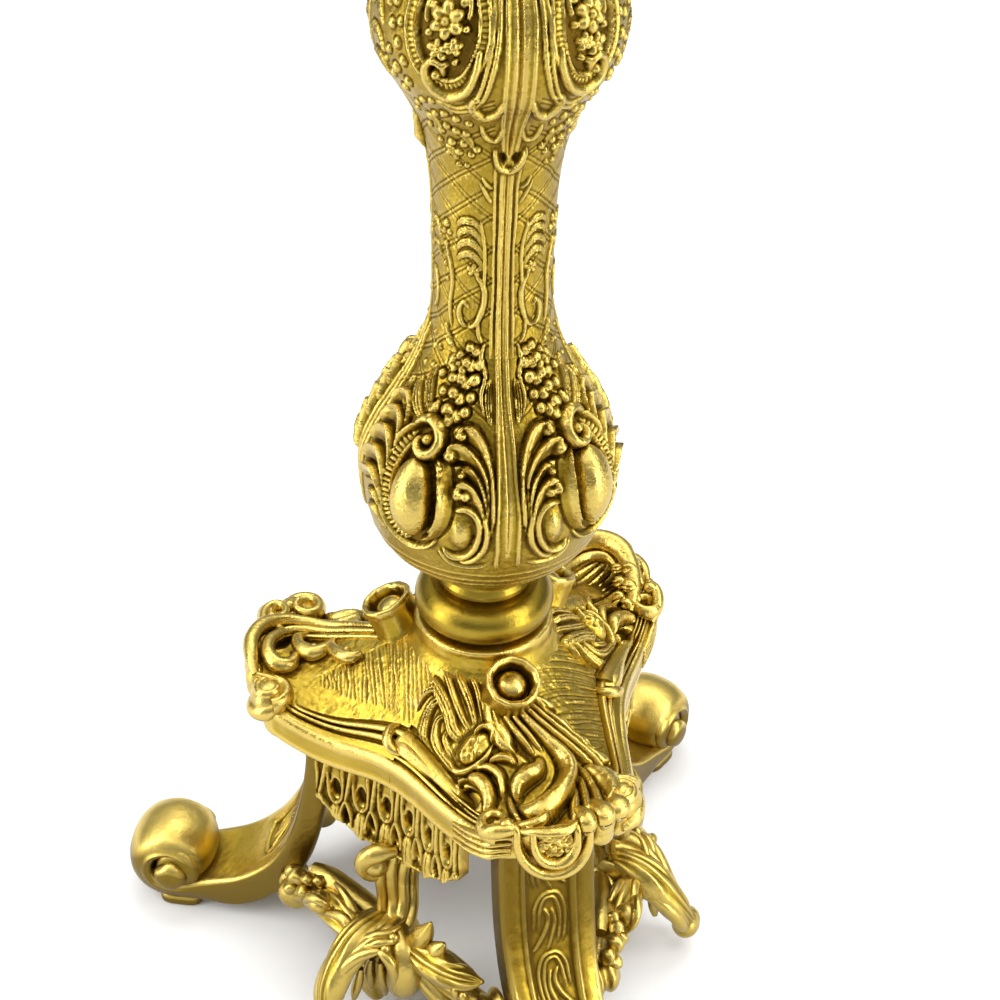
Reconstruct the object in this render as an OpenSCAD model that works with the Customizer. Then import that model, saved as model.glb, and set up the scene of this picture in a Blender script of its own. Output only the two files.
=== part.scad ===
// Torchere candle stand: a cast and gilded floor stand for one candle.
// Millimetres. The floor is z = 0 and the stem's axis is x = y = 0. The front leg points along -Y.
// Azimuths are measured about the stem from -Y towards +X.

/* [Base] */
// Height of the collar ring's middle above the floor
ring_z = 208; // [200:1:216]
// Distance of each foot scroll's centre from the stem's axis
foot_r = 150; // [140:1:160]
// Radius of the foot scrolls
scroll_r = 24; // [20:1:26]
// Width of a leg where it leaves the canopy
leg_w = 46; // [40:1:50]
// Width of a leg at its foot
foot_w = 38; // [32:1:42]

/* [Canopy] */
// Distance of a canopy corner from the stem's axis
corner_r = 109; // [104:1:114]
// Distance of the middle of a canopy side from the stem's axis
side_r = 66; // [64:1:70]
// Depth of the moulded rail around the canopy
rail_h = 16; // [14:1:18]
// Thickness of the canopy's skin
skin_t = 5; // [4:0.5:6]
// Distance of the bolt cups from the stem's axis
cup_orbit = 39; // [39:0.5:42]
// Turn of each bolt cup from its corner's middle line
cup_turn = -6; // [-8:0.5:0]

/* [Apron] */
// Height of the pierced apron's lower edge above the floor
apron_z = 100; // [92:1:110]
// Slots in the upper row of one apron
apron_slots = 6; // [4:1:7]

/* [Stem] */
// Largest radius of the lower bulb
bulb_r = 53; // [48:0.5:56]
// Radius of the long neck above the lower bulb
neck_r = 23.7; // [22:0.1:26]
// Largest radius of the upper bulb
upper_bulb_r = 46.5; // [42:0.5:50]
// Turn of the cast stem's seam from the front leg
stem_turn = -13.5; // [-45:0.5:45]
// Wall thickness of the hollow stem castings
wall = 4; // [3:0.5:5]
// Length of the upper shaft
shaft_h = 372; // [300:2:420]

/* [Top] */
// Radius of the drip pan
pan_r = 76; // [66:1:86]
// Radius of the candle's bore in the nozzle
candle_bore_r = 11.2; // [10.5:0.1:12]
// Depth of the candle's bore in the nozzle
candle_bore_l = 26; // [22:1:30]

/* [Hidden] */

gold = [0.80, 0.62, 0.20];
gold_dark = [0.70, 0.51, 0.15];
gold_pale = [0.86, 0.70, 0.30];
steel = [0.50, 0.50, 0.50];

// heights that follow from the collar ring
drum_top = ring_z - 9.5;
skin_z = ring_z - 22.5;      // skin at the drum's foot
drum_r = 32.5;
slope = 0.5;                 // fall of the canopy along a corner
slope_side = 0.6;            // extra fall towards the middle of a side
tilt = atan(slope);
flange_drop = 10;            // the legs' flanges lie this far under the skin
rod_r = 5;
rod_hole = 5.3;

stem_z = ring_z + 22;        // foot of the lower stem castings
stem_top = stem_z + 300;     // their upper end
knop_top = stem_top + 36;
shaft_top = knop_top + shaft_h;
capital_top = shaft_top + 54;
cup_z = capital_top + 6;
cup_h = 50;
nozzle_z = cup_z + cup_h;

// Catmull-Rom curve through points of any dimension
function cr(a, b, c, d, u) = 0.5 * (2 * b + (c - a) * u + (2 * a - 5 * b + 4 * c - d) * u * u + (3 * b - a - 3 * c + d) * u * u * u);
function smooth(p, n) = let (m = len(p)) [for (i = [0 : m - 2]) for (k = [0 : n - 1])
    cr(p[max(i - 1, 0)], p[i], p[i + 1], p[min(i + 2, m - 1)], k / n), p[m - 1]];
function reversed(p) = [for (i = [len(p) - 1 : -1 : 0]) p[i]];
function unit(v) = v / norm(v);

// ---- canopy outline: three corners and three hollow sides ----
// angle from the nearest corner, 0 to 60
function from_corner(a) = let (m = ((a % 120) + 120) % 120) min(m, 120 - m);
function rho(a) = let (f = from_corner(a), chord = 75.4 / cos(60 - f), sag = (75.4 - side_r) * (1 - pow((60 - f) / 39.7, 2)))
    f <= 20.3 ? corner_r - 11 * pow(f / 20.3, 2) : (corner_r - 109) * (60 - f) / 39.7 + chord - sag;
function fall(a) = slope + slope_side * pow(sin(1.5 * from_corner(a)), 2);
// the slope eases off beyond r 66, so the three corners flatten and turn up a little at their tips
function reach(r) = r < 66 ? r - 33 : r - 33 - pow(r - 66, 2) / 48;
function skin(r, a) = skin_z - fall(a) * reach(r);

// ---- legs ----
leg_outer = concat([[26.5, skin_z - slope * (26.5 - 33) - flange_drop], [71, skin_z - slope * (71 - 33) - flange_drop]],
    smooth([[77, 150], [78, 134], [78.5, 114], [81, 93], [85.5, 72], [93, 52], [104, 36], [118, 25.5], [132, 21.5], [foot_r - 6, 21]], 4));
leg_inner = concat([[26.5, skin_z - slope * (26.5 - 33) - flange_drop - 7], [58, skin_z - slope * (58 - 33) - flange_drop - 7]],
    smooth([[64.5, 148], [66, 134], [66.5, 114], [68.5, 92], [72.5, 69], [79, 47], [88.5, 28], [102, 13], [118, 5.5], [foot_r - 14, 3.5]], 4),
    [[foot_r - 13, 0], [foot_r + 7, 0], [foot_r + 7, 21]]);

module leg() {
    difference() {
        union() {
            intersection() {
                rotate([90, 0, -90]) translate([0, 0, -leg_w]) linear_extrude(2 * leg_w) polygon(concat(leg_outer, reversed(leg_inner)));
                // plan of the leg: a narrow flange, then a strap that narrows to the foot
                translate([0, 0, -1]) linear_extrude(ring_z) polygon([[-14, -20], [-14, -72], [-leg_w / 2, -77], [-leg_w / 2, -95], [-foot_w / 2, -foot_r + 12], [-foot_w / 2, -foot_r - 20],
                    [foot_w / 2, -foot_r - 20], [foot_w / 2, -foot_r + 12], [leg_w / 2, -95], [leg_w / 2, -77], [14, -72], [14, -20]]);
            }
            // rolled scroll with an eye on each side
            translate([-foot_w / 2, -foot_r, scroll_r + 0.6]) rotate([0, 90, 0]) cylinder(r = scroll_r, h = foot_w, $fn = 96);
            translate([-foot_w / 2 - 2.5, -foot_r, scroll_r + 0.6]) rotate([0, 90, 0]) cylinder(r = 8, h = foot_w + 5, $fn = 48);
        }
        // sunk panel between the raised borders
        rotate([90, 0, -90]) translate([0, 0, -11]) linear_extrude(22)
            polygon(concat([for (i = [4 : len(leg_outer) - 10]) leg_outer[i] + [12, 6]], reversed([for (i = [4 : len(leg_outer) - 10]) leg_outer[i] - [2.4, 1.2]])));
        leg_bolt_axis() translate([0, 0, -40]) cylinder(r = 4.2, h = 60, $fn = 48);
        for (s = [-1, 1]) translate([s * leg_w / 2, -84, 34]) rotate([0, -90 * s, 0]) translate([0, 0, -1]) cylinder(r = 2.6, h = 12, $fn = 32);
    }
}
// the bolt's axis, square to the canopy's corner slope, with z = 0 on the skin
module leg_bolt_axis() rotate([0, 0, cup_turn]) translate([0, -cup_orbit, skin(cup_orbit, 0)]) rotate([tilt, 0, 0]) children();

// ---- canopy ----
// section of the canopy at azimuth a, as a closed loop of [radius, height]
function section(a) = let (e = rho(a), ri = e - 6, ze = skin(ri, a)) concat(
    [[20, skin_z + 5]], [for (k = [0 : 8]) let (r = 33 + (ri - 33) * k / 8) [r, skin(r, a)]],
    [[e - 3.5, ze + 1.5], [e - 0.5, ze - 0.5], [e, ze - 4], [e, ze - rail_h], [e - 4.5, ze - rail_h], [e - 4.9, ze - skin_t - 2]],
    [for (k = [8 : -1 : 0]) let (r = 33 + (ri - 33) * k / 8) [r, skin(r, a) - skin_t]], [[20, skin_z + 5 - skin_t]]);
module canopy_skin(step = 5) {
    n = 360 / step;
    s = [for (i = [0 : n - 1]) section(i * step)];
    m = len(s[0]);
    pts = [for (i = [0 : n - 1]) for (p = s[i]) [p[0] * sin(i * step), -p[0] * cos(i * step), p[1]]];
    tri = [for (i = [0 : n - 1]) for (j = [0 : m - 1]) let (i2 = (i + 1) % n, j2 = (j + 1) % m, a = i * m + j, b = i * m + j2, c = i2 * m + j2, d = i2 * m + j) each [[a, c, b], [a, d, c]]];
    polyhedron(points = pts, faces = tri, convexity = 6);
}
module canopy() color(gold) difference() {
    union() {
        canopy_skin();
        // drum under the collar ring, and the hub around the tie rod
        translate([0, 0, skin_z - 2]) cylinder(r = drum_r, h = drum_top - skin_z + 2, $fn = 96);
        translate([0, 0, skin_z - 4]) cylinder(r = drum_r + 2, h = 7, $fn = 96);
        translate([0, 0, skin_z - 11.5]) cylinder(r = 24, h = 16, $fn = 96);
        for (a = [0, 120, 240]) rotate([0, 0, a]) {
            leg_bolt_axis() translate([0, 0, -flange_drop * cos(tilt) + 0.75]) cylinder(r = 12.5, h = flange_drop * cos(tilt) + 11.25, $fn = 64);
            // scrolls at the two ends of a corner's rim
            for (s = [-1, 1]) translate([s * 30, -corner_r + 22, skin(corner_r - 17, 19) + 4]) {
                rotate([90, 0, -s * 20]) cylinder(r = 10, h = 12, $fn = 64);
                rotate([90, 0, -s * 20]) translate([0, 0, -1]) cylinder(r = 4, h = 15, $fn = 48);
            }
        }
        for (a = [60, 180, 300]) for (s = [-12, 12]) rotate([0, 0, a + s]) translate([0, -52, 141.5]) cylinder(r = 5, h = 21, $fn = 48);
    }
    for (a = [0, 120, 240]) rotate([0, 0, a]) leg_bolt_axis() {
        translate([0, 0, 3]) cylinder(r = 8.4, h = 11, $fn = 64);
        translate([0, 0, -30]) cylinder(r = 4.2, h = 40, $fn = 48);
    }
    for (a = [60, 180, 300]) for (s = [-12, 12]) rotate([0, 0, a + s]) translate([0, -52, 140]) cylinder(r = 2.1, h = 16, $fn = 32);
    translate([0, 0, skin_z - 20]) cylinder(r = rod_hole, h = 60, $fn = 48);
}

// ---- aprons: pierced and fluted plates under the canopy's sides ----
apron_top = 141.5;
function apron_curve(off) = [for (a = [27 : 3 : 93]) (rho(a) - off) * [sin(a), -cos(a)]];
module apron() color(gold_dark) difference() {
    union() {
        intersection() {
            translate([0, 0, apron_z]) linear_extrude(apron_top - apron_z) polygon(concat(apron_curve(5.5), reversed(apron_curve(10))));
            // lower edge: deeper in the middle of the side
            rotate([0, 0, 60]) translate([0, 0, apron_top]) rotate([90, 0, 0]) linear_extrude(120)
                polygon([[-50, 1], [-50, -19], [-42, -30], [-28, -37], [-12, -41.5], [12, -41.5], [28, -37], [42, -30], [50, -19], [50, 1]]);
        }
        for (s = [-12, 12]) rotate([0, 0, 60 + s]) translate([-5, -59, apron_top - 4]) cube([10, 12, 4]);
    }
    // two rows of slots, with the lower row between the upper ones
    for (i = [0 : apron_slots - 1]) rotate([0, 0, 60]) slot((i - (apron_slots - 1) / 2) * 13, apron_top - 19, 2.3, 8);
    for (i = [0 : apron_slots - 2]) rotate([0, 0, 60]) slot((i - (apron_slots - 2) / 2) * 13, apron_top - 30, 2, 7);
    for (s = [-12, 12]) rotate([0, 0, 60 + s]) translate([0, -52, apron_top - 6]) cylinder(r = 2.1, h = 8, $fn = 32);
    rotate([0, 0, 60]) translate([0, -50, 124.5]) rotate([90, 0, 0]) cylinder(r = 2.1, h = 9, $fn = 32);
}
module slot(x, z, r, l) translate([x, -40, z]) rotate([90, 0, 0]) linear_extrude(60) {
    circle(r = r, $fn = 32);
    translate([0, -l]) circle(r = r, $fn = 32);
    translate([-r, -l]) square([2 * r, l]);
}

// ---- brackets: leafy scrolls between the legs ----
// tapered limb along points [x, y, z, half width, half thickness]
module limb(path, n = 12, sub = 4) {
    p = smooth(path, sub);
    m = len(p);
    function at(i) = [p[i][0], p[i][1], p[i][2]];
    pts = [for (i = [0 : m - 1])
        let (t = unit(at(min(i + 1, m - 1)) - at(max(i - 1, 0))), s = unit(abs(t[0]) > 0.8 ? cross(t, [0, 0, 1]) : cross(cross(t, [1, 0, 0]), t)), u = cross(s, t))
        for (k = [0 : n - 1]) at(i) + p[i][3] * cos(k * 360 / n) * s + p[i][4] * sin(k * 360 / n) * u];
    sides = [for (i = [0 : m - 2]) for (k = [0 : n - 1]) let (k2 = (k + 1) % n, a = i * n + k, b = i * n + k2, c = b + n, d = a + n) each [[a, b, c], [a, c, d]]];
    polyhedron(points = pts, faces = concat([[for (k = [n - 1 : -1 : 0]) k]], [[for (k = [0 : n - 1]) (m - 1) * n + k]], sides), convexity = 4);
}
module bracket() color(gold) difference() {
    union() {
        // stem from the apron down to the hub
        limb([[0, -49.8, 122, 6, 4], [0, -51, 100, 6, 4.5], [0, -57, 84, 7, 5.5], [0, -55, 66, 8, 6], [0, -58, 50, 10, 7], [0, -66, 41, 11, 8]]);
        // main leaf, out and down to its ball tip
        limb([[0, -56, 45, 9, 7], [0, -70, 54, 14, 7], [0, -84, 57, 17, 6], [0, -95, 48, 16, 6], [0, -101, 34, 11, 6], [0, -104, 20, 7, 6]]);
        translate([0, -104.5, 16]) sphere(r = 8.5, $fn = 48);
        for (s = [-1, 1]) {
            limb([[s * 2, -62, 42, 9, 8], [s * 20, -64, 43, 6.5, 7], [s * 38, -66, 39, 5.5, 6], [s * 56, -67.2, 34.6, 6, 6]]);
            rotate([0, 0, s * 60]) translate([-s * leg_w / 2, -84, 34]) rotate([0, -90 * s, 0]) cylinder(r = 8, h = 10, $fn = 48);
        }
        translate([0, -45.3, 124.5]) rotate([90, 0, 0]) cylinder(r = 7, h = side_r - 10 - 45.3, $fn = 48);
    }
    for (s = [-1, 1]) rotate([0, 0, s * 60]) translate([-s * leg_w / 2, -84, 34]) rotate([0, -90 * s, 0]) translate([0, 0, -1]) cylinder(r = 2.6, h = 8, $fn = 32);
    translate([0, -44, 124.5]) rotate([90, 0, 0]) cylinder(r = 2.1, h = 20, $fn = 32);
}

// ---- fasteners of the base ----
module canopy_bolts() color(gold_pale) for (a = [0, 120, 240]) rotate([0, 0, a]) leg_bolt_axis() {
    translate([0, 0, 3]) intersection() {
        translate([0, 0, 2]) sphere(r = 6.8, $fn = 64);
        cylinder(r = 8, h = 10, $fn = 48);
    }
    translate([0, 0, -24]) cylinder(r = 4, h = 28, $fn = 48);
}
module canopy_bolt_nuts() color(steel) for (a = [0, 120, 240]) rotate([0, 0, a]) leg_bolt_axis()
    translate([0, 0, -(flange_drop + 7) * cos(tilt) - 7]) difference() {
        cylinder(r = 7.5, h = 6.5, $fn = 6);
        translate([0, 0, -1]) cylinder(r = 4.05, h = 9, $fn = 48);
    }
module apron_screws() color(steel) for (a = [60, 180, 300]) for (s = [-12, 12]) rotate([0, 0, a + s]) translate([0, -52, apron_top - 7]) {
    cylinder(r = 3.7, h = 3, $fn = 48);
    cylinder(r = 2, h = 17, $fn = 32);
}
module bracket_screws() color(steel) for (a = [60, 180, 300]) rotate([0, 0, a]) translate([0, -42.3, 124.5]) rotate([90, 0, 0]) {
    cylinder(r = 3.7, h = 3, $fn = 48);
    cylinder(r = 2, h = 16, $fn = 32);
}
module bracket_dowels() color(steel) for (a = [0, 120, 240]) rotate([0, 0, a]) for (s = [-1, 1])
    translate([s * (leg_w / 2 - 10), -84, 34]) rotate([0, 90 * s, 0]) cylinder(r = 2.5, h = 16, $fn = 32);

// ---- turned rings ----
module collar_ring() color(gold_dark) translate([0, 0, ring_z]) rotate_extrude($fn = 128) difference() {
    union() {
        translate([20.5, 0]) circle(r = 10, $fn = 64);
        translate([14, -9.5]) square([7, 19]);
    }
    translate([-5, -15]) square([19, 30]);
    translate([0, 9.5]) square([40, 5]);
    translate([0, -14.5]) square([40, 5]);
}
module neck_spool() color(gold_dark) rotate_extrude($fn = 128)
    polygon([[rod_hole, drum_top], [13.9, drum_top], [13.9, ring_z + 9.5], [19, ring_z + 9.5], [20.5, ring_z + 11], [20.5, ring_z + 13], [19, ring_z + 15], [19, ring_z + 18],
        [21.5, ring_z + 20.5], [21.5, stem_z], [17, stem_z], [17, stem_z + 8], [rod_hole, stem_z + 8]]);
module middle_knop() color(gold_dark) rotate_extrude($fn = 128)
    polygon(concat([[rod_hole, stem_top - 8], [17, stem_top - 8], [17, stem_top], [24, stem_top], [25, stem_top + 2], [21, stem_top + 5], [20, stem_top + 8]],
        [for (a = [-75 : 15 : 75]) [22 + 9.5 * cos(a), stem_top + 18 + 9 * sin(a)]],
        [[20, knop_top - 8], [21, knop_top - 5], [24, knop_top - 2], [23, knop_top], [14, knop_top], [14, knop_top + 8], [rod_hole, knop_top + 8]]));

// ---- stem castings: two halves joined on a seam ----
lower_profile = smooth([[26, stem_z], [27, stem_z + 3], [29.5, stem_z + 7], [39, stem_z + 11.5], [bulb_r - 5.5, stem_z + 23], [bulb_r - 1.5, stem_z + 36], [bulb_r, stem_z + 51], [bulb_r - 1.5, stem_z + 63],
    [bulb_r - 7, stem_z + 76], [39, stem_z + 88], [31.5, stem_z + 101], [26.5, stem_z + 114], [neck_r, stem_z + 130], [neck_r, stem_z + 155], [neck_r + 0.4, stem_z + 177],
    [25.5, stem_z + 189], [27.5, stem_z + 200], [30, stem_z + 210], [36, stem_z + 221], [upper_bulb_r - 3, stem_z + 233], [upper_bulb_r, stem_z + 247], [upper_bulb_r - 2.5, stem_z + 262],
    [36.5, stem_z + 276], [28.5, stem_z + 287], [24.5, stem_top]], 2);
upper_profile = smooth([[21, knop_top], [23, knop_top + 5], [33, knop_top + 18], [37, knop_top + 34], [33, knop_top + 54], [24, knop_top + 74], [19.5, knop_top + 100], [18, knop_top + 150],
    [17.5, knop_top + 0.6 * shaft_h], [18.5, knop_top + 0.76 * shaft_h], [22, shaft_top - 50], [29, shaft_top - 32], [30.5, shaft_top - 20], [26, shaft_top - 8], [21.5, shaft_top]], 2);

module casting_half(profile, z0, z1, spigot) rotate([0, 0, stem_turn - 90]) {
    inner = [for (p = profile) [max(p[0] - wall, spigot), p[1]]];
    rotate_extrude(angle = 180, $fn = 96) polygon(concat(profile, reversed(inner)));
    // the raised arrises, with half of the seam's rib on each edge
    for (a = [0, 90, 180]) rotate([90, 0, a]) translate([0, 0, a == 0 ? -1.5 : a == 180 ? 0 : -1.5]) linear_extrude(a == 90 ? 3 : 1.5)
        polygon(concat([for (p = profile) p + [p[1] > z0 + 6 && p[1] < z1 - 6 ? 1.2 : 0, 0]], reversed([for (p = inner) p + [1, 0]])));
}
module lower_stem_half() casting_half(lower_profile, stem_z, stem_top, 17.1);
module upper_stem_half() casting_half(upper_profile, knop_top, shaft_top, 14.1);

// ---- top ----
module capital() color(gold_dark) rotate_extrude($fn = 128)
    polygon(concat([[rod_hole, shaft_top - 8], [14, shaft_top - 8], [14, shaft_top]],
        smooth([[21, shaft_top], [24, shaft_top + 3], [20, shaft_top + 8], [17, shaft_top + 14], [22, shaft_top + 22], [30, shaft_top + 30], [32.5, shaft_top + 38], [28, shaft_top + 46], [21, shaft_top + 50], [22, capital_top]], 3),
        [[rod_hole, capital_top]]));
module drip_pan() color(gold) rotate_extrude($fn = 160)
    polygon(concat([[rod_hole, capital_top], [22, capital_top]],
        smooth([[34, capital_top + 0.5], [54, capital_top + 3], [pan_r - 8, capital_top + 8], [pan_r - 2, capital_top + 14], [pan_r, capital_top + 16]], 3),
        smooth([[pan_r - 0.5, capital_top + 18.5], [pan_r - 3, capital_top + 18.5], [pan_r - 6, capital_top + 15], [pan_r - 11, capital_top + 11], [53, capital_top + 7], [34, capital_top + 6]], 3),
        [[rod_hole, capital_top + 6]]));
cup_bore = 17;
module candle_cup() color(gold) rotate_extrude($fn = 128)
    polygon(concat(smooth([[22, cup_z], [23, cup_z + 3], [15, cup_z + 9], [14, cup_z + 14], [21, cup_z + 21], [25.5, cup_z + 31], [24, cup_z + 40], [23.5, cup_z + 46], [25, cup_z + cup_h]], 3),
        [[cup_bore, nozzle_z], [cup_bore, cup_z + 20], [9.8, cup_z + 20], [9.8, cup_z + 9], [rod_hole, cup_z + 9], [rod_hole, cup_z]]));
module candle_nozzle() color(gold_pale) rotate_extrude($fn = 128)
    polygon(concat([[0, nozzle_z - 27], [13.5, nozzle_z - 27], [cup_bore - 0.3, nozzle_z - 22], [cup_bore - 0.3, nozzle_z]],
        smooth([[26, nozzle_z], [35, nozzle_z + 2], [40, nozzle_z + 5], [41, nozzle_z + 7]], 3),
        smooth([[40, nozzle_z + 8], [34, nozzle_z + 6], [24, nozzle_z + 4.5], [17, nozzle_z + 4.5]], 3),
        [[14.6, nozzle_z + 6], [14.6, nozzle_z + 10], [candle_bore_r, nozzle_z + 10], [candle_bore_r, nozzle_z + 10 - candle_bore_l], [0, nozzle_z + 10 - candle_bore_l]]));

// ---- inner fastening ----
module tie_rod() color(steel) translate([0, 0, skin_z - 28]) cylinder(r = rod_r, h = cup_z + 19 - skin_z + 28, $fn = 64);
module clamp_washer() color(steel) translate([0, 0, skin_z - 15.5]) difference() {
    cylinder(r = 20, h = 4, $fn = 96);
    translate([0, 0, -1]) cylinder(r = rod_hole, h = 6, $fn = 48);
}
module hex_nut(z, h) translate([0, 0, z]) difference() {
    cylinder(r = 9.6, h = h, $fn = 6);
    translate([0, 0, -1]) cylinder(r = rod_r + 0.05, h = h + 2, $fn = 64);
}
module bottom_nut() color(steel) hex_nut(skin_z - 23.5, 8);
module top_nut() color(steel) hex_nut(cup_z + 9, 7);

color(gold) leg();  // leg_front
color(gold) rotate([0, 0, 120]) leg();  // leg_right
color(gold) rotate([0, 0, 240]) leg();  // leg_left
canopy();
apron();  // apron_right
rotate([0, 0, 120]) apron();  // apron_rear
rotate([0, 0, 240]) apron();  // apron_left
rotate([0, 0, 60]) bracket();  // bracket_right
rotate([0, 0, 180]) bracket();  // bracket_rear
rotate([0, 0, 300]) bracket();  // bracket_left
canopy_bolts();
canopy_bolt_nuts();
apron_screws();
bracket_screws();
bracket_dowels();
collar_ring();
neck_spool();
color(gold) lower_stem_half();  // lower_stem_half_a
color(gold_dark) rotate([0, 0, 180]) lower_stem_half();  // lower_stem_half_b
middle_knop();
color(gold) upper_stem_half();  // upper_stem_half_a
color(gold_dark) rotate([0, 0, 180]) upper_stem_half();  // upper_stem_half_b
capital();
drip_pan();
candle_cup();
candle_nozzle();
tie_rod();
clamp_washer();
bottom_nut();
top_nut();
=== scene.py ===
import bpy, math
import numpy as np
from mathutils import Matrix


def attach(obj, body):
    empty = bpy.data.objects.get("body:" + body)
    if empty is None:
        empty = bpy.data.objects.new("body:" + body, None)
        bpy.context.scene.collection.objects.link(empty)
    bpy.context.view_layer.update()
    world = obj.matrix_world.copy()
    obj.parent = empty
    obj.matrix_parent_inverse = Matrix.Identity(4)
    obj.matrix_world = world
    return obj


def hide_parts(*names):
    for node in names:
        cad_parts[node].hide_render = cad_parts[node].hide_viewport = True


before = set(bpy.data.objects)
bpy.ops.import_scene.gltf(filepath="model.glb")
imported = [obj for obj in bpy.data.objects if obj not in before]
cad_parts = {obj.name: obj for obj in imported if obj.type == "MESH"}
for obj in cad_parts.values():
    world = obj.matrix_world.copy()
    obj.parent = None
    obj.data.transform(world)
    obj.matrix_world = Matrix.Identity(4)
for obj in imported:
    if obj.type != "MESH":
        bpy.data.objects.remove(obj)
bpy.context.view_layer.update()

PI = math.pi
D2R = PI / 180
rng = np.random.default_rng(11)

# All shapes below are worked out in millimetres, in the part's own frame:
# stem axis x = y = 0, floor z = 0, front leg along -Y; azimuth from -Y towards +X.


# ---------------------------------------------------------------- curves
def curve(P, n, dims=2):
    """n points evenly spaced by arc length on a smooth curve through P; further columns are carried along"""
    P = np.asarray(P, float)
    d = np.maximum(np.linalg.norm(np.diff(P[:, :dims], axis=0), axis=1), 1e-6)
    t = np.concatenate([[0], np.cumsum(np.sqrt(d))])
    if len(P) == 2:
        f = np.linspace(0, 1, n)[:, None]
        return P[0] * (1 - f) + P[1] * f
    s = np.diff(P, axis=0) / np.diff(t)[:, None]
    dt = np.diff(t)[:, None]
    m = np.zeros_like(P)
    m[1:-1] = (s[:-1] * dt[1:] + s[1:] * dt[:-1]) / (dt[1:] + dt[:-1])
    m[0] = 1.5 * s[0] - 0.5 * m[1]
    m[-1] = 1.5 * s[-1] - 0.5 * m[-2]
    k = max(6, int(4 * n / len(P)))
    tt = np.concatenate([np.linspace(t[i], t[i + 1], k, endpoint=False) for i in range(len(t) - 1)] + [[t[-1]]])
    i = np.clip(np.searchsorted(t, tt, side="right") - 1, 0, len(t) - 2)
    h = (t[i + 1] - t[i])[:, None]
    x = ((tt - t[i]) / (t[i + 1] - t[i]))[:, None]
    C = ((2 * x**3 - 3 * x**2 + 1) * P[i] + (x**3 - 2 * x**2 + x) * h * m[i]
         + (-2 * x**3 + 3 * x**2) * P[i + 1] + (x**3 - x**2) * h * m[i + 1])
    L = np.concatenate([[0], np.cumsum(np.linalg.norm(np.diff(C[:, :dims], axis=0), axis=1))])
    a = np.linspace(0, L[-1], n)
    return np.column_stack([np.interp(a, L, C[:, j]) for j in range(C.shape[1])])


def length(P, dims=2):
    P = np.asarray(P, float)
    return float(np.linalg.norm(np.diff(P[:, :dims], axis=0), axis=1).sum())


def smooth(x, a=0.0, b=1.0):
    x = np.clip((x - a) / (b - a), 0, 1)
    return x * x * (3 - 2 * x)


def spiral(cx, cy, r0, r1, a0, turns, n=None, sx=1.0):
    """points from radius r0 at angle a0 (degrees) to r1, turning `turns` times (negative is clockwise)"""
    n = n or max(5, int(abs(turns) * 14))
    f = np.linspace(0, 1, n)
    r = r0 + (r1 - r0) * f**0.85
    a = a0 * D2R + 2 * PI * turns * f
    return [(cx + sx * rr * math.cos(aa), cy + rr * math.sin(aa)) for rr, aa in zip(r, a)]


def soft_noise(shape, cell, seed, amp=1.0):
    """smooth seeded noise, about -amp to amp"""
    g = np.random.default_rng(seed)
    n0, n1 = max(2, int(shape[0] / cell) + 3), max(2, int(shape[1] / cell) + 3)
    a = g.uniform(-1, 1, (n0, n1))
    y = np.linspace(0, n0 - 2.001, shape[0]); x = np.linspace(0, n1 - 2.001, shape[1])
    yi, xi = y.astype(int), x.astype(int)
    fy, fx = y - yi, x - xi
    fy = (fy * fy * (3 - 2 * fy))[:, None]; fx = (fx * fx * (3 - 2 * fx))[None, :]
    return amp * ((a[yi][:, xi] * (1 - fx) + a[yi][:, xi + 1] * fx) * (1 - fy)
                  + (a[yi + 1][:, xi] * (1 - fx) + a[yi + 1][:, xi + 1] * fx) * fy)


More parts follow.
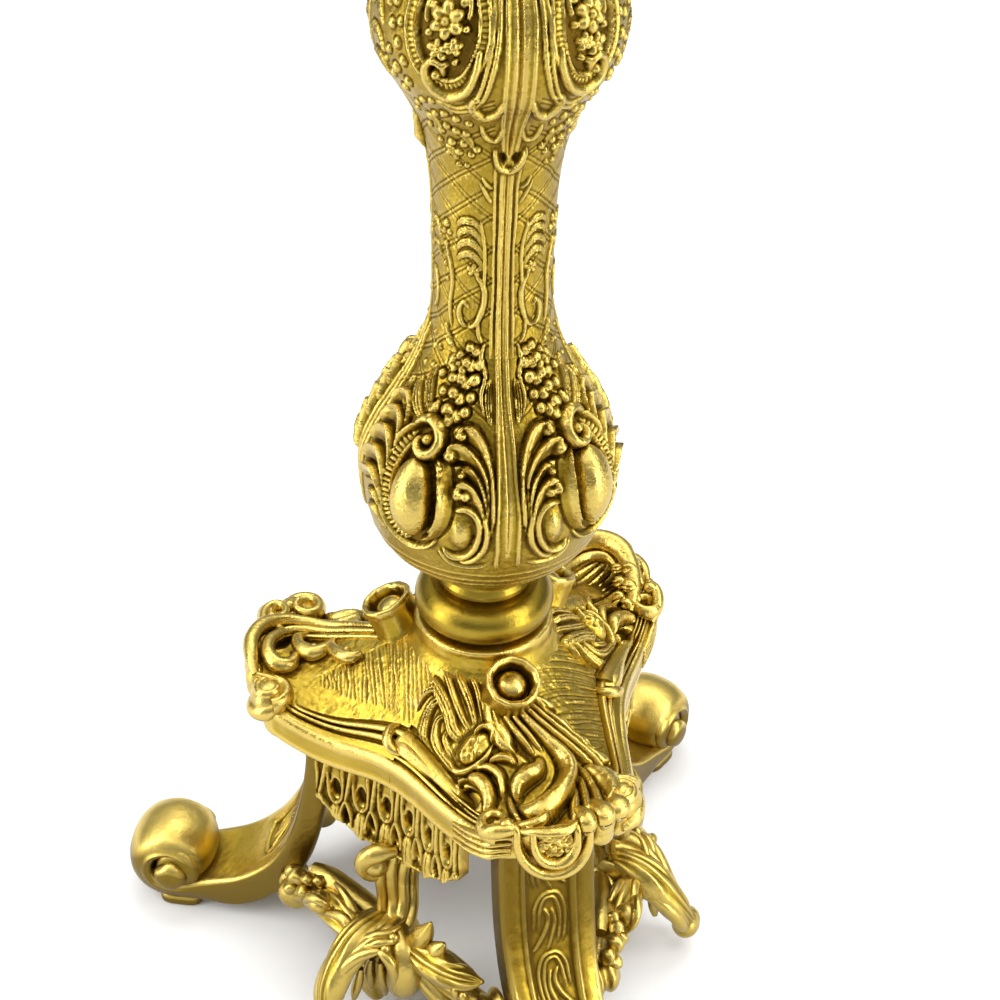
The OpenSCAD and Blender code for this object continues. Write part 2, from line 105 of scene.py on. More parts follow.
# ---------------------------------------------------------------- relief canvas
class Canvas:
    """a height field in mm over u (any unit, k(v) mm per unit) and v (mm)"""

    def __init__(s, u0, u1, v0, v1, step, k=None):
        s.kf = k or (lambda v: np.ones_like(np.asarray(v, float)))
        km = float(np.max(s.kf(np.linspace(v0, v1, 60))))
        s.nu = int(math.ceil((u1 - u0) * km / step)) + 1
        s.nv = int(math.ceil((v1 - v0) / step)) + 1
        s.u = np.linspace(u0, u1, s.nu); s.v = np.linspace(v0, v1, s.nv)
        s.step = step
        s.H = np.zeros((s.nv, s.nu))

    def dist(s, u, v, w, pad=1.05):
        """smallest distance over width, with where on the stroke and on which side, on a sub-grid"""
        k = s.kf(v)
        ext = w * pad + s.step
        j0 = int(np.clip(np.searchsorted(s.u, (u - ext / k).min()) - 1, 0, s.nu - 1))
        j1 = int(np.clip(np.searchsorted(s.u, (u + ext / k).max()) + 1, 1, s.nu))
        i0 = int(np.clip(np.searchsorted(s.v, (v - ext).min()) - 1, 0, s.nv - 1))
        i1 = int(np.clip(np.searchsorted(s.v, (v + ext).max()) + 1, 1, s.nv))
        if j1 - j0 < 1 or i1 - i0 < 1:
            return None
        Q = np.full((i1 - i0, j1 - j0), 1e9, np.float32)
        T = np.zeros_like(Q); S = np.zeros_like(Q)
        n = len(u)
        tu = np.gradient(u) * k if n > 1 else np.ones(1)
        tv = np.gradient(v) if n > 1 else np.zeros(1)
        for c in range(0, n, 20):
            e = min(n, c + 20)
            uu, vv, ww, kk = u[c:e], v[c:e], np.maximum(w[c:e], 1e-3), k[c:e]
            ex = ww.max() * pad + s.step
            a0 = max(i0, int(np.searchsorted(s.v, vv.min() - ex)) - 1); a1 = min(i1, int(np.searchsorted(s.v, vv.max() + ex)) + 1)
            b0 = max(j0, int(np.searchsorted(s.u, (uu - ex / kk).min())) - 1); b1 = min(j1, int(np.searchsorted(s.u, (uu + ex / kk).max())) + 1)
            if a1 <= a0 or b1 <= b0:
                continue
            X = (s.u[None, b0:b1, None] - uu) * kk
            Y = s.v[a0:a1, None, None] - vv
            D = (X * X + Y * Y) / (ww * ww)
            m = D.argmin(2)
            q = np.take_along_axis(D, m[..., None], 2)[..., 0]
            g = m + c
            xx = np.take_along_axis(np.broadcast_to(X, D.shape), m[..., None], 2)[..., 0]
            yy = np.take_along_axis(np.broadcast_to(Y, D.shape), m[..., None], 2)[..., 0]
            sd = np.where(tu[g] * yy - tv[g] * xx >= 0, 1.0, -1.0)
            sl = (slice(a0 - i0, a1 - i0), slice(b0 - j0, b1 - j0))
            better = q < Q[sl]
            Q[sl] = np.where(better, q, Q[sl]); T[sl] = np.where(better, g / max(1, n - 1), T[sl]); S[sl] = np.where(better, sd, S[sl])
        return i0, i1, j0, j1, np.sqrt(Q), T, S

    def stroke(s, pts, w, h=1.0, prof="round", mode="max", base=0.0, ends=(0.15, 0.15), cut=0.0, ribs=None, sharp=1.0):
        P = np.asarray([p[:2] for p in pts], float)
        m = len(P)
        W = np.full(m, float(w)) if np.isscalar(w) else np.interp(np.linspace(0, 1, m), np.linspace(0, 1, len(w)), w)
        Hh = np.full(m, float(h)) if np.isscalar(h) else np.interp(np.linspace(0, 1, m), np.linspace(0, 1, len(h)), h)
        kc = float(s.kf(P[:, 1].mean()))
        Q = np.column_stack([P[:, 0] * kc, P[:, 1], W, Hh])
        L = length(Q)
        n = max(8, int(L / (0.45 * s.step)))
        C = curve(Q, n)
        t = np.linspace(0, 1, n)
        env = np.ones(n)
        if ends[0] > 0:
            env = env * np.sqrt(np.clip(t / ends[0], 0, 1) * (2 - np.clip(t / ends[0], 0, 1)))
        if ends[1] > 0:
            x = np.clip((1 - t) / ends[1], 0, 1)
            env = env * np.sqrt(x * (2 - x))
        ww = np.maximum(C[:, 2] * (0.12 + 0.88 * env), 0.05); hh = C[:, 3] * env
        r = s.dist(C[:, 0] / kc, C[:, 1], ww, 1.5 if cut else 1.05)
        if r is None:
            return s
        i0, i1, j0, j1, q, T, S = r
        hs = np.interp(T, t, hh)
        a = q * S
        inside = q < 1
        qq = np.clip(q, 0, 1)
        if prof == "round":
            f = np.sqrt(1 - qq**2)
        elif prof == "soft":
            f = (1 - qq**2) ** 2
        elif prof == "cone":
            f = 1 - qq
        elif prof == "flat":
            f = smooth(1 - qq, 0, 0.35)
        elif prof == "tri":  # leaf with a vein and two raised edges
            f = (0.62 + 0.38 * np.cos(3 * PI * qq)) * smooth(1 - qq, 0, 0.2)
        elif prof == "twin":
            f = (0.35 + 0.65 * np.sin(PI * np.clip((qq - 0.12) / 0.88, 0, 1))) * smooth(1 - qq, 0, 0.3)
        elif prof == "hollow":
            f = (0.35 + 0.65 * smooth(qq, 0.15, 0.72)) * smooth(1 - qq, 0, 0.22)
        elif prof == "lip":  # raised on the left side, falling to the right
            f = smooth(0.5 + 0.5 * a) * smooth(1 - qq, 0, 0.25)
        elif prof == "lipr":
            f = smooth(0.5 - 0.5 * a) * smooth(1 - qq, 0, 0.25)
        elif prof == "vein":
            f = (0.55 + 0.45 * smooth(qq, 0.0, 0.3)) * np.sqrt(1 - qq**2)
        else:
            raise ValueError(prof)
        if ribs:
            per, dep, sl = ribs
            f = f * (1 - dep * (0.5 + 0.5 * np.cos(2 * PI * (T * L / per + sl * a))))
        sub = s.H[i0:i1, j0:j1]
        if cut:
            g = np.exp(-(((q - 1.12) / 0.2) ** 2)) * np.interp(T, t, env)
            sub -= cut * g * (q < 1.5)
        if mode == "max":
            sub[:] = np.where(inside, np.maximum(sub, base + hs * f), sub)
        elif mode == "add":
            sub += np.where(inside, hs * f, 0)
        elif mode == "over":
            mk = smooth(1 - qq, 0, 0.12) * inside
            sub[:] = sub * (1 - mk) + (base + hs * f) * mk
        elif mode == "cut":
            sub -= np.where(inside, hs * f, 0)
        return s

    def ell(s, u, v, a, b, h, rot=0.0, prof="round", base=0.0, mode="max", cut=0.0, power=2.0):
        """an oval a by b (mm half sizes)"""
        k = float(s.kf(v))
        R = max(a, b) * 1.5
        j0, j1 = np.searchsorted(s.u, [u - R / k, u + R / k]); i0, i1 = np.searchsorted(s.v, [v - R, v + R])
        if j1 <= j0 or i1 <= i0:
            return s
        X = (s.u[None, j0:j1] - u) * s.kf(s.v[i0:i1])[:, None]
        Y = (s.v[i0:i1, None] - v) + 0 * X
        c, sn = math.cos(rot * D2R), math.sin(rot * D2R)
        x, y = (c * X + sn * Y) / a, (-sn * X + c * Y) / b
        q = np.sqrt(x * x + y * y)
        sub = s.H[i0:i1, j0:j1]
        if cut:
            sub -= cut * np.exp(-(((q - 1.1) / 0.16) ** 2))
        qq = np.clip(q, 0, 1)
        if prof == "round":
            f = (1 - qq**power) ** (1 / 2.0)
        elif prof == "soft":
            f = (1 - qq**2) ** 2
        elif prof == "ring":
            f = np.exp(-(((q - 0.8) / 0.18) ** 2))
        elif prof == "flat":
            f = smooth(1 - qq, 0, 0.25)
        if mode == "max":
            sub[:] = np.where(q < 1, np.maximum(sub, base + h * f), sub)
        elif mode == "add":
            sub += np.where(q < 1, h * f, 0)
        elif mode == "over":
            mk = smooth(1 - qq, 0, 0.1) * (q < 1)
            sub[:] = sub * (1 - mk) + (base + h * f) * mk
        elif mode == "cut":
            sub -= np.where(q < 1, h * f, 0)
        return s

    def balls(s, L, h=0.75, base=0.0, cut=0.5):
        for u, v, r in L:
            s.ell(u, v, r, r, h * r, base=base, cut=cut)
        return s

    def flower(s, u, v, r, n=5, h=1.6, base=0.0, a0=90.0):
        k = float(s.kf(v))
        for i in range(n):
            a = (a0 + 360 * i / n) * D2R
            s.ell(u + 0.6 * r * math.cos(a) / k, v + 0.6 * r * math.sin(a), 0.48 * r, 0.36 * r, h, rot=a / D2R, base=base, cut=0.35)
        s.ell(u, v, 0.28 * r, 0.28 * r, h * 1.25, base=base, cut=0.3)
        return s

    def beads(s, pts, r, gap=2.1, h=None, base=0.0):
        P = np.asarray([p[:2] for p in pts], float)
        kc = float(s.kf(P[:, 1].mean()))
        Q = np.column_stack([P[:, 0] * kc, P[:, 1]])
        n = max(2, int(length(curve(Q, 60)) / (gap * r)))
        for u, v in curve(Q, n):
            s.ell(u / kc, v, r, r, h or r * 0.9, base=base)
        return s

    def grain(s, amp, cell=1.2, seed=1):
        s.H += soft_noise(s.H.shape, cell / s.step, seed, amp)
        return s

    def at(s, u, v):
        x = np.clip((u - s.u[0]) / (s.u[-1] - s.u[0]) * (s.nu - 1), 0, s.nu - 1.001)
        y = np.clip((v - s.v[0]) / (s.v[-1] - s.v[0]) * (s.nv - 1), 0, s.nv - 1.001)
        xi, yi = x.astype(int), y.astype(int)
        fx, fy = x - xi, y - yi
        H = s.H
        return (H[yi, xi] * (1 - fx) + H[yi, xi + 1] * fx) * (1 - fy) + (H[yi + 1, xi] * (1 - fx) + H[yi + 1, xi + 1] * fx) * fy


# ---------------------------------------------------------------- meshes
def box_blur(A, r, wrap):
    """mean over 2r+1 along both axes of A (m, n, c)"""
    for ax in (0, 1):
        n = A.shape[ax]
        rr = min(r, (n - 1) // 2)
        if rr < 1:
            continue
        pad = [(0, 0)] * 3
        pad[ax] = (rr + 1, rr)
        B = np.pad(A, pad, mode="wrap" if wrap[ax] else "edge")
        S = np.cumsum(B, axis=ax)
        w = 2 * rr + 1
        hi = np.take(S, range(w, w + n), axis=ax); lo = np.take(S, range(0, n), axis=ax)
        A = (hi - lo) / w
    return A


def grid_normals(G, wrap=(False, False)):
    def diff(A, ax):
        if wrap[ax]:
            return np.roll(A, -1, ax) - np.roll(A, 1, ax)
        return np.gradient(A, axis=ax)
    N = np.cross(diff(G, 1), diff(G, 0))
    return N / np.maximum(np.linalg.norm(N, axis=2, keepdims=True), 1e-9)


class Piece:
    """grids and fans of points in mm, turned into one mesh with an even UV atlas"""

    def __init__(s):
        s.V, s.C, s.n, s.poly, s.patch = [], [], 0, [], []

    def grid(s, G, cu=False, cv=False, flip=False, wu=None, cav=True, outer=None, caps=(None, None)):
        """G (rows, columns, 3). cv closes the rows' direction (axis 0), cu the columns'. caps: close the first and last row"""
        G = np.asarray(G, float)
        m, n = G.shape[:2]
        st = s.n
        s.V.append(G.reshape(-1, 3)); s.n += m * n
        # cav: how deep each point sits in the relief, from blurred copies of the grid; the gilt materials darken by it,
        # as patina and as painted shade in the hollows
        if cav:
            N = grid_normals(G, (cv, cu)) * (-1 if flip else 1)
            e = max(1e-3, float(np.median(np.linalg.norm(np.diff(G, axis=1), axis=2))) * 0.5 + 0.5 * float(np.median(np.linalg.norm(np.diff(G, axis=0), axis=2))))
            c = np.zeros((m, n))
            for r_mm, wt in ((0.9, 1.0), (2.6, 0.8), (6.0, 0.35)):
                r = max(1, int(round(r_mm / e)))
                B = box_blur(box_blur(G, r, (cv, cu)), r, (cv, cu))
                d = ((B - G) * N).sum(2)
                c += wt * d / (0.22 * r_mm)
            c = np.clip(c, -3, 3)
        else:
            c = np.zeros((m, n))
        s.C.append(c.ravel())
        I = st + np.arange(m * n).reshape(m, n)
        if cu:
            I = np.concatenate([I, I[:, :1]], 1)
        if cv:
            I = np.concatenate([I, I[:1]], 0)
        a, b, c4, d4 = I[:-1, :-1], I[:-1, 1:], I[1:, 1:], I[1:, :-1]
        F = np.stack([a, b, c4, d4], -1).reshape(-1, 4)
        GG = s_at = np.concatenate([G, G[:, :1]], 1) if cu else G
        if cv:
            GG = np.concatenate([GG, GG[:1]], 0)
        du = np.linalg.norm(np.diff(GG, axis=1), axis=2).max(0)
        dv = np.linalg.norm(np.diff(GG, axis=0), axis=2).max(1)
        if wu is not None:
            du = du * np.asarray(wu)[: len(du)]
        U = np.concatenate([[0], np.cumsum(np.maximum(du, 1e-4))]); Vv = np.concatenate([[0], np.cumsum(np.maximum(dv, 1e-4))])
        mm, nn = len(Vv), len(U)
        UV = np.stack(np.broadcast_arrays(U[None, :], Vv[:, None]), -1)
        L = np.stack([UV[:-1, :-1], UV[:-1, 1:], UV[1:, 1:], UV[1:, :-1]], 2).reshape(-1, 4, 2)
        if flip:
            F = F[:, ::-1]; L = L[:, ::-1]
        s.poly.append((F, len(s.patch))); s.patch.append((L, U[-1], Vv[-1]))
        for k, cap in enumerate(caps):
            if cap is None:
                continue
            row = np.arange(st, st + n) if k == 0 else np.arange(st + (m - 1) * n, st + m * n)
            P = s.V[-1][row - st] if False else G[0 if k == 0 else -1]
            if cap == "ngon":
                f = row[::-1] if (k == 0) ^ flip else row
                # the face must look out of the solid at that end
                ctr = P.mean(0)
                ax0 = int(np.argmax(np.ptp(P, axis=0)))
                sp = np.ptp(P, axis=0); o = np.argsort(-sp)[:2]
                uv = P[:, o] - P[:, o].min(0)
                if (k == 0) ^ flip:
                    uv = uv[::-1]
                s.poly.append((f[None, :], len(s.patch))); s.patch.append((uv[None].astype(float), float(sp[o[0]]) + 1e-3, float(sp[o[1]]) + 1e-3))
            else:  # a point
                tip = P.mean(0) if cap == "tip" else np.asarray(cap, float)
                s.V.append(tip[None]); s.C.append(np.array([c.ravel()[(0 if k == 0 else (m - 1) * n)]])); ti = s.n; s.n += 1
                nx = np.roll(row, -1)
                F3 = np.stack([nx, row, np.full(n, ti)], 1) if k == 0 else np.stack([row, nx, np.full(n, ti)], 1)
                if not cu:
                    F3 = F3[:-1]
                if flip:
                    F3 = F3[:, ::-1]
                a = np.linspace(0, 2 * PI, n, endpoint=False); a2 = np.roll(a, -1)
                rr = max(0.3, float(np.linalg.norm(P - tip, axis=1).mean()))
                c1 = np.stack([rr + rr * np.cos(a), rr + rr * np.sin(a)], 1); c2 = np.stack([rr + rr * np.cos(a2), rr + rr * np.sin(a2)], 1)
                cc = np.full_like(c1, rr)
                L3 = np.stack([c2, c1, cc], 1) if k == 0 else np.stack([c1, c2, cc], 1)
                if not cu:
                    L3 = L3[:-1]
                if flip:
                    L3 = L3[:, ::-1]
                s.poly.append((F3, len(s.patch))); s.patch.append((L3, 2 * rr, 2 * rr))
        return s

    def tris(s, V, F):
        """a free patch of triangles with planar UVs"""
        V = np.asarray(V, float); F = np.asarray(F, int)
        st = s.n
        s.V.append(V); s.C.append(np.zeros(len(V))); s.n += len(V)
        sp = np.ptp(V, axis=0); o = np.argsort(-sp)[:2]
        uv = V[:, o] - V[:, o].min(0)
        s.poly.append((F + st, len(s.patch))); s.patch.append((uv[F], float(sp[o[0]]) + 1e-3, float(sp[o[1]]) + 1e-3))
        return s

    def build(s, name, material, body="stand", nodes=(), slotname="gilt_cast", angle=75):
        V = np.concatenate(s.V) * 0.001
        C = np.concatenate(s.C)
        # shelf packing of the patches in one square
        order = sorted(range(len(s.patch)), key=lambda i: -s.patch[i][2])
        area = sum(p[1] * p[2] for p in s.patch)
        side = math.sqrt(area) * 1.12 + 4
        widest = max(min(p[1], p[2]) for p in s.patch)
        while True:
            pos, x, y, row = {}, 0.0, 0.0, 0.0
            gapp = side * 0.004
            ok = True
            for i in order:
                w, h = s.patch[i][1], s.patch[i][2]
                if x + w > side and x > 0:
                    x, y, row = 0.0, y + row + gapp, 0.0
                if w > side:
                    ok = False
                pos[i] = (x, y); x += w + gapp; row = max(row, h)
            if ok and y + row <= side:
                break
            side *= 1.06
        loops, uvs, sizes = [], [], []
        for F, pi in s.poly:
            L = s.patch[pi][0]
            loops.append(F.ravel()); sizes.append(np.full(len(F), F.shape[1]))
            uvs.append(((L + np.array(pos[pi])) / side * 0.996 + 0.002).reshape(-1, 2))
        loops = np.concatenate(loops).astype(np.int32); sizes = np.concatenate(sizes).astype(np.int32); uvs = np.concatenate(uvs).astype(np.float32)
        me = bpy.data.meshes.new(name)
        me.vertices.add(len(V)); me.vertices.foreach_set("co", V.astype(np.float32).ravel())
        me.loops.add(len(loops)); me.loops.foreach_set("vertex_index", loops)
        me.polygons.add(len(sizes)); me.polygons.foreach_set("loop_start", np.concatenate([[0], np.cumsum(sizes)[:-1]]).astype(np.int32))
        me.update(calc_edges=True)
        me.uv_layers.new(name="OFBake").data.foreach_set("uv", uvs.ravel())
        # the cav attribute feeds the patina and the painted shade in the hollows
        at = me.attributes.new("cav", "FLOAT", "POINT"); at.data.foreach_set("value", C.astype(np.float32))
        me.validate(verbose=False)
        me.polygons.foreach_set("use_smooth", np.ones(len(me.polygons), bool))
        me.set_sharp_from_angle(angle=angle * D2R)
        ob = bpy.data.objects.new(name, me)
        bpy.context.scene.collection.objects.link(ob)
        me.materials.append(material)
        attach(ob, body)
        if nodes:
            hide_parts(*nodes)
        TRI[name] = int((sizes - 2).sum())
        return ob


TRI = {}


# ---------------------------------------------------------------- materials
def gilt(name, grain=1.0, tone=1.0, rough=0.30, patina=1.0, warm=0.0, painted_shade_keep=0.75, painted_light_top=(0.25, 0.95), seed=0.0):
    """burnished brass: darker brown patina and painted shade in the hollows, rubbed bright on the edges, painted shade
    on upright faces and painted light on upward ones, with a fine cast grain
    """
    m = bpy.data.materials.new(name)
    m.use_nodes = True
    nt = m.node_tree
    nt.nodes.clear()
    N, Lk = nt.nodes.new, nt.links.new
    out = N("ShaderNodeOutputMaterial"); bs = N("ShaderNodeBsdfPrincipled")
    Lk(bs.outputs[0], out.inputs[0])
    bs.inputs["Metallic"].default_value = 1.0
    tc = N("ShaderNodeTexCoord")

    def math_(op, a, b=None, clamp=False):
        n = N("ShaderNodeMath"); n.operation = op; n.use_clamp = clamp
        for i, v in enumerate((a, b)):
            if v is None:
                continue
            if isinstance(v, (int, float)):
                n.inputs[i].default_value = v
            else:
                Lk(v, n.inputs[i])
        return n.outputs[0]

    def noise(scale, detail=3.0, rgh=0.55, off=0.0):
        mp = N("ShaderNodeMapping"); Lk(tc.outputs["Object"], mp.inputs[0])
        mp.inputs["Location"].default_value = (seed + off, seed * 1.7 + off, 0.3 * seed)
        n = N("ShaderNodeTexNoise"); Lk(mp.outputs[0], n.inputs["Vector"])
        n.inputs["Scale"].default_value = scale; n.inputs["Detail"].default_value = detail; n.inputs["Roughness"].default_value = rgh
        return n.outputs["Fac"]

    def ramp(fac, stops):
        r = N("ShaderNodeValToRGB"); Lk(fac, r.inputs[0])
        e = r.color_ramp.elements
        while len(e) < len(stops):
            e.new(0.5)
        for i, (p, c) in enumerate(stops):
            e[i].position = p; e[i].color = (c[0], c[1], c[2], 1) if len(c) == 3 else c
        return r.outputs[0]

    def mix(f, a, b):
        n = N("ShaderNodeMix"); n.data_type = "RGBA"
        if isinstance(f, float):
            n.inputs[0].default_value = f
        else:
            Lk(f, n.inputs[0])
        for i, v in ((6, a), (7, b)):
            if isinstance(v, tuple):
                n.inputs[i].default_value = (*v, 1)
            else:
                Lk(v, n.inputs[i])
        return n.outputs[2]

    at = N("ShaderNodeAttribute"); at.attribute_name = "cav"
    geo = N("ShaderNodeNewGeometry")
    big = noise(26, 2.0, 0.5); mid = noise(140, 4.0, 0.6, 3.0); fine = noise(900, 3.0, 0.6, 7.0)
    # hollow: 0 on open metal, 1 deep in the relief; it darkens the hollows to brown, partly as patina and partly as
    # painted shade, with the pointiness term standing in for ambient occlusion
    pt = math_("MULTIPLY", math_("SUBTRACT", 0.5, geo.outputs["Pointiness"]), 5.0)
    cv = math_("ADD", math_("MULTIPLY", at.outputs["Fac"], 0.75), pt)
    cv = math_("ADD", cv, math_("MULTIPLY", math_("SUBTRACT", mid, 0.5), 0.7))
    hollow = math_("MULTIPLY", math_("SUBTRACT", cv, 0.12), 1.25 * patina, clamp=True)
    edge = math_("MULTIPLY", math_("SUBTRACT", math_("MULTIPLY", cv, -1.0), 0.25), 1.1, clamp=True)
    base = mix(math_("MULTIPLY", math_("SUBTRACT", big, 0.35), 2.2, clamp=True),
               (0.385 * tone, 0.262 * tone, 0.026 * tone), (0.50 * tone, 0.355 * tone, 0.046 * tone))
    if warm > 0:
        wn = math_("MULTIPLY", math_("SUBTRACT", noise(60, 4.0, 0.65, 11.0), 0.6), 5.0 * warm, clamp=True)
        base = mix(wn, base, (0.66, 0.43, 0.20))
    spots = math_("MULTIPLY", math_("SUBTRACT", fine, 0.58), 3.0, clamp=True)
    base = mix(math_("MULTIPLY", spots, 0.45), base, (0.22 * tone, 0.125 * tone, 0.015))
    base = mix(math_("MULTIPLY", edge, 0.75), base, (0.74, 0.56, 0.155))
    # painted light and shade: upward faces keep the full tone, upright and downward faces are darkened towards dark
    # brown as if in shade
    sx = N("ShaderNodeSeparateXYZ"); Lk(geo.outputs["Normal"], sx.inputs[0])
    painted_light_top = math_("MULTIPLY", math_("ADD", sx.outputs["Z"], painted_light_top[0]), painted_light_top[1], clamp=True)
    base = mix(painted_light_top, mix(1.0 - painted_shade_keep, base, (0.115, 0.068, 0.004)), base)
    dark = mix(mid, (0.075, 0.040, 0.004), (0.19, 0.112, 0.012))
    col = mix(hollow, base, dark)
    Lk(col, bs.inputs["Base Color"])
    # roughness
    rg = math_("ADD", rough, math_("MULTIPLY", math_("SUBTRACT", mid, 0.5), 0.22))
    rg = math_("ADD", rg, math_("MULTIPLY", hollow, 0.22))
    rg = math_("SUBTRACT", rg, math_("MULTIPLY", edge, 0.06))
    Lk(math_("MAXIMUM", math_("MINIMUM", rg, 0.8), 0.14), bs.inputs["Roughness"])
    # surface: lumps of the casting, then fine grain
    b1 = N("ShaderNodeBump"); b1.inputs["Strength"].default_value = min(1.0, 0.35 * grain); b1.inputs["Distance"].default_value = 0.0009
    Lk(noise(260, 4.0, 0.6, 5.0), b1.inputs["Height"])
    b2 = N("ShaderNodeBump"); b2.inputs["Strength"].default_value = min(1.0, 0.30 * grain); b2.inputs["Distance"].default_value = 0.00035
    Lk(fine, b2.inputs["Height"]); Lk(b1.outputs[0], b2.inputs["Normal"])
    Lk(b2.outputs[0], bs.inputs["Normal"])
    return m


# painted light and shade: these copies of one gilt darken their upright faces and keep upward faces lighter, the legs
# most strongly; the canopy's tone is also raised as painted light on its upward faces
M_STEM = gilt("gilt_stem", grain=1.9, rough=0.34, patina=0.80, tone=0.90, painted_shade_keep=0.74)
M_CAN = gilt("gilt_canopy", grain=1.3, rough=0.34, patina=0.50, tone=1.10, warm=0.6, painted_shade_keep=0.80, seed=3.0)
M_LEG = gilt("gilt_leg", grain=1.0, rough=0.42, patina=0.60, tone=1.60, warm=0.8, painted_shade_keep=0.12, painted_light_top=(-0.20, 2.8), seed=5.0)
M_TURN = gilt("gilt_turned", grain=0.6, rough=0.31, patina=0.9, tone=0.84, painted_shade_keep=0.72, seed=9.0)
M_BRK = gilt("gilt_bracket", grain=1.1, rough=0.37, patina=0.80, tone=1.0, painted_shade_keep=0.52, painted_light_top=(0.1, 1.1), seed=13.0)


# ---------------------------------------------------------------- stem
STEM_TURN = -13.5
LOW = [(26, 230), (27, 233), (29.5, 236.5), (37.5, 241.5), (47.3, 253), (51.5, 266), (53, 281), (51.7, 293), (46.2, 306), (39, 318), (31.6, 331),
       (26.6, 344), (24.0, 358), (23.6, 372), (23.7, 388), (24.1, 405), (25.3, 419), (27.3, 430), (30.2, 440), (36, 451), (43, 462), (46.3, 476), (44.2, 492), (36.8, 506), (28.7, 517), (24.5, 530)]


def prof_at(L, n):
    C = curve([(r, z) for r, z in L], n)
    T = np.gradient(C, axis=0)
    T /= np.linalg.norm(T, axis=1)[:, None]
    return C[:, 0], C[:, 1], T[:, 1], -T[:, 0]  # r, z, normal r, normal z (pointing out)


_lr, _lz, _, _ = prof_at(LOW, 900)


def Rlow(z):
    return np.interp(z, _lz, _lr)


def mirrored(cv, draw):
    draw(cv)


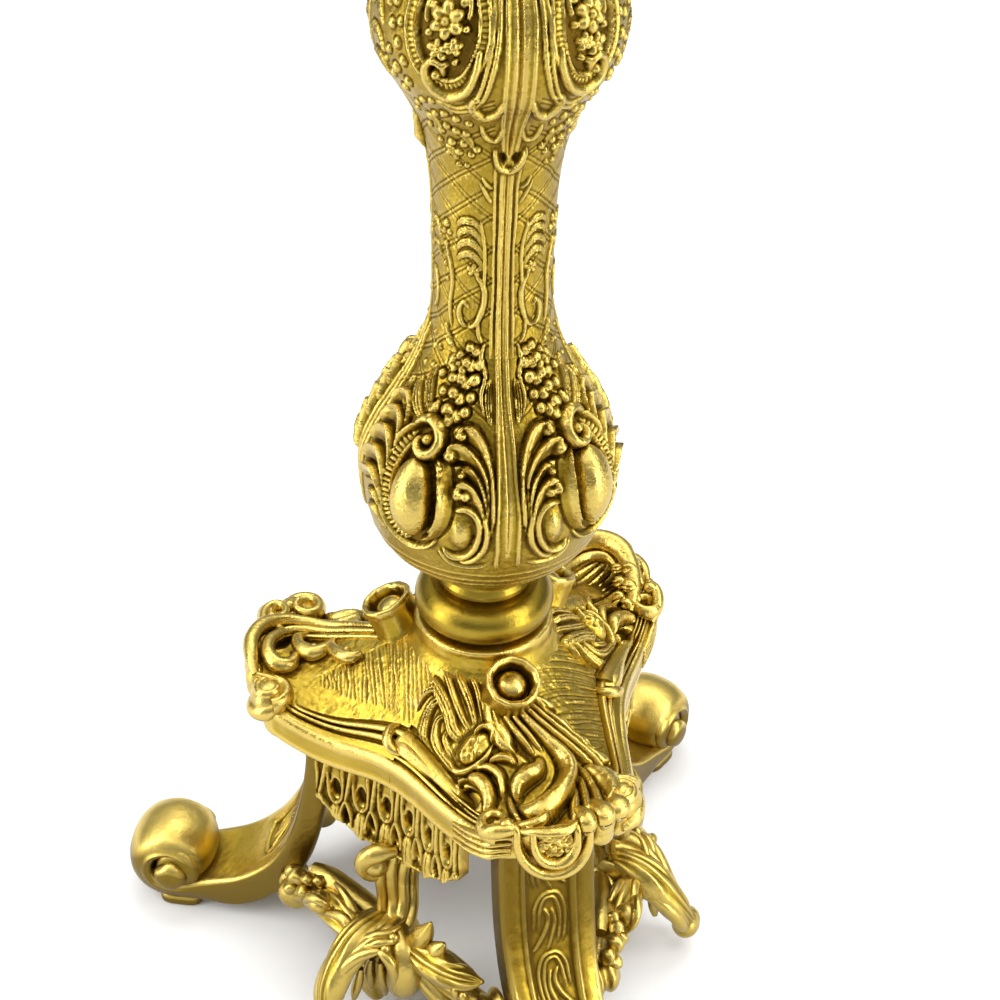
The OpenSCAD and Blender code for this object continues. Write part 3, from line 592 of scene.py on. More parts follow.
def stem_ornament():
    cv = Canvas(-4, 94, 228, 532, 0.38, k=lambda v: np.interp(np.asarray(v, float), _lz, _lr) * D2R)
    S = cv.stroke
    # ---- ground: soft lobes so that the body swells between the ribs
    # seam rib: two beads each side of the seam, from the foot of the bulb to the top
    zz = [262, 275, 290, 305, 320, 340, 360, 380, 400, 420, 430]
    S([(5.2, 262), (4.9, 275), (4.6, 290), (4.2, 305), (4.0, 320), (4.2, 340), (4.6, 360), (4.4, 380), (4.2, 400), (4.2, 420), (3.6, 432)], 0.75, 0.9, ends=(0.02, 0.02))
    S([(0, 268), (0, 300), (0, 345), (0, 430)], 0.55, 0.9, prof="soft", mode="cut", ends=(0.1, 0.05))
    S([(10.0, 346), (10.0, 360), (9.6, 380), (9.2, 400), (9.4, 420), (10, 432)], 0.6, 0.75, ends=(0.1, 0.05))
    S([(7.0, 350), (6.8, 380), (6.6, 425)], 0.8, 0.5, prof="soft", mode="cut", ends=(0.1, 0.1))
    # ring lines round the foot of the bulb
    for z, w, h in ((243.5, 0.9, 0.5), (248.0, 1.1, 0.6), (252.2, 0.9, 0.45), (256.5, 0.7, 0.3)):
        S([(-4, z), (45, z), (94, z)], w, h, ends=(0, 0), prof="round")
    # ---- acanthus spray beside the rib: four claws, one over the other, each with a raised outer edge
    def claw(pts, w, h, edge, tip):
        S(pts, w, h, prof="lip", mode="over", base=0.5, ends=(0.10, 0.10), cut=0.9)
        S(edge, 0.75, [1.6, h[len(h) // 2] + 0.9, h[-2] + 0.9], ends=(0.10, 0.06), cut=0.3)
        for (u, v, r, hh) in tip:
            cv.ell(u, v, r, r * 0.85, hh, cut=0.5)
    claw([(7.8, 280), (8.2, 293.7), (9.0, 302.4), (11.0, 308.8), (14.2, 313.8), (18.4, 317.2), (23, 318.6), (26.4, 316.6)], [0.8, 1.6, 2.2, 2.7, 3.1, 3.2, 3.0, 1.8], [1.2, 2.2, 3.0, 3.5, 3.8, 4.0, 4.0, 3.0],
         [(6.6, 284), (6.6, 297.4), (7.4, 306.1), (9.7, 313.4), (13.8, 318.3), (19.1, 320.9), (25.4, 319.7)], [(25.2, 317.4, 2.7, 4.9)])
    claw([(9.4, 284), (10.0, 297), (11.4, 303), (14.2, 307.2), (17.8, 310.2), (22.2, 311.8), (27, 311.6), (30.2, 309)], [0.9, 1.6, 2.3, 2.8, 3.0, 3.0, 2.9, 1.8], [1.4, 2.4, 3.1, 3.6, 4.0, 4.2, 4.2, 3.0],
         [(8.8, 290), (8.9, 297.4), (10.2, 303.6), (12.9, 308.2), (17.6, 312.2), (22.4, 314.3), (28.1, 314.0), (31.1, 311.6)], [(28.8, 310.2, 2.9, 5.2)])
    S([(28.5, 307.0), (24.4, 308.2), (19.8, 307.9), (16.0, 305.9), (13.4, 302)], [0.8, 1.3, 1.3, 1.1, 0.6], 2.2, prof="soft", mode="cut")
    claw([(10.0, 282), (10.8, 293.7), (12.4, 299), (14.9, 302.8), (18.4, 305.0), (22.2, 304.8)], [0.8, 1.5, 2.0, 2.2, 2.2, 1.4], [1.4, 2.6, 3.2, 3.6, 3.8, 3.0],
         [(9.5, 287), (10.2, 293.7), (11.6, 299.6), (14.0, 304.0), (18, 307.0), (22, 306.6)], [(21.6, 304.2, 1.9, 4.4)])
    S([(21.0, 301.6), (17.6, 301.0), (14.6, 298), (12.9, 293.5)], [0.7, 1.0, 1.0, 0.6], 1.8, prof="soft", mode="cut")
    claw([(11.2, 279), (12.2, 288), (13.6, 293.2), (16.6, 297.2), (20.4, 298.6), (23.6, 296.0)], [0.8, 1.7, 2.4, 3.0, 3.2, 2.2], [1.4, 2.8, 3.5, 4.2, 4.6, 4.0],
         [(10.6, 284), (11.2, 291), (13.0, 296.8), (16.3, 300.4), (20.4, 301.9), (23.6, 300.2)], [(20.4, 301.0, 2.3, 5.0), (22.8, 297.6, 2.8, 5.4), (19.0, 297.2, 2.4, 5.0)])
    # the big lobe scroll low down, with a grained field
    S([(11.4, 292), (9.8, 285), (10.0, 278), (12.4, 272.0), (16.5, 267.2), (22, 264.8)], [0.7, 1.3, 1.6, 1.6, 1.4, 0.8], [1.4, 2.6, 2.9, 2.7, 2.2, 1.2], cut=0.6, ends=(0.1, 0.12))
    S([(24.0, 291.2), (18.6, 292.6), (14.6, 290.4), (12.9, 286.1), (13.1, 280.7), (15.2, 274.4), (19.3, 269.6), (25.2, 268.3), (28.6, 271.4)], [1.0, 1.5, 1.6, 1.6, 1.6, 1.6, 1.5, 1.4, 0.9], [2.4, 3.4, 3.4, 3.2, 3.0, 2.8, 2.6, 2.4, 1.6], cut=0.7, ends=(0.06, 0.08))
    cv.ell(21.0, 280.5, 5.4, 9.2, 2.2, prof="soft", mode="add")
    S([(30.5, 269.8), (26.5, 264.2), (18.5, 262.6), (9.5, 264.2)], [0.7, 1.1, 1.1, 0.7], 1.3, ends=(0.15, 0.2))
    # ---- the oval cabochon in its bed
    cv.ell(44.5, 291, 11.4, 19.5, 2.4, prof="flat", mode="cut")
    cv.ell(44.6, 290.4, 8.5, 16.6, 7.0, rot=-3, cut=1.2, power=2.4)
    # broad S-scroll between the cabochon and the spray
    S([(35.4, 307.4), (31.0, 306), (28.9, 301), (28.0, 294.8), (28.4, 288), (30.2, 281.4), (33.8, 275.6), (39.0, 272.4)], [1.3, 2.4, 3.0, 3.0, 2.8, 2.4, 1.9, 1.2], [2.6, 4.0, 4.6, 4.6, 4.3, 3.8, 3.2, 2.2], prof="lip", mode="over", base=0.4, cut=1.0, ends=(0.08, 0.1))
    S([(35.6, 308.2), (32.4, 307.4), (30.9, 304), (30.4, 299.0), (29.9, 294.1), (30.6, 288.0), (32.3, 283.0), (35.2, 278.2)], 0.75, [3.4, 4.8, 5.4, 5.4, 5.2, 5.0, 4.4, 3.2], ends=(0.08, 0.1), cut=0.3)
    # combed border on its outer side, between two rims
    C2 = [(52.6, 314.4), (56.8, 309.0), (58.9, 302), (58.9, 294.5), (58.0, 286), (56.0, 278.4), (51.6, 272.8), (45.2, 270.6)]
    S(C2, [1.8, 2.5, 2.7, 2.7, 2.6, 2.4, 2.0, 1.2], [1.8, 2.6, 2.8, 2.8, 2.7, 2.5, 2.1, 1.3], mode="over", base=0.3, ribs=(2.1, 0.72, 0.0), ends=(0.05, 0.05))
    S([(52.6, 317.0), (58.4, 311.8), (61.8, 303.4), (62.0, 294.2), (60.9, 284.4), (58.6, 276.0), (53.0, 270.2), (44.0, 267.6), (36.0, 269.8), (31.4, 274.8)], [1.3, 1.3, 1.2, 1.1, 1.1, 1.1, 1.1, 1.2, 1.1, 0.8], [4.2, 4.2, 4.0, 3.8, 3.5, 3.2, 2.8, 2.6, 2.4, 1.6], cut=0.7, ends=(0.04, 0.06))
    S([(50.6, 311.6), (53.8, 306.4), (55.6, 300.6), (55.6, 294), (54.6, 286.4), (52.6, 279.6)], [0.6, 0.8, 0.8, 0.8, 0.8, 0.5], 2.4, ends=(0.08, 0.08))
    # its volute
    cv.ell(43.2, 313.6, 6.6, 6.0, 1.4, prof="flat", mode="cut")
    S([(53.4, 316.0), (49.4, 319.4), (44.0, 320.3), (38.4, 318.4), (35.5, 314.0), (37.8, 309.9), (43.4, 308.6), (47.6, 311.2), (46.6, 314.6)], [1.3, 2.0, 2.3, 2.4, 2.4, 2.3, 2.1, 1.8, 1.0], [4.0, 5.0, 5.6, 6.0, 6.2, 6.2, 6.0, 5.4, 4.2], cut=0.9, ends=(0.08, 0.10))
    cv.ell(42.4, 313.4, 2.6, 2.4, 5.6, cut=0.9)
    # fleshy lobes fanning out behind it to the next arris
    for i, (z, k_) in enumerate(((320, 0.9), (312.6, 1.0), (304.6, 1.1), (296.4, 1.1), (288.4, 1.0))):
        S([(61.5, z - 8.0), (64.4, z - 1.6), (69.6, z + 1.8), (76.0, z + 0.6), (80.6, z - 4.0)], [1.0, 2.4 * k_, 3.2 * k_, 3.1 * k_, 1.8], [1.6, 3.0, 3.8, 3.8, 2.6], prof="lip", mode="over", base=0.3, cut=0.8, ends=(0.1, 0.12))
        S([(62.0, z - 5.0), (64.6, z + 0.8), (69.8, z + 4.4), (76.4, z + 3.2), (81.0, z - 1.6)], 0.65, [1.8, 3.4, 4.2, 4.2, 3.0], ends=(0.1, 0.1))
    for i, z in enumerate((280, 272.5)):
        S([(62, z - 6), (65.6, z - 1), (70, z + 1.0), (76, z - 2)], [0.9, 1.9, 2.1, 1.0], [1.2, 2.2, 2.4, 1.4], prof="lip", cut=0.5, ends=(0.12, 0.14))
    # plain arris between two panels, with a leaf each side
    S([(90, 262), (90, 300), (90, 345), (90, 428)], 1.2, 1.0, prof="round", ends=(0.04, 0.04))
    S([(86.4, 264), (85.4, 290), (84.6, 320), (83, 345), (82, 352)], [0.7, 0.9, 0.9, 0.8, 0.5], 1.1, ends=(0.05, 0.1))
    # berries and flowers over the cabochon
    bb = [(27, 318.5, 2.5), (31.5, 323.5, 2.9), (37.5, 325, 2.8), (25.5, 325.5, 2.3), (30.5, 330, 2.6), (36.5, 331.5, 2.4), (23, 331, 2.2), (27.5, 336, 2.6), (33.5, 337.5, 2.5),
          (21.5, 337.5, 2.6), (39.5, 337, 2.2), (25.5, 342.5, 2.5), (31, 343.8, 2.2), (18.5, 343, 2.3), (44.5, 331, 2.1), (46.5, 325.5, 1.9), (43, 342, 1.9), (22, 348.5, 2.2), (28, 349.5, 2.0), (50, 337, 1.8), (47, 323.7, 2.5), (35, 321.2, 2.4)]
    cv.balls(bb, h=1.15, cut=1.0)
    cv.flower(36.5, 343, 4.6, 5, h=2.2)
    S([(48, 322), (54, 327), (58, 333), (57, 339)], [0.9, 1.8, 1.9, 0.9], 1.8, prof="tri", cut=0.4)
    S([(50, 319), (58, 321), (65, 326), (68, 332)], [0.9, 1.9, 2.0, 0.9], 1.8, prof="tri", cut=0.4)
    S([(60, 318), (68, 319), (74, 324), (76, 330)], [0.9, 1.7, 1.8, 0.9], 1.5, prof="tri", cut=0.4)
    S([(44, 348), (50, 351), (55, 357)], [0.8, 1.4, 0.8], 1.3, prof="tri", cut=0.3)
    S([(12, 325), (15.5, 332), (13.5, 339), (17, 346), (14.5, 352)], [0.6, 1.0, 1.0, 1.0, 0.6], 1.3, cut=0.4)
    S([(8.2, 322), (10.5, 330), (10, 338)], [0.8, 1.5, 0.9], 1.5, prof="tri", cut=0.3)
    for s0, z0, r in ((62, 338, 1.2), (66, 345, 1.1), (71, 337, 1.1), (58, 346, 1.1), (70, 350, 1.0)):
        cv.ell(s0, z0, r, r, 0.8, cut=0.2)
    # ---- neck: engraved lattice of double lines
    for z in np.arange(338, 462, 13.6):
        for off in (0, 2.1):
            S([(11, z + off), (88, z + off - 28)], 0.62, 0.42, prof="soft", mode="cut", ends=(0, 0))
            S([(11, z + off - 28), (88, z + off)], 0.60, 0.36, prof="soft", mode="cut", ends=(0, 0))
    # thin scrolls and leaf sprays on the neck
    S([(33, 357.5), (38.5, 359.5), (41, 364.5), (36, 368.5), (31, 366)][::-1], [0.6, 0.9, 1.1, 1.1, 0.7], 1.6, base=0.2, cut=0.4)
    S([(33, 357.5), (26, 359), (20.5, 364), (17.5, 371), (19.5, 377), (26, 381.5)], [0.6, 1.0, 1.2, 1.2, 1.1, 0.8], 1.7, cut=0.4, ends=(0.1, 0.12))
    cv.flower(27.5, 383.5, 2.7, 5, h=1.5)
    S([(17, 352), (21.5, 356), (22, 362)], [0.6, 0.9, 0.6], 1.2, cut=0.3)
    for z, l in ((386, 1.0), (391, 1.0), (396, 1.05), (401, 0.8)):
        S([(19.5, z - 3), (24, z + 2.4 * l), (31.5, z + 4.6 * l), (40, z + 3.2 * l), (44, z)], [0.6, 1.2, 1.6, 1.3, 0.7], [0.9, 1.5, 1.8, 1.5, 0.9], prof="tri", cut=0.4)
    S([(19, 372), (18, 384), (18.6, 396), (21, 405)], [0.6, 0.8, 0.8, 0.5], 1.1, cut=0.3)
    S([(48, 356), (52, 366), (50, 376), (54, 386), (60, 392)], [0.6, 0.9, 1.0, 0.9, 0.6], 1.4, cut=0.3)
    for (u, z, r) in ((58, 400, 1.8), (54, 396.5, 1.4), (62, 396, 1.4), (59, 391, 1.5), (56, 386.5, 1.2), (60, 382, 1.1), (57, 376, 1.0)):
        cv.ell(u, z, r, r, r * 0.95, cut=0.4)
    S([(66, 392), (72, 398), (79, 399), (84, 395)], [0.6, 1.2, 1.3, 0.7], 1.4, prof="tri", cut=0.3)
    S([(66, 384), (72, 389), (79, 389), (84, 385)], [0.6, 1.2, 1.2, 0.7], 1.3, prof="tri", cut=0.3)
    S([(80, 360), (74, 363), (72, 370), (76, 376), (82, 378)], [0.6, 0.8, 0.9, 0.8, 0.6], 1.2, cut=0.3)
    # small comma leaves high on the neck
    S([(12, 413), (17.5, 417.5), (22, 422)], [0.5, 0.9, 0.5], 1.1, cut=0.3)
    S([(11, 419.5), (16.5, 421), (20, 424.5)], [0.5, 0.8, 0.5], 1.0, cut=0.3)
    # ---- underside of the upper bulb: berry swags
    bb = [(24, 437, 2.0), (29, 434, 1.8), (33.5, 438.5, 2.2), (38.5, 434, 1.9), (43, 438, 2.1), (47, 433, 1.7), (36, 444, 2.2), (29.5, 443.5, 1.9), (42, 445.5, 2.1), (48.5, 442.5, 2.0), (53, 437.5, 1.6),
          (33, 428.5, 1.5), (40, 428, 1.6), (26, 449, 1.8), (33, 450.5, 2.1), (40, 452, 2.2), (47, 450.5, 2.1), (53.5, 447.5, 1.9), (58.5, 443, 1.6), (51, 457, 2.0), (58, 453.5, 1.9), (45, 458, 1.9), (64, 449, 1.6)]
    cv.balls([(u_, v_, r_ * 0.78) for u_, v_, r_ in bb], h=0.95, cut=0.5)
    for (u_, v_) in ((30, 440), (44, 433), (51, 446), (37, 456)):
        S([(u_ - 3, v_ - 3), (u_, v_ + 1.5), (u_ + 5, v_ + 2.5)], [0.6, 1.5, 0.6], 1.1, prof="tri", cut=0.3)
    # leaf curls beside the seam below the oval
    S([(7, 462), (10.5, 456), (17, 453.8), (22, 457.5), (20.5, 462.5), (15.5, 462)], [0.8, 1.4, 1.8, 1.7, 1.3, 0.8], 2.4, cut=0.6)
    S([(6, 448), (10, 442), (16.5, 443), (19, 449)], [0.7, 1.1, 1.1, 0.7], 1.4, cut=0.4)
    S([(4.6, 436), (5.8, 448), (6.2, 462), (6.0, 480), (6.4, 500), (6.6, 520)], 0.75, 1.0, ends=(0.03, 0.03))
    S([(0, 434), (0, 470), (0, 524)], [0.8, 1.3, 0.8], 1.6, prof="soft", mode="cut", ends=(0.1, 0.1))
    # oval beaded cartouche with a flower sprig in it
    cu, cz = 33.5, 489
    k = float(cv.kf(cz))
    ang = np.linspace(0, 2 * PI, 29)
    def oval(a, b):
        return [(cu + a * math.cos(t) / k, cz + b * math.sin(t)) for t in ang]
    cv.ell(cu, cz, 15.2, 23.5, 1.2, prof="flat", mode="cut")
    S(oval(15.6, 24.2), 0.85, 1.8, ends=(0, 0), cut=0.4)
    S(oval(13.5, 22.0), 1.5, 1.1, ends=(0, 0), mode="over", base=0.0, ribs=(1.9, 0.72, 0.0))
    S(oval(11.6, 19.8), 0.7, 1.6, ends=(0, 0), cut=0.3)
    # plain double lines that follow it down the side of the seam
    for o in (0.0, 2.1):
        S([(15.5 - o / k, 524), (13.0 - o / k, 508), (12.4 - o / k, 490), (14.6 - o / k, 474), (20.5 - o / k, 462.0 - 0.4 * o), (29.5, 457.4 - o), (39.5, 459.5 - o)], [0.7, 0.9, 1.0, 1.0, 0.9, 0.8, 0.5], [1.0, 1.3, 1.4, 1.4, 1.3, 1.1, 0.8], ends=(0.03, 0.08), cut=0.3)
    # small dark-throated leaf on the seam, and a curl on the arris
    cv.ell(5.6, 433.5, 2.4, 3.4, 2.2, prof="soft", mode="cut")
    S([(11.0, 437.5), (8.6, 431.5), (4.6, 428.6), (0, 427.6)], [0.8, 1.4, 1.5, 1.1], 2.2, ends=(0.1, 0.02), cut=0.3)
    cv.ell(90, 431.5, 2.6, 4.2, 3.2, cut=0.4)
    S([(82, 441), (86, 437), (88.5, 431), (89.5, 425.5)], [0.8, 1.3, 1.3, 0.7], [1.2, 2.2, 2.6, 1.6], ends=(0.1, 0.1), cut=0.3)
    cv.ell(cu, cz, 10.2, 18.2, 1.6, prof="soft", mode="add")
    cv.flower(cu, cz + 2, 6.2, 6, h=3.0, base=0.6)
    cv.flower(cu + 3, cz - 8.5, 4.2, 5, h=2.4, base=0.3)
    cv.flower(cu - 4, cz - 6.5, 3.4, 5, h=2.2, base=0.3)
    cv.balls([(cu - 7, cz + 8, 1.6), (cu - 3, cz + 11.5, 1.8), (cu + 3.5, cz + 11.5, 1.7), (cu + 7.5, cz + 6, 1.5), (cu, cz - 14, 1.5), (cu - 5, cz - 12, 1.3), (cu + 8, cz - 3, 1.5), (cu - 9, cz, 1.4)], h=1.2, base=0.3)
    S([(cu - 9.5, cz + 3), (cu - 10, cz + 9), (cu - 6, cz + 14)], 0.9, 1.4)
    S([(cu + 9.5, cz + 0), (cu + 10, cz + 7), (cu + 6, cz + 14)], 0.9, 1.4)
    # volute under the oval, on the side away from the seam
    S([(17.5, 483), (19.5, 473), (25, 465.5), (33, 462.8), (40.5, 465.5), (42.8, 471.5), (39.5, 475.8), (34.5, 474.5), (34.2, 470.2)], [1.2, 1.6, 1.9, 2.0, 1.9, 1.8, 1.6, 1.3, 0.9], [2.0, 3.0, 3.4, 3.5, 3.5, 3.4, 3.2, 2.8, 2.2], cut=0.8, ends=(0.06, 0.08))
    cv.ell(37.6, 471.0, 1.9, 1.9, 3.4, cut=0.7)
    # berries and leaves between the ovals
    bb = [(56, 464, 1.9), (61, 460, 1.7), (62, 468, 2.1), (56, 472, 2.0), (66.5, 464, 1.6), (59, 478, 2.1), (66, 474, 1.8), (63, 484, 2.0), (57.5, 486, 1.7), (70, 469, 1.4), (62, 492, 2.0), (57, 496, 1.6), (67, 490, 1.6), (61, 501, 1.8)]
    cv.balls(bb, h=0.95, cut=0.6)
    for z in (466, 476, 486, 496, 506):
        S([(71, z - 5), (74.5, z + 1), (80, z + 2.5), (85, z - 1.5)], [0.8, 1.6, 1.7, 0.9], 1.8, prof="tri", cut=0.4)
    S([(90, 434), (90, 470), (90, 522)], 1.1, 1.0, ends=(0.04, 0.04))
    for z in (509, 515):
        S([(-4, z), (45, z - 3 if z < 512 else z), (94, z)], 0.8, 0.7, ends=(0, 0))
    for z in (519.5, 523.5):
        S([(-4, z), (45, z), (94, z)], 0.9, 0.8, ends=(0, 0))
    # gadroon leaves climbing the upper shoulder
    for s0 in np.arange(10, 88, 9.5):
        S([(s0, 500), (s0 + 1, 508), (s0, 514)], [0.8, 1.9, 0.8], 1.3, prof="tri", cut=0.4)
    low_ = 1 - 0.38 * smooth(cv.v, 346, 356) * smooth(432 - cv.v, 0, 8) - 0.2 * smooth(cv.v, 434, 442)
    cv.H = np.where(cv.H > 0, cv.H * low_[:, None], cv.H)
    fade = np.ones(cv.nv)
    fade *= smooth(cv.v, 231.5, 238) * smooth(530 - cv.v, 1.5, 5)
    cv.H *= fade[:, None]
    cv.grain(0.07, 1.5, 21); cv.grain(0.05, 0.7, 22)
    return cv


def stem_half(cv, name, az0, node, z0, z1, ncol, nrow, seed):
    C = curve([(r, z) for r, z in LOW], 2400)
    T = np.gradient(C, axis=0); T /= np.linalg.norm(T, axis=1)[:, None]
    m = (C[:, 1] >= z0 - 1e-6) & (C[:, 1] <= z1 + 1e-6)
    L = np.concatenate([[0], np.cumsum(np.linalg.norm(np.diff(C[m], axis=0), axis=1))])
    a = np.linspace(0, L[-1], nrow)
    r, z, nr, nz = (np.interp(a, L, q[m]) for q in (C[:, 0], C[:, 1], T[:, 1], -T[:, 0]))
    f = np.linspace(0, 180, ncol)
    s = np.where(f <= 90, f, 180 - f)
    S2, Z2 = np.meshgrid(s, z)
    # a hand-cut look: each quarter is nudged a little by its own slow noise
    wob = soft_noise(S2.shape, ncol / 9, seed, 0.55); wob2 = soft_noise(S2.shape, ncol / 9, seed + 1, 0.55)
    edge = np.minimum(1, np.minimum(S2, 90 - S2) / 8)
    H = cv.at(S2 + wob * edge / (np.maximum(r, 20)[:, None] * D2R), np.clip(Z2 + wob2 * smooth(z - 232, 0, 6)[:, None] * smooth(528 - z, 0, 6)[:, None], 228, 532))
    H = H * (1 + soft_noise(S2.shape, ncol / 5, seed + 2, 0.10))
    RR = r[:, None] + nr[:, None] * H
    ZZ = z[:, None] + nz[:, None] * H
    ph = (az0 + f)[None, :] * D2R
    G = np.stack([RR * np.sin(ph), -RR * np.cos(ph), ZZ], -1)
    # inside wall, coarse
    fi = np.linspace(180, 0, 13)
    ri = np.maximum(r - 5.0, 12.0)
    pi_ = (az0 + fi)[None, :] * D2R
    GI = np.stack([ri[:, None] * np.sin(pi_), -ri[:, None] * np.cos(pi_), np.broadcast_to(z[:, None], (nrow, 13))], -1)
    return G, GI


def add_stem(cv):
    for tag, az0 in (("a", STEM_TURN), ("b", STEM_TURN + 180)):
        node = "lower_stem_half_" + tag
        for part, z0, z1, nc, nr in (("bulb", 230, 346, 326, 272), ("neck", 346, 530, 262, 350)):
            G, GI = stem_half(cv, node, az0, node, z0, z1, nc, nr, 100 + ord(tag) + z0)
            P = Piece()
            P.grid(G)
            # back: the split faces and the inner wall as one sparse sheet
            rows = np.unique(np.linspace(0, len(G) - 1, 40).astype(int))
            back = np.concatenate([G[:, -1:], GI, G[:, :1]], 1)
            P.grid(back, cav=False, wu=np.full(back.shape[1], 0.1))
            for k in (0, -1):  # rings that close the two ends
                ax = G[k] * [1, 1, 0]; rr = np.maximum(np.linalg.norm(ax, axis=1, keepdims=True) - 5.0, 12.0)
                inner = ax / np.linalg.norm(ax, axis=1, keepdims=True) * rr + G[k] * [0, 0, 1]
                P.grid(np.stack([G[k], inner]), cav=False, flip=(k == 0))
            P.build("lower_stem_%s_%s" % (tag, part), M_STEM, nodes=(node,))


stem_cv = stem_ornament()
add_stem(stem_cv)

# ---------------------------------------------------------------- canopy
def from_corner(a):
    m = np.mod(a, 120.0)
    return np.minimum(m, 120.0 - m)


def rho(a):
    f = from_corner(a)
    ch = 75.4 / np.cos((60 - f) * D2R)
    sag = (75.4 - 66) * (1 - ((60 - f) / 39.7) ** 2)
    return np.where(f <= 20.3, 109 - 11 * (f / 20.3) ** 2, ch - sag)


def skin(r, a):
    f = from_corner(a)
    r = np.maximum(r, 30)
    reach = np.where(r < 66, r - 33, r - 33 - (r - 66) ** 2 / 48)
    return 185.5 - (0.5 + 0.6 * np.sin(1.5 * f * D2R) ** 2) * reach


def skin_xy(x, y):
    return float(skin(math.hypot(x, y), math.degrees(math.atan2(x, y))))


def turn(G, rot):
    """points given in a corner's own frame (x, radial y outwards, z) to the part's frame"""
    G = np.asarray(G, float)
    a = rot * D2R
    c, s = math.cos(a), math.sin(a)
    X, Y, Z = G[..., 0], -G[..., 1], G[..., 2]
    return np.stack([c * X - s * Y, s * X + c * Y, Z], -1)


def sweep(pc, pts, w, h=None, up=(0, 0, 1), n=None, m=28, mod=None, rot=None, step=0.6, caps=("tip", "tip"), power=1.0, tw=0.0):
    """a closed tube along pts with half width w and half height h at each point; mod(t, phi) swells or flutes it"""
    P = np.asarray(pts, float)
    k = len(P)
    W = np.full(k, float(w)) if np.isscalar(w) else np.interp(np.linspace(0, 1, k), np.linspace(0, 1, len(w)), w)
    h = w if h is None else h
    Hh = np.full(k, float(h)) if np.isscalar(h) else np.interp(np.linspace(0, 1, k), np.linspace(0, 1, len(h)), h)
    Q = np.column_stack([P, W, Hh])
    n = n or max(10, int(length(P, 3) * 1.08 / step))
    C = curve(Q, n, dims=3)
    T = np.gradient(C[:, :3], axis=0)
    T /= np.maximum(np.linalg.norm(T, axis=1), 1e-9)[:, None]
    U0 = np.asarray(up, float)
    U0 = np.broadcast_to(U0, T.shape) if U0.ndim == 1 else np.column_stack([np.interp(np.linspace(0, 1, n), np.linspace(0, 1, len(U0)), U0[:, j]) for j in range(3)])
    S = np.cross(T, U0)
    S /= np.maximum(np.linalg.norm(S, axis=1), 1e-9)[:, None]
    U = np.cross(S, T)
    if tw:
        a = np.linspace(0, tw * D2R, n)[:, None]
        S, U = S * np.cos(a) + U * np.sin(a), -S * np.sin(a) + U * np.cos(a)
    ph = np.linspace(0, 2 * PI, m, endpoint=False)
    t = np.linspace(0, 1, n)
    f = np.ones((n, m)) if mod is None else mod(t[:, None], ph[None, :])
    cw, sh = np.cos(ph), np.sin(ph)
    if power != 1.0:
        cw = np.sign(cw) * np.abs(cw) ** power; sh = np.sign(sh) * np.abs(sh) ** power
    G = (C[:, None, :3] + S[:, None, :] * (C[:, None, 3:4] * cw[None, :, None] * f[..., None])
         + U[:, None, :] * (C[:, None, 4:5] * sh[None, :, None] * f[..., None]))
    if rot is not None:
        G = turn(G, rot)
        flip = False
    else:
        flip = True
    pc.grid(G, cu=True, flip=flip, caps=caps)
    return G


def lathe(pc, prof, n=128, M=None, closed=False, mod=None, dense=None, caps=(None, None)):
    """prof (r, z) from the bottom up on the outside; M maps points to the part's frame"""
    L = np.asarray(prof, float)
    if dense:
        L = curve(L, dense)
    ph = np.linspace(0, 2 * PI, n, endpoint=False)
    r = L[:, 0][:, None] * np.ones(n)[None, :]
    z = L[:, 1][:, None] * np.ones(n)[None, :]
    if mod is not None:
        dr, dz = mod(L[:, 1][:, None], ph[None, :])
        r = r + dr; z = z + dz
    G = np.stack([r * np.sin(ph), -r * np.cos(ph), z], -1)
    if M is not None:
        G = M(G)
    pc.grid(G, cu=True, cv=closed, caps=caps)
    return G


CUP_AZ, CUP_R, TILT = -6.0, 39.0, math.degrees(math.atan(0.5))


def outward(G):
    """True when the faces of a grid closed in its columns must be turned to look outwards"""
    c = G.reshape(-1, 3).mean(0)
    A = G - c
    B = np.roll(A, -1, 1)
    a, b, c3, d = A[:-1], B[:-1], B[1:], A[1:]
    v = (a * np.cross(b, c3)).sum() + (a * np.cross(c3, d)).sum()
    return bool(v < 0)


def along(pts, n, extra=()):
    """smooth path through pts (k, 3) with further columns, n rows; returns points, tangents and the extras"""
    P = np.asarray(pts, float)
    k = len(P)
    E = [np.full(k, float(e)) if np.isscalar(e) else np.interp(np.linspace(0, 1, k), np.linspace(0, 1, len(e)), e) for e in extra]
    C = curve(np.column_stack([P] + E), n, dims=3)
    T = np.gradient(C[:, :3], axis=0)
    T /= np.maximum(np.linalg.norm(T, axis=1), 1e-9)[:, None]
    return C[:, :3], T, [C[:, 3 + i] for i in range(len(E))]


def frame_of(T, up):
    U0 = np.asarray(up, float)
    if U0.ndim == 2:
        U0 = np.column_stack([np.interp(np.linspace(0, 1, len(T)), np.linspace(0, 1, len(U0)), U0[:, j]) for j in range(3)])
    else:
        U0 = np.broadcast_to(U0, T.shape)
    S = np.cross(T, U0)
    S /= np.maximum(np.linalg.norm(S, axis=1), 1e-9)[:, None]
    return S, np.cross(S, T)


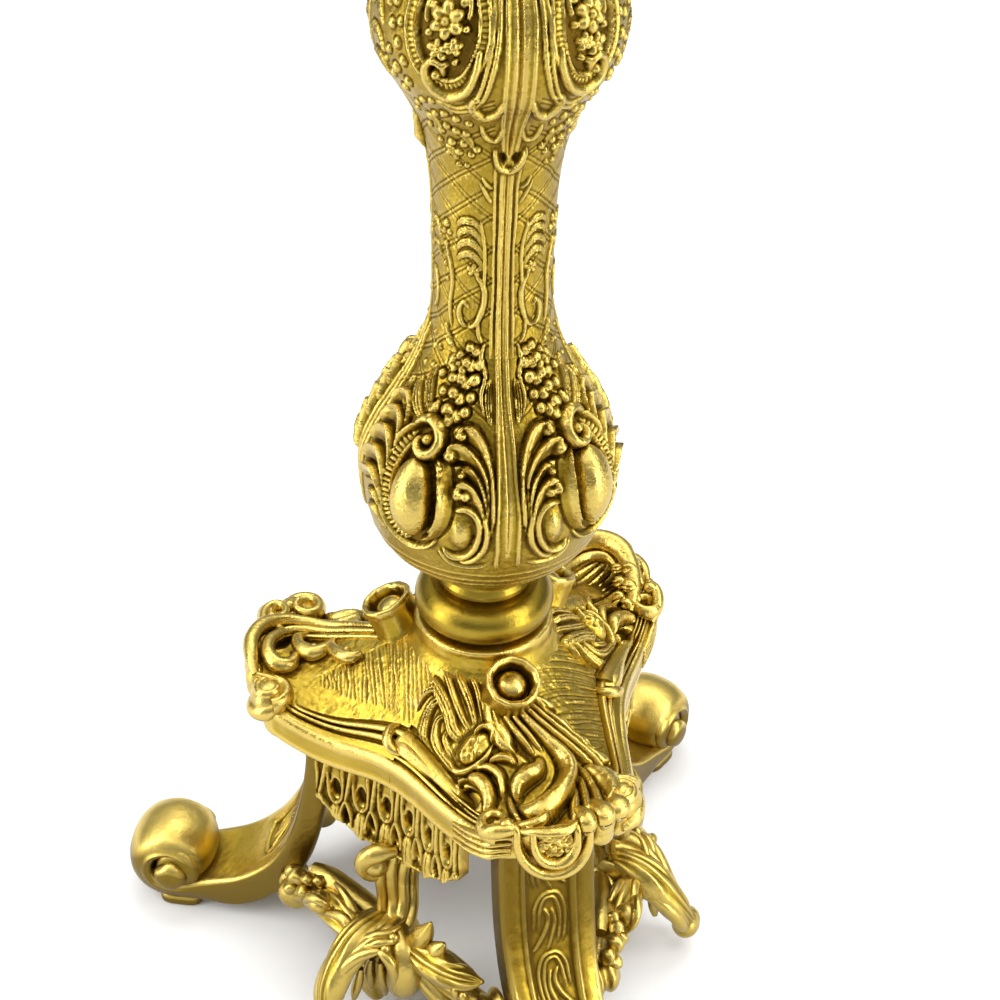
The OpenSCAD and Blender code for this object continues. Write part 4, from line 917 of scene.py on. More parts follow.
def blade(pc, pts, w, th, up=(0, 0, 1), rot=0.0, camber=0.3, ribs=3, rib_h=0.9, lobes=5, lobe_d=0.22, n=None, m=34, curl=0.0, sweepb=0.9, step=0.6):
    """an acanthus leaf: veined and cambered, with a lobed margin; w half width, th half thickness"""
    L = length(pts, 3)
    n = n or max(14, int(L * 1.08 / step))
    C, T, (W, H) = along(pts, n, (w, th))
    S, U = frame_of(T, up)
    t = np.linspace(0, 1, n)[:, None]
    s = np.linspace(-1, 1, m)
    sb = np.linspace(1, -1, m // 2 + 2)[1:-1]
    a = np.abs(s)[None, :]
    ph = lobes * t - sweepb * a ** 1.5
    notch = np.abs(np.sin(PI * ph)) ** 0.7
    edge = 1 - lobe_d * (1 - notch) * smooth(a, 0.45, 1.0)
    X = W[:, None] * s[None, :] * edge
    Z = W[:, None] * camber * (1 - s[None, :] ** 2) - W[:, None] * curl * a ** 3
    # mid vein, then fans of ribs that run out to the lobes
    vein = np.exp(-((s[None, :] / 0.11) ** 2)) * 1.0 - 0.8 * np.exp(-(((a - 0.2) / 0.09) ** 2))
    fan = np.cos(2 * PI * ph * 1.0) * smooth(a, 0.16, 0.5)
    fan2 = 0.35 * np.cos(2 * PI * (ribs * a - 0.6 * lobes * t))
    rel = rib_h * (0.75 * vein + 0.62 * fan + fan2 * smooth(a, 0.1, 0.4))
    taper = np.minimum(1, np.minimum(t, 1 - t) / 0.08) * np.minimum(1, (1 - a) / 0.1 + 0.25)
    top = Z + H[:, None] * np.sqrt(np.clip(1 - a ** 6, 0, 1)) + rel * taper
    Gt = C[:, None, :] + S[:, None, :] * X[..., None] + U[:, None, :] * top[..., None]
    ab = np.abs(sb)[None, :]
    phb = lobes * t - sweepb * ab ** 1.5
    eb = 1 - lobe_d * (1 - np.abs(np.sin(PI * phb)) ** 0.7) * smooth(ab, 0.45, 1.0)
    Xb = W[:, None] * sb[None, :] * eb
    bot = W[:, None] * camber * (1 - sb[None, :] ** 2) - W[:, None] * curl * ab ** 3 - H[:, None] * np.sqrt(np.clip(1 - ab ** 4, 0, 1))
    Gb = C[:, None, :] + S[:, None, :] * Xb[..., None] + U[:, None, :] * bot[..., None]
    G = turn(np.concatenate([Gt, Gb], 1), rot)
    pc.grid(G, cu=True, flip=outward(G), caps=("tip", "tip"))


def stalk(pc, pts, w, h=None, up=(0, 0, 1), rot=0.0, flutes=5, depth=0.12, twist=0.0, rings=None, m=44, step=0.6, power=1.0):
    """a fluted tube; rings = [(t, width, height)] are raised bands round it"""
    h = w if h is None else h
    n = max(12, int(length(pts, 3) * 1.08 / step))
    C, T, (W, H) = along(pts, n, (w, h))
    S, U = frame_of(T, up)
    t = np.linspace(0, 1, n)[:, None]
    p = np.linspace(0, 2 * PI, m, endpoint=False)[None, :]
    f = 1 + depth * (np.abs(np.cos(0.5 * flutes * (p + twist * t * 2 * PI))) - 0.6) * smooth(np.minimum(t, 1 - t), 0, 0.06) if flutes else np.ones((n, m))
    for (t0, tw, th) in (rings or []):
        f = f + th * np.exp(-(((t - t0) / tw) ** 2))
    cw, sh = np.cos(p), np.sin(p)
    if power != 1.0:
        cw = np.sign(cw) * np.abs(cw) ** power; sh = np.sign(sh) * np.abs(sh) ** power
    G = C[:, None, :] + S[:, None, :] * (W[:, None] * cw * f)[..., None] + U[:, None, :] * (H[:, None] * sh * f)[..., None]
    G = turn(G, rot)
    pc.grid(G, cu=True, flip=outward(G), caps=("tip", "tip"))


def blob(pc, c, a, b, h, rot=0.0, axis=(0, 0, 1), lobes=5, depth=0.12, spin=0.0, pinch=1.0, n=26, m=36, grooves=0.0):
    """a bud or knob: an oval body with soft lobes round its axis"""
    ax = np.asarray(axis, float); ax /= np.linalg.norm(ax)
    e1 = np.cross(ax, (0.31, 0.95, 0.11)); e1 /= np.linalg.norm(e1)
    e2 = np.cross(ax, e1)
    th = np.linspace(0.06, PI - 0.06, n)[:, None]
    p = np.linspace(0, 2 * PI, m, endpoint=False)[None, :]
    f = 1 + depth * np.cos(lobes * (p + spin * np.cos(th))) * np.sin(th) ** 1.5
    if grooves:
        f = f - grooves * np.exp(-((np.cos(th) - 0.25) / 0.08) ** 2)
    r = np.sin(th) ** pinch * f
    G = np.asarray(c, float) + (a * r * np.cos(p))[..., None] * e1 + (b * r * np.sin(p))[..., None] * e2 + (h * np.cos(th) * (1 + 0 * p))[..., None] * ax
    G = turn(G, rot)
    pc.grid(G, cu=True, flip=outward(G), caps=("tip", "tip"))


def cup_frame(rot):
    """maps points about +z to the cup's tilted axis"""
    def f(G):
        t = TILT * D2R
        x, y, z = G[..., 0], G[..., 1], G[..., 2]
        y, z = y * math.cos(t) - z * math.sin(t), y * math.sin(t) + z * math.cos(t)
        y = y - CUP_R; z = z + float(skin(CUP_R, 0.0))
        a = (CUP_AZ + rot) * D2R
        return np.stack([x * math.cos(a) - y * math.sin(a), x * math.sin(a) + y * math.cos(a), z], -1)
    return f


def canopy_ornament(seed, kind="hook"):
    """drawn on a cone of slope one half; cone_uv() says where a point of the real surface falls on it"""
    cv = Canvas(-80, 80, 10, 120, 0.42)
    S = cv.stroke
    g = np.random.default_rng(seed)
    R = dict(cut=0.8, ends=(0.1, 0.1))
    # the ground swells under the leaves and sinks in front of the hook
    cv.ell(-30, 40, 22, 26, 1.6, prof="soft", mode="add")
    cv.ell(-2, 62, 16, 18, 1.2, prof="soft", mode="add")
    cv.ell(-8, 88.5, 13, 4.6, 3.6, prof="soft", mode="cut")
    # comb-textured field on the right half
    y0 = 26.0
    while y0 < 92:
        x1 = 7.5 + max(0.0, (y0 - 42) * (0.27 if kind == "roll" else 0.46))
        wv = g.uniform(-0.6, 0.6, 4)
        x2 = (48 if kind == "roll" else 56) - 0.60 * max(0, y0 - 26)
        if x2 - x1 > 4:
            q = 0.24 + 0.06 * math.sin(y0 * 0.3)
            S([(x1, y0 + wv[0]), (x1 + (x2 - x1) * 0.33, y0 - (x2 - x1) * 0.33 * q + wv[1]), (x1 + (x2 - x1) * 0.66, y0 - (x2 - x1) * 0.66 * q + wv[2]), (x2, y0 - (x2 - x1) * q + wv[3])],
              0.55, g.uniform(0.30, 0.62), prof="soft", mode="cut", ends=(0.04, 0.06))
            if g.uniform() < 0.6:
                f0 = g.uniform(0.1, 0.6); f1 = f0 + g.uniform(0.15, 0.35)
                S([(x1 + (x2 - x1) * f0, y0 + 0.8 - (x2 - x1) * f0 * q), (x1 + (x2 - x1) * f1, y0 + 0.8 - (x2 - x1) * f1 * q)], 0.45, 0.55, prof="soft", mode="add", ends=(0.2, 0.2))
        y0 += g.uniform(1.35, 1.8)
    # leaf tips that overlap the field, with a dark hollow under each
    for (x, y, k) in ((9.5, 47, 0.9), (13.5, 55, 1.0), (19.5, 62.5, 1.1), (26, 69.5, 1.0)) if kind != "roll" else ():
        cv.ell(x + 3.8 * k, y + 2.0, 2.6 * k, 2.0 * k, 2.2, rot=-20, prof="soft", mode="cut")
        S([(x - 5 * k, y - 6.5 * k), (x - 2 * k, y - 2.5 * k), (x + 1.6 * k, y - 0.6 * k), (x + 4.8 * k, y - 0.4)], [1.2, 2.3 * k, 2.3 * k, 1.0], [1.4, 2.6, 2.4, 1.2], prof="round", ends=(0.1, 0.16))
    # acanthus strands on the left half, from the drum to the rail: broad and smooth, each overlapping the next
    A = dict(cut=0.5, ends=(0.08, 0.12))

    def SA(pts, w, h, **k):
        S(pts, w, h, **k)
        S(pts, 0.42, 1.15, prof="soft", mode="cut", ends=(0.12, 0.14))
        if max(w) > 2.2:
            for o in (-1.25, 1.25):
                S([(x + o, y + 0.25 * o) for x, y in pts], 0.3, 0.7, prof="soft", mode="cut", ends=(0.16, 0.18))
    SA([(-53, 17), (-51.5, 28), (-48.5, 38), (-44.0, 47.5), (-38.5, 56.5)], [1.6, 2.1, 2.2, 2.1, 1.2], [1.4, 2.2, 2.4, 2.2, 1.4], **A)
    SA([(-47.5, 17), (-46.8, 28), (-44.4, 38), (-40.6, 46.5), (-36.6, 54)], [1.6, 2.2, 2.4, 2.2, 1.2], [1.6, 2.8, 3.0, 2.8, 1.6], **A)
    SA([(-28.5, 28.0), (-32.5, 26.4), (-37.6, 28.6), (-41.2, 34), (-41.0, 41.5), (-38.0, 49), (-34.8, 56)], [1.1, 1.8, 2.3, 2.5, 2.4, 2.1, 1.2], [2.2, 3.2, 3.8, 3.8, 3.6, 3.0, 1.8], **A)
    SA([(-30.2, 33.8), (-33.4, 32.6), (-36.4, 35.8), (-37.0, 41.8), (-35.6, 49), (-33.8, 56)], [0.9, 1.6, 2.0, 2.1, 1.8, 1.0], [2.2, 3.0, 3.6, 3.6, 3.0, 1.8], **A)
    SA([(-31.2, 39.0), (-33.0, 39.6), (-33.6, 44), (-33.2, 49)], [0.8, 1.4, 1.5, 0.8], [2.0, 3.0, 3.0, 1.8], **A)
    SA([(-31.5, 18), (-29.8, 26), (-29.0, 34), (-29.6, 40), (-28.4, 45.0)], [1.6, 2.4, 2.8, 2.6, 1.6], [2.2, 3.6, 4.2, 4.0, 2.4], **A)
    SA([(-25.5, 17), (-25.3, 27), (-25.0, 36), (-24.0, 45.5)], [1.0, 1.5, 1.6, 1.0], [2.0, 3.2, 3.4, 2.0], **A)
    SA([(-21.8, 19), (-20.9, 27), (-20.3, 36), (-21.4, 45)], [1.1, 1.8, 1.8, 1.0], [2.4, 3.8, 3.8, 2.0], **A)
    SA([(-17.2, 25), (-16.2, 31), (-16.6, 38), (-18.2, 45.5)], [0.9, 1.4, 1.5, 0.9], [1.8, 3.0, 3.0, 1.8], **A)
    SA([(-40, 22.5), (-35, 20.5), (-30.5, 22.5)], [1.0, 1.7, 0.9], [1.6, 2.8, 1.6], **A)
    SA([(-45, 14), (-40, 14.5), (-36, 17.5)], [1.0, 1.7, 0.9], [1.6, 2.6, 1.6], **A)
    if kind == "arch":
        # deep hollow under the arched roll, two ridges that run into it
        cv.ell(-3, 79, 14, 16, 6.5, prof="soft", mode="cut")
        for k in range(6):
            S([(-14.5 + 4.2 * k, 64 + 0.8 * k), (-13.0 + 3.9 * k, 77), (-10.5 + 3.3 * k, 92 - 0.5 * k)], [0.7, 1.5, 0.8], 2.6, prof="soft", mode="cut", ends=(0.2, 0.2))
        S([(-12.4, 34), (-14.0, 44), (-13.2, 53), (-11.4, 62)], [1.6, 3.4, 4.2, 1.6], [2.2, 4.4, 4.8, 2.4], **R)
        S([(-4.4, 40), (-1.2, 50.5), (3.6, 60), (8.0, 70), (9.0, 80)], [1.0, 2.0, 2.8, 3.0, 1.6], [1.8, 3.4, 4.4, 4.6, 2.4], **R)
        S([(-8.2, 39), (-6.6, 49), (-3.2, 58), (-0.4, 67)], [0.8, 1.5, 1.6, 0.8], [1.6, 3.0, 3.0, 1.4], **R)
    if kind == "hook":
        # ridges from under the cup
        S([(-12.4, 34), (-14.0, 44), (-13.2, 53), (-11.4, 62)], [1.6, 3.4, 4.2, 1.6], [2.2, 4.4, 4.8, 2.4], **R)
        S([(-13.0, 42), (-13.8, 50), (-12.6, 57)], [0.4, 0.9, 0.4], 0.8, prof="soft", mode="cut", ends=(0.2, 0.2))
        S([(-10.2, 38), (-8.8, 49), (-5.8, 58.5), (-3.4, 66)], [0.9, 1.5, 1.6, 0.9], [1.8, 3.2, 3.2, 1.8], **R)
        S([(-7.2, 39), (-5.6, 49), (-2.2, 58), (0.6, 65.5)], [0.8, 1.3, 1.4, 0.8], [1.6, 2.8, 2.8, 1.6], **R)
        S([(-1.4, 42), (3.6, 52), (10.2, 61), (16.6, 69.5), (21.5, 77)], [0.9, 1.5, 1.8, 1.8, 1.1], [1.6, 3.0, 3.4, 3.4, 2.0], **R)
        S([(2.2, 43), (8.2, 52.5), (15.0, 60.5), (21.6, 68.5), (25.8, 75.5)], [0.8, 1.4, 1.6, 1.6, 1.0], [1.3, 2.6, 3.0, 3.0, 1.8], **R)
        S([(5.8, 44), (11.2, 51.5), (17.4, 58), (23.4, 65)], [0.7, 1.2, 1.3, 0.8], [1.0, 2.0, 2.2, 1.2], **R)
        # hollow behind the bright lobe in the crook of the hook
        S([(-10, 58), (-6, 64), (-3.6, 70)], [2.4, 3.4, 2.6], [1.5, 2.6, 1.8], prof="soft", mode="cut")
        S([(-17.2, 80.5), (-14.6, 75.4), (-9.4, 72.6), (-4.6, 71.6), (-1.4, 67.6)], [1.5, 3.2, 3.9, 3.2, 1.4], [3.0, 6.0, 6.6, 5.4, 2.8], **R)
        # shell lobes between the hook and the right end
        S([(8.6, 76), (7.4, 84), (4.0, 92.5)], [0.8, 2.0, 2.6], [2.2, 4.0, 3.4], cut=1.3, ends=(0.1, 0.25))
        S([(10.6, 75), (11.2, 84), (10.2, 93.5)], [0.8, 1.9, 2.6], [2.4, 4.4, 3.8], cut=1.3, ends=(0.1, 0.25))
        S([(12.4, 74), (15.2, 83), (16.2, 92.5)], [0.8, 2.0, 2.8], [2.4, 4.6, 4.2], cut=1.3, ends=(0.1, 0.25))
        S([(16.4, 75.0), (21.0, 80), (23.8, 86), (23.0, 91.5)], [1.6, 4.2, 5.0, 3.4], [3.0, 6.0, 6.4, 4.0], cut=1.3, ends=(0.1, 0.2))
        # the hook: one thick ridge that turns back under the lobe
        S([(-4.4, 40), (-1.2, 50.5), (3.6, 60), (7.6, 68), (8.2, 74.6), (4.4, 80.6), (-2.0, 84.2), (-8.6, 86.0), (-14.6, 85.4), (-17.6, 82.6)], [1.0, 1.7, 2.4, 3.2, 3.8, 4.0, 3.8, 3.4, 2.4, 1.3],
          [1.8, 3.4, 4.6, 6.0, 7.0, 7.4, 7.0, 6.0, 4.2, 2.4], cut=1.2, ends=(0.05, 0.07))
    # bud with its tail, and the small leaf below it
    cv.ell(-24.6, 51.2, 7.0, 5.4, 3.6, rot=8, cut=0.9)
    for _ in range(22):
        a_, r_ = g.uniform(0, 2 * PI), 1.0 * g.uniform(0, 1) ** 0.6
        cv.ell(-24.6 + 5.6 * r_ * math.cos(a_), 51.0 + 4.2 * r_ * math.sin(a_), g.uniform(1.1, 2.4), g.uniform(1.0, 1.7), g.uniform(0.3, 0.9), rot=g.uniform(-60, 60), prof="soft", mode="add" if g.uniform() < 0.7 else "cut")
    S([(-23, 46.8), (-18.6, 46.2), (-15.8, 49.6), (-18, 53.6)], [0.8, 1.3, 1.4, 0.8], 3.6, cut=0.5)
    S([(-34.6, 49.6), (-33.6, 54.2), (-28.6, 57.4), (-21.6, 57.2), (-17.2, 54.0)], [0.8, 1.3, 1.5, 1.3, 0.7], [1.8, 3.0, 3.2, 2.8, 1.6], cut=0.6)
    S([(-21.6, 60.0), (-17.2, 60.0), (-13.2, 63.2), (-12.4, 67)], [0.8, 1.8, 1.8, 0.8], 3.0, cut=0.7)
    # crescents round the rosette
    S([(-31.0, 59.6), (-27.4, 62.6), (-26.0, 68.6), (-27.2, 75), (-31.2, 79.6)], [1.2, 2.6, 3.2, 2.6, 1.3], [3.2, 5.6, 6.2, 5.4, 3.0], **R)
    S([(-27.4, 58.4), (-22.6, 61.0), (-19.6, 66.4), (-20.4, 73.0), (-22.4, 77)], [0.9, 1.7, 2.1, 1.7, 0.9], [2.0, 3.8, 4.2, 3.6, 1.8], **R)
    S([(-19.6, 77.6), (-20.2, 84), (-18.4, 90)], [0.9, 1.6, 0.9], [2.0, 3.2, 2.0], **R)
    S([(-16.4, 90.5), (-8.6, 93.6), (0, 93.4), (6, 91.0)], [0.8, 1.3, 1.3, 0.8], 2.2, cut=0.5)
    cv.ell(-33.6, 67.6, 3.9, 5.6, 4.6, rot=-6, prof="flat", mode="cut")
    S([(-36.6, 62.2), (-38.4, 68), (-36.8, 74.2), (-32.6, 78.4)], [0.8, 1.4, 1.5, 0.9], [2.0, 3.6, 3.8, 2.2], cut=0.5)
    S([(-36.4, 61.6), (-34.0, 58.8), (-31.4, 59.6)], [0.8, 1.2, 0.8], 3.2, cut=0.3)
    cv.grain(0.16, 3.0, seed + 2); cv.grain(0.12, 1.6, seed + 3); cv.grain(0.07, 0.8, seed + 4)
    return cv


def cone_uv(x, y, z):
    """where a point (corner's frame, y outwards) falls on the cone that the ornament is drawn on, along the line of sight from above"""
    d = np.zeros_like(x)
    for _ in range(6):
        r = np.hypot(x + 0.542 * d, y - 1.218 * d)
        d = 0.5 * d + 0.5 * (z - (185.5 - 0.5 * (r - 33)))
        d = np.maximum(d, -0.5)
    cone = smooth(y, 58, 72) * smooth(62 - np.abs(np.degrees(np.arctan2(x, y))), 0, 30)
    return x + 0.542 * d * cone, y - 1.218 * d * cone


def rail(a, d):
    """moulding along the rim: a is the azimuth in the corner's frame, d the distance in from the edge"""
    def bead(c, w, h):
        q = np.clip(np.abs(d - c) / w, 0, 1)
        return h * np.sqrt(1 - q * q)

    def dip(c, w, h):
        q = np.clip(np.abs(d - c) / w, 0, 1)
        return -h * (1 - q * q) ** 2
    right = smooth(a, 18, 25)
    left = smooth(-a, 25, 31)
    sw = smooth(-a, 30, 48)
    H = right * (bead(11.4, 1.3, 1.9) + bead(8.6, 1.2, 1.9) + dip(10.0, 0.8, 0.9) + dip(6.9, 0.9, 1.3) + dip(13.2, 1.0, 1.0) + 1.0 * np.exp(-((d - 3.4) / 2.6) ** 2))
    H = H + left * (bead(10.6 - 1.2 * sw, 3.2 + 0.6 * sw, 3.2 + 1.2 * sw) + bead(4.9, 0.8, 0.9) + bead(2.9, 0.8, 0.9) + dip(6.6, 1.2, 1.9) + dip(3.9, 0.6, 0.5) + dip(14.4, 1.0, 1.0))
    lw = smooth(-a, 11, 17) * (1 - smooth(-a, 28, 34))
    H = H + lw * (bead(9.4, 0.9, 1.4) + bead(7.0, 0.9, 1.5) + bead(4.6, 0.9, 1.5) + bead(2.3, 0.9, 1.3) + dip(8.2, 0.6, 0.6) + dip(5.8, 0.6, 0.6) + dip(3.5, 0.6, 0.6))
    mask = np.maximum(np.maximum(right, left) * (1 - smooth(d, 12.6, 14.6)), lw * (1 - smooth(d, 9.8, 11.0)))
    return H, mask


def rim(a):
    """the visible rim; the corners are drawn in by a hand's breadth of metal that the lips fill"""
    return rho(a) - 2.2 * smooth(24 - from_corner(a), 0, 8)


def canopy_sector(cv, rot, seed):
    n_az = 410
    q = 1
    a = np.linspace(-60, 60, n_az)
    e = rim(a)
    nA, nC, nD = 166 // q, 38 // q, 16 // q
    cols = []
    ri = 30.0
    rB = e - 3.2
    f = (np.arange(nA) / nA) ** 0.92
    for k in range(nA):
        r = ri + (rB - ri) * f[k]
        cols.append(np.stack([r, skin(r, a)], -1))
    zB = skin(rB, a)
    prof = np.array([(0.0, 0.0), (1.6, -0.2), (2.7, -1.2), (3.2, -2.8), (3.2, -6.5), (3.0, -9.5), (3.4, -11.8), (3.3, -13.6), (2.2, -14.6), (0.4, -14.8), (-1.2, -14.2)])
    pc_ = curve(prof, nC)
    cor = smooth(22.5 - np.abs(a), 0, 6)
    for k in range(nC):
        t = k / (nC - 1)
        cols.append(np.stack([rB + pc_[k, 0] - cor * 2.6 * t, zB + pc_[k, 1] * (1 + 0.12 * cor)], -1))
    rE, zE = cols[-1][:, 0], cols[-1][:, 1]
    for k in range(nD):
        t = (k + 1) / nD
        r = rE + (ri - rE) * t
        zu = skin(r, a) - 5
        z = zE + (zu - zE) * smooth(t, 0, 0.16)
        cols.append(np.stack([r, np.minimum(z, zu)], -1))
    C = np.stack(cols, 1)
    A = a[:, None] * D2R * np.ones(C.shape[1])[None, :]
    x = C[..., 0] * np.sin(A); y = C[..., 0] * np.cos(A); z = C[..., 1]
    Gt = turn(np.stack([x, y, z], -1), rot)
    N = grid_normals(Gt)
    H = np.zeros(x.shape)
    us, vs = cone_uv(x[:, :nA], y[:, :nA], z[:, :nA])
    top = cv.at(us, vs)
    rl, mask = rail(np.broadcast_to(a[:, None], top.shape), (e[:, None] + 0 * top) - C[:, :nA, 0])
    top = top * (1 - mask) + rl
    top *= smooth(C[:, :nA, 0], 31, 34)
    # at the corner the leaves fade into the lip
    lipz = cor[:, None] * smooth(C[:, :nA, 0] - (e[:, None] - 6.5), 0, 3)
    H[:, :nA] = top * (1 - 0.8 * lipz)
    tt = np.linspace(0, 1, nC)[None, :]
    H[:, nA:nA + nC] += soft_noise((n_az, nC), 30 / q, seed + 8, 0.22) + (1 - smooth(tt, 0, 0.35)) * H[:, nA - 1:nA]
    # the corner's upright face is broken into rounded lobes on the right
    arc = np.interp(a, [-60, 60], [-110, 110])
    lob = np.abs(np.sin(PI * np.clip((arc - 8) / 11.0, 0, 2.6))) ** 0.6
    H[:, nA:nA + nC] += cor[:, None] * lob[:, None] * 3.4 * np.sin(PI * np.clip((tt - 0.1) / 0.9, 0, 1)) ** 0.7
    return Gt + N * H[..., None]


def on_rim(x, z, out=0.0):
    """a point on the corner's upright face"""
    y = 105.0
    for _ in range(8):
        rr = float(rim(math.degrees(math.atan2(x, y)))) + out
        y = math.sqrt(max(1.0, rr * rr - x * x))
    return (x, y, z)


def canopy_scrolls(rot, seed, kind="hook"):
    """lips, volutes and lobes that stand on one corner"""
    P = Piece()

    def T(x, y, dz=0.0):
        return (x, y, skin_xy(x, y) + dz)

    def lipmod(t, ph):
        return 1 + 0.12 * np.cos(3 * ph + 0.6) * np.sin(PI * t) + 0.02 * np.sin(40 * t + ph)
    if kind == "roll":
        # a smooth roll that leaves the cup, goes round the corner and ends at the ball
        sweep(P, [T(-2.6, 43, 0.2), T(-5.4, 51, 1.4), T(-10.9, 61, 2.2), T(-15.5, 74, 3.2), T(-17.5, 86, 4.0), T(-15.0, 95.5, 4.2), T(-8.0, 102.6, 4.0), T(2.5, 105.4, 3.2), T(12.5, 103.2, 2.6), T(19.6, 100.0, 1.4)], [0.9, 1.2, 1.7, 2.2, 2.8, 3.4, 3.8, 3.8, 3.2, 1.6], [1.0, 1.4, 2.0, 2.6, 3.2, 3.8, 4.2, 4.0, 3.4, 1.6], rot=rot, m=34,
              mod=lambda t, ph: 1 + 0.04 * np.cos(2 * ph + 5 * t))
        # its outer face, down to the rim
        for x_, w_ in ((-13.0, 5.4), (-6.0, 6.2), (1.5, 6.4), (9.0, 6.2), (15.0, 5.2)):
            y_ = math.sqrt(max(1.0, float(rim(math.degrees(math.atan2(x_, 106)))) ** 2 - x_ * x_))
            blob(P, (x_, y_ - 2.4, skin_xy(x_, y_ - 3) - 4.6), w_, 4.4, 7.4, rot=rot, axis=(0, -0.15, 1), lobes=2, depth=0.04, n=22, m=36)
        sweep(P, [T(1.2, 43.5, 0.2), T(-1.6, 51, 1.2), T(-6.2, 62, 1.8), T(-10.4, 74, 2.4), T(-12.0, 85, 2.8), T(-9.0, 92.6, 2.8), T(-1.0, 96, 2.0)], [0.7, 1.0, 1.4, 1.8, 2.0, 1.8, 0.9], [0.8, 1.2, 1.8, 2.3, 2.6, 2.4, 1.2], rot=rot, m=26)
        sweep(P, [T(4.4, 44.5, 0.1), T(1.8, 52, 0.9), T(-1.8, 62, 1.4), T(-5.6, 73, 1.8), T(-7.6, 82.5, 2.0)], [0.6, 0.9, 1.3, 1.5, 0.8], [0.8, 1.1, 1.6, 1.9, 1.0], rot=rot, m=24)
        # three curled leaf lobes inside it, each with its hollow
        sweep(P, [T(-11.0, 88, 1.6), T(-6.0, 94.0, 3.4), T(1.5, 97.2, 4.0), T(9.4, 96.0, 4.2), T(13.8, 91.0, 4.0), T(12.4, 85.6, 3.4), T(7.0, 84.4, 2.6), T(4.0, 87.0, 1.4)], [1.2, 2.4, 3.0, 3.4, 3.6, 3.2, 2.2, 1.0], [1.4, 2.8, 3.6, 4.0, 4.0, 3.4, 2.4, 1.0], rot=rot, m=32)
        sweep(P, [T(-9.6, 82, 1.6), T(-3.6, 85.4, 3.2), T(3.4, 82.6, 4.0), T(7.0, 76.0, 4.0), T(4.0, 70.4, 3.2), T(-0.6, 71.4, 1.8)], [1.2, 2.6, 3.4, 3.4, 2.4, 1.0], [1.4, 3.0, 3.8, 3.8, 2.6, 1.0], rot=rot, m=32)
        sweep(P, [T(-3.6, 68, 1.2), T(3.4, 68.4, 2.8), T(10.2, 64.0, 3.8), T(13.6, 57.6, 3.6), T(11.4, 53.0, 2.4)], [1.0, 2.4, 3.2, 2.8, 1.2], [1.2, 2.8, 3.6, 3.0, 1.2], rot=rot, m=30)
        for x_, y_, r_ in ((9.0, 89.6, 2.0), (0.6, 77.2, 2.2), (7.0, 60.6, 2.0)):
            blob(P, T(x_, y_, 1.2), r_, r_, r_, rot=rot, lobes=3, depth=0.05, n=16, m=24)
        # larger rolled volutes at the far end of the roll
        sp = [(-21.0 + (7.6 - 4.6 * f) * math.cos((0.10 + 1.15 * f) * 2 * PI), 99.0 + (6.2 - 3.8 * f) * math.sin((0.10 + 1.15 * f) * 2 * PI), skin_xy(-21, 99) + 1.6 + 3.2 * f) for f in np.linspace(0, 1, 22)]
        sweep(P, sp, np.linspace(3.0, 1.5, 8), np.linspace(4.6, 2.4, 8), rot=rot, m=30)
        blob(P, T(-21.4, 103.4, -2.4), 8.6, 5.6, 6.0, rot=rot, axis=(0, -0.1, 1), lobes=2, depth=0.05, n=24, m=40)
        # thin raised edge from the roll's end along the field to the rail
        sweep(P, [T(19.8, 99.4, 1.6), T(20.2, 93, 1.8), T(20.4, 87, 0.8), T(21.4, 81.5, -1.6)], [1.0, 1.7, 1.8, 1.0], [1.2, 1.9, 1.8, 1.0], rot=rot, m=24)
    if kind == "hook":
        # the leaf's edge turned up in rounded lobes, from the rosette side to the ball
        for v, w_, l_, dz in ((1.6, 3.2, 8.4, 0.8), (6.4, 3.8, 8.8, 0.6), (11.6, 4.2, 8.0, -0.2)):
            r1 = float(rim(v)) + 0.4
            pts = [(r_ * math.sin(v * D2R), r_ * math.cos(v * D2R), float(skin(r_, v)) + h_) for r_, h_ in ((r1 - l_ * 1.5, 0.2), (r1 - l_ * 0.9, 1.6 + dz), (r1 - l_ * 0.35, 2.0 + dz), (r1, 0.4 + dz), (r1 + 0.8, -3.6), (r1 - 0.2, -7.6))]
            sweep(P, pts, [w_ * 0.35, w_ * 0.8, w_, w_ * 1.05, w_ * 0.95, w_ * 0.4], [1.0, 2.0, 2.5, 2.7, 2.2, 1.0], rot=rot, m=30, mod=lambda t, ph: 1 + 0.10 * np.cos(2 * ph) * np.sin(PI * t))
    if kind == "arch":
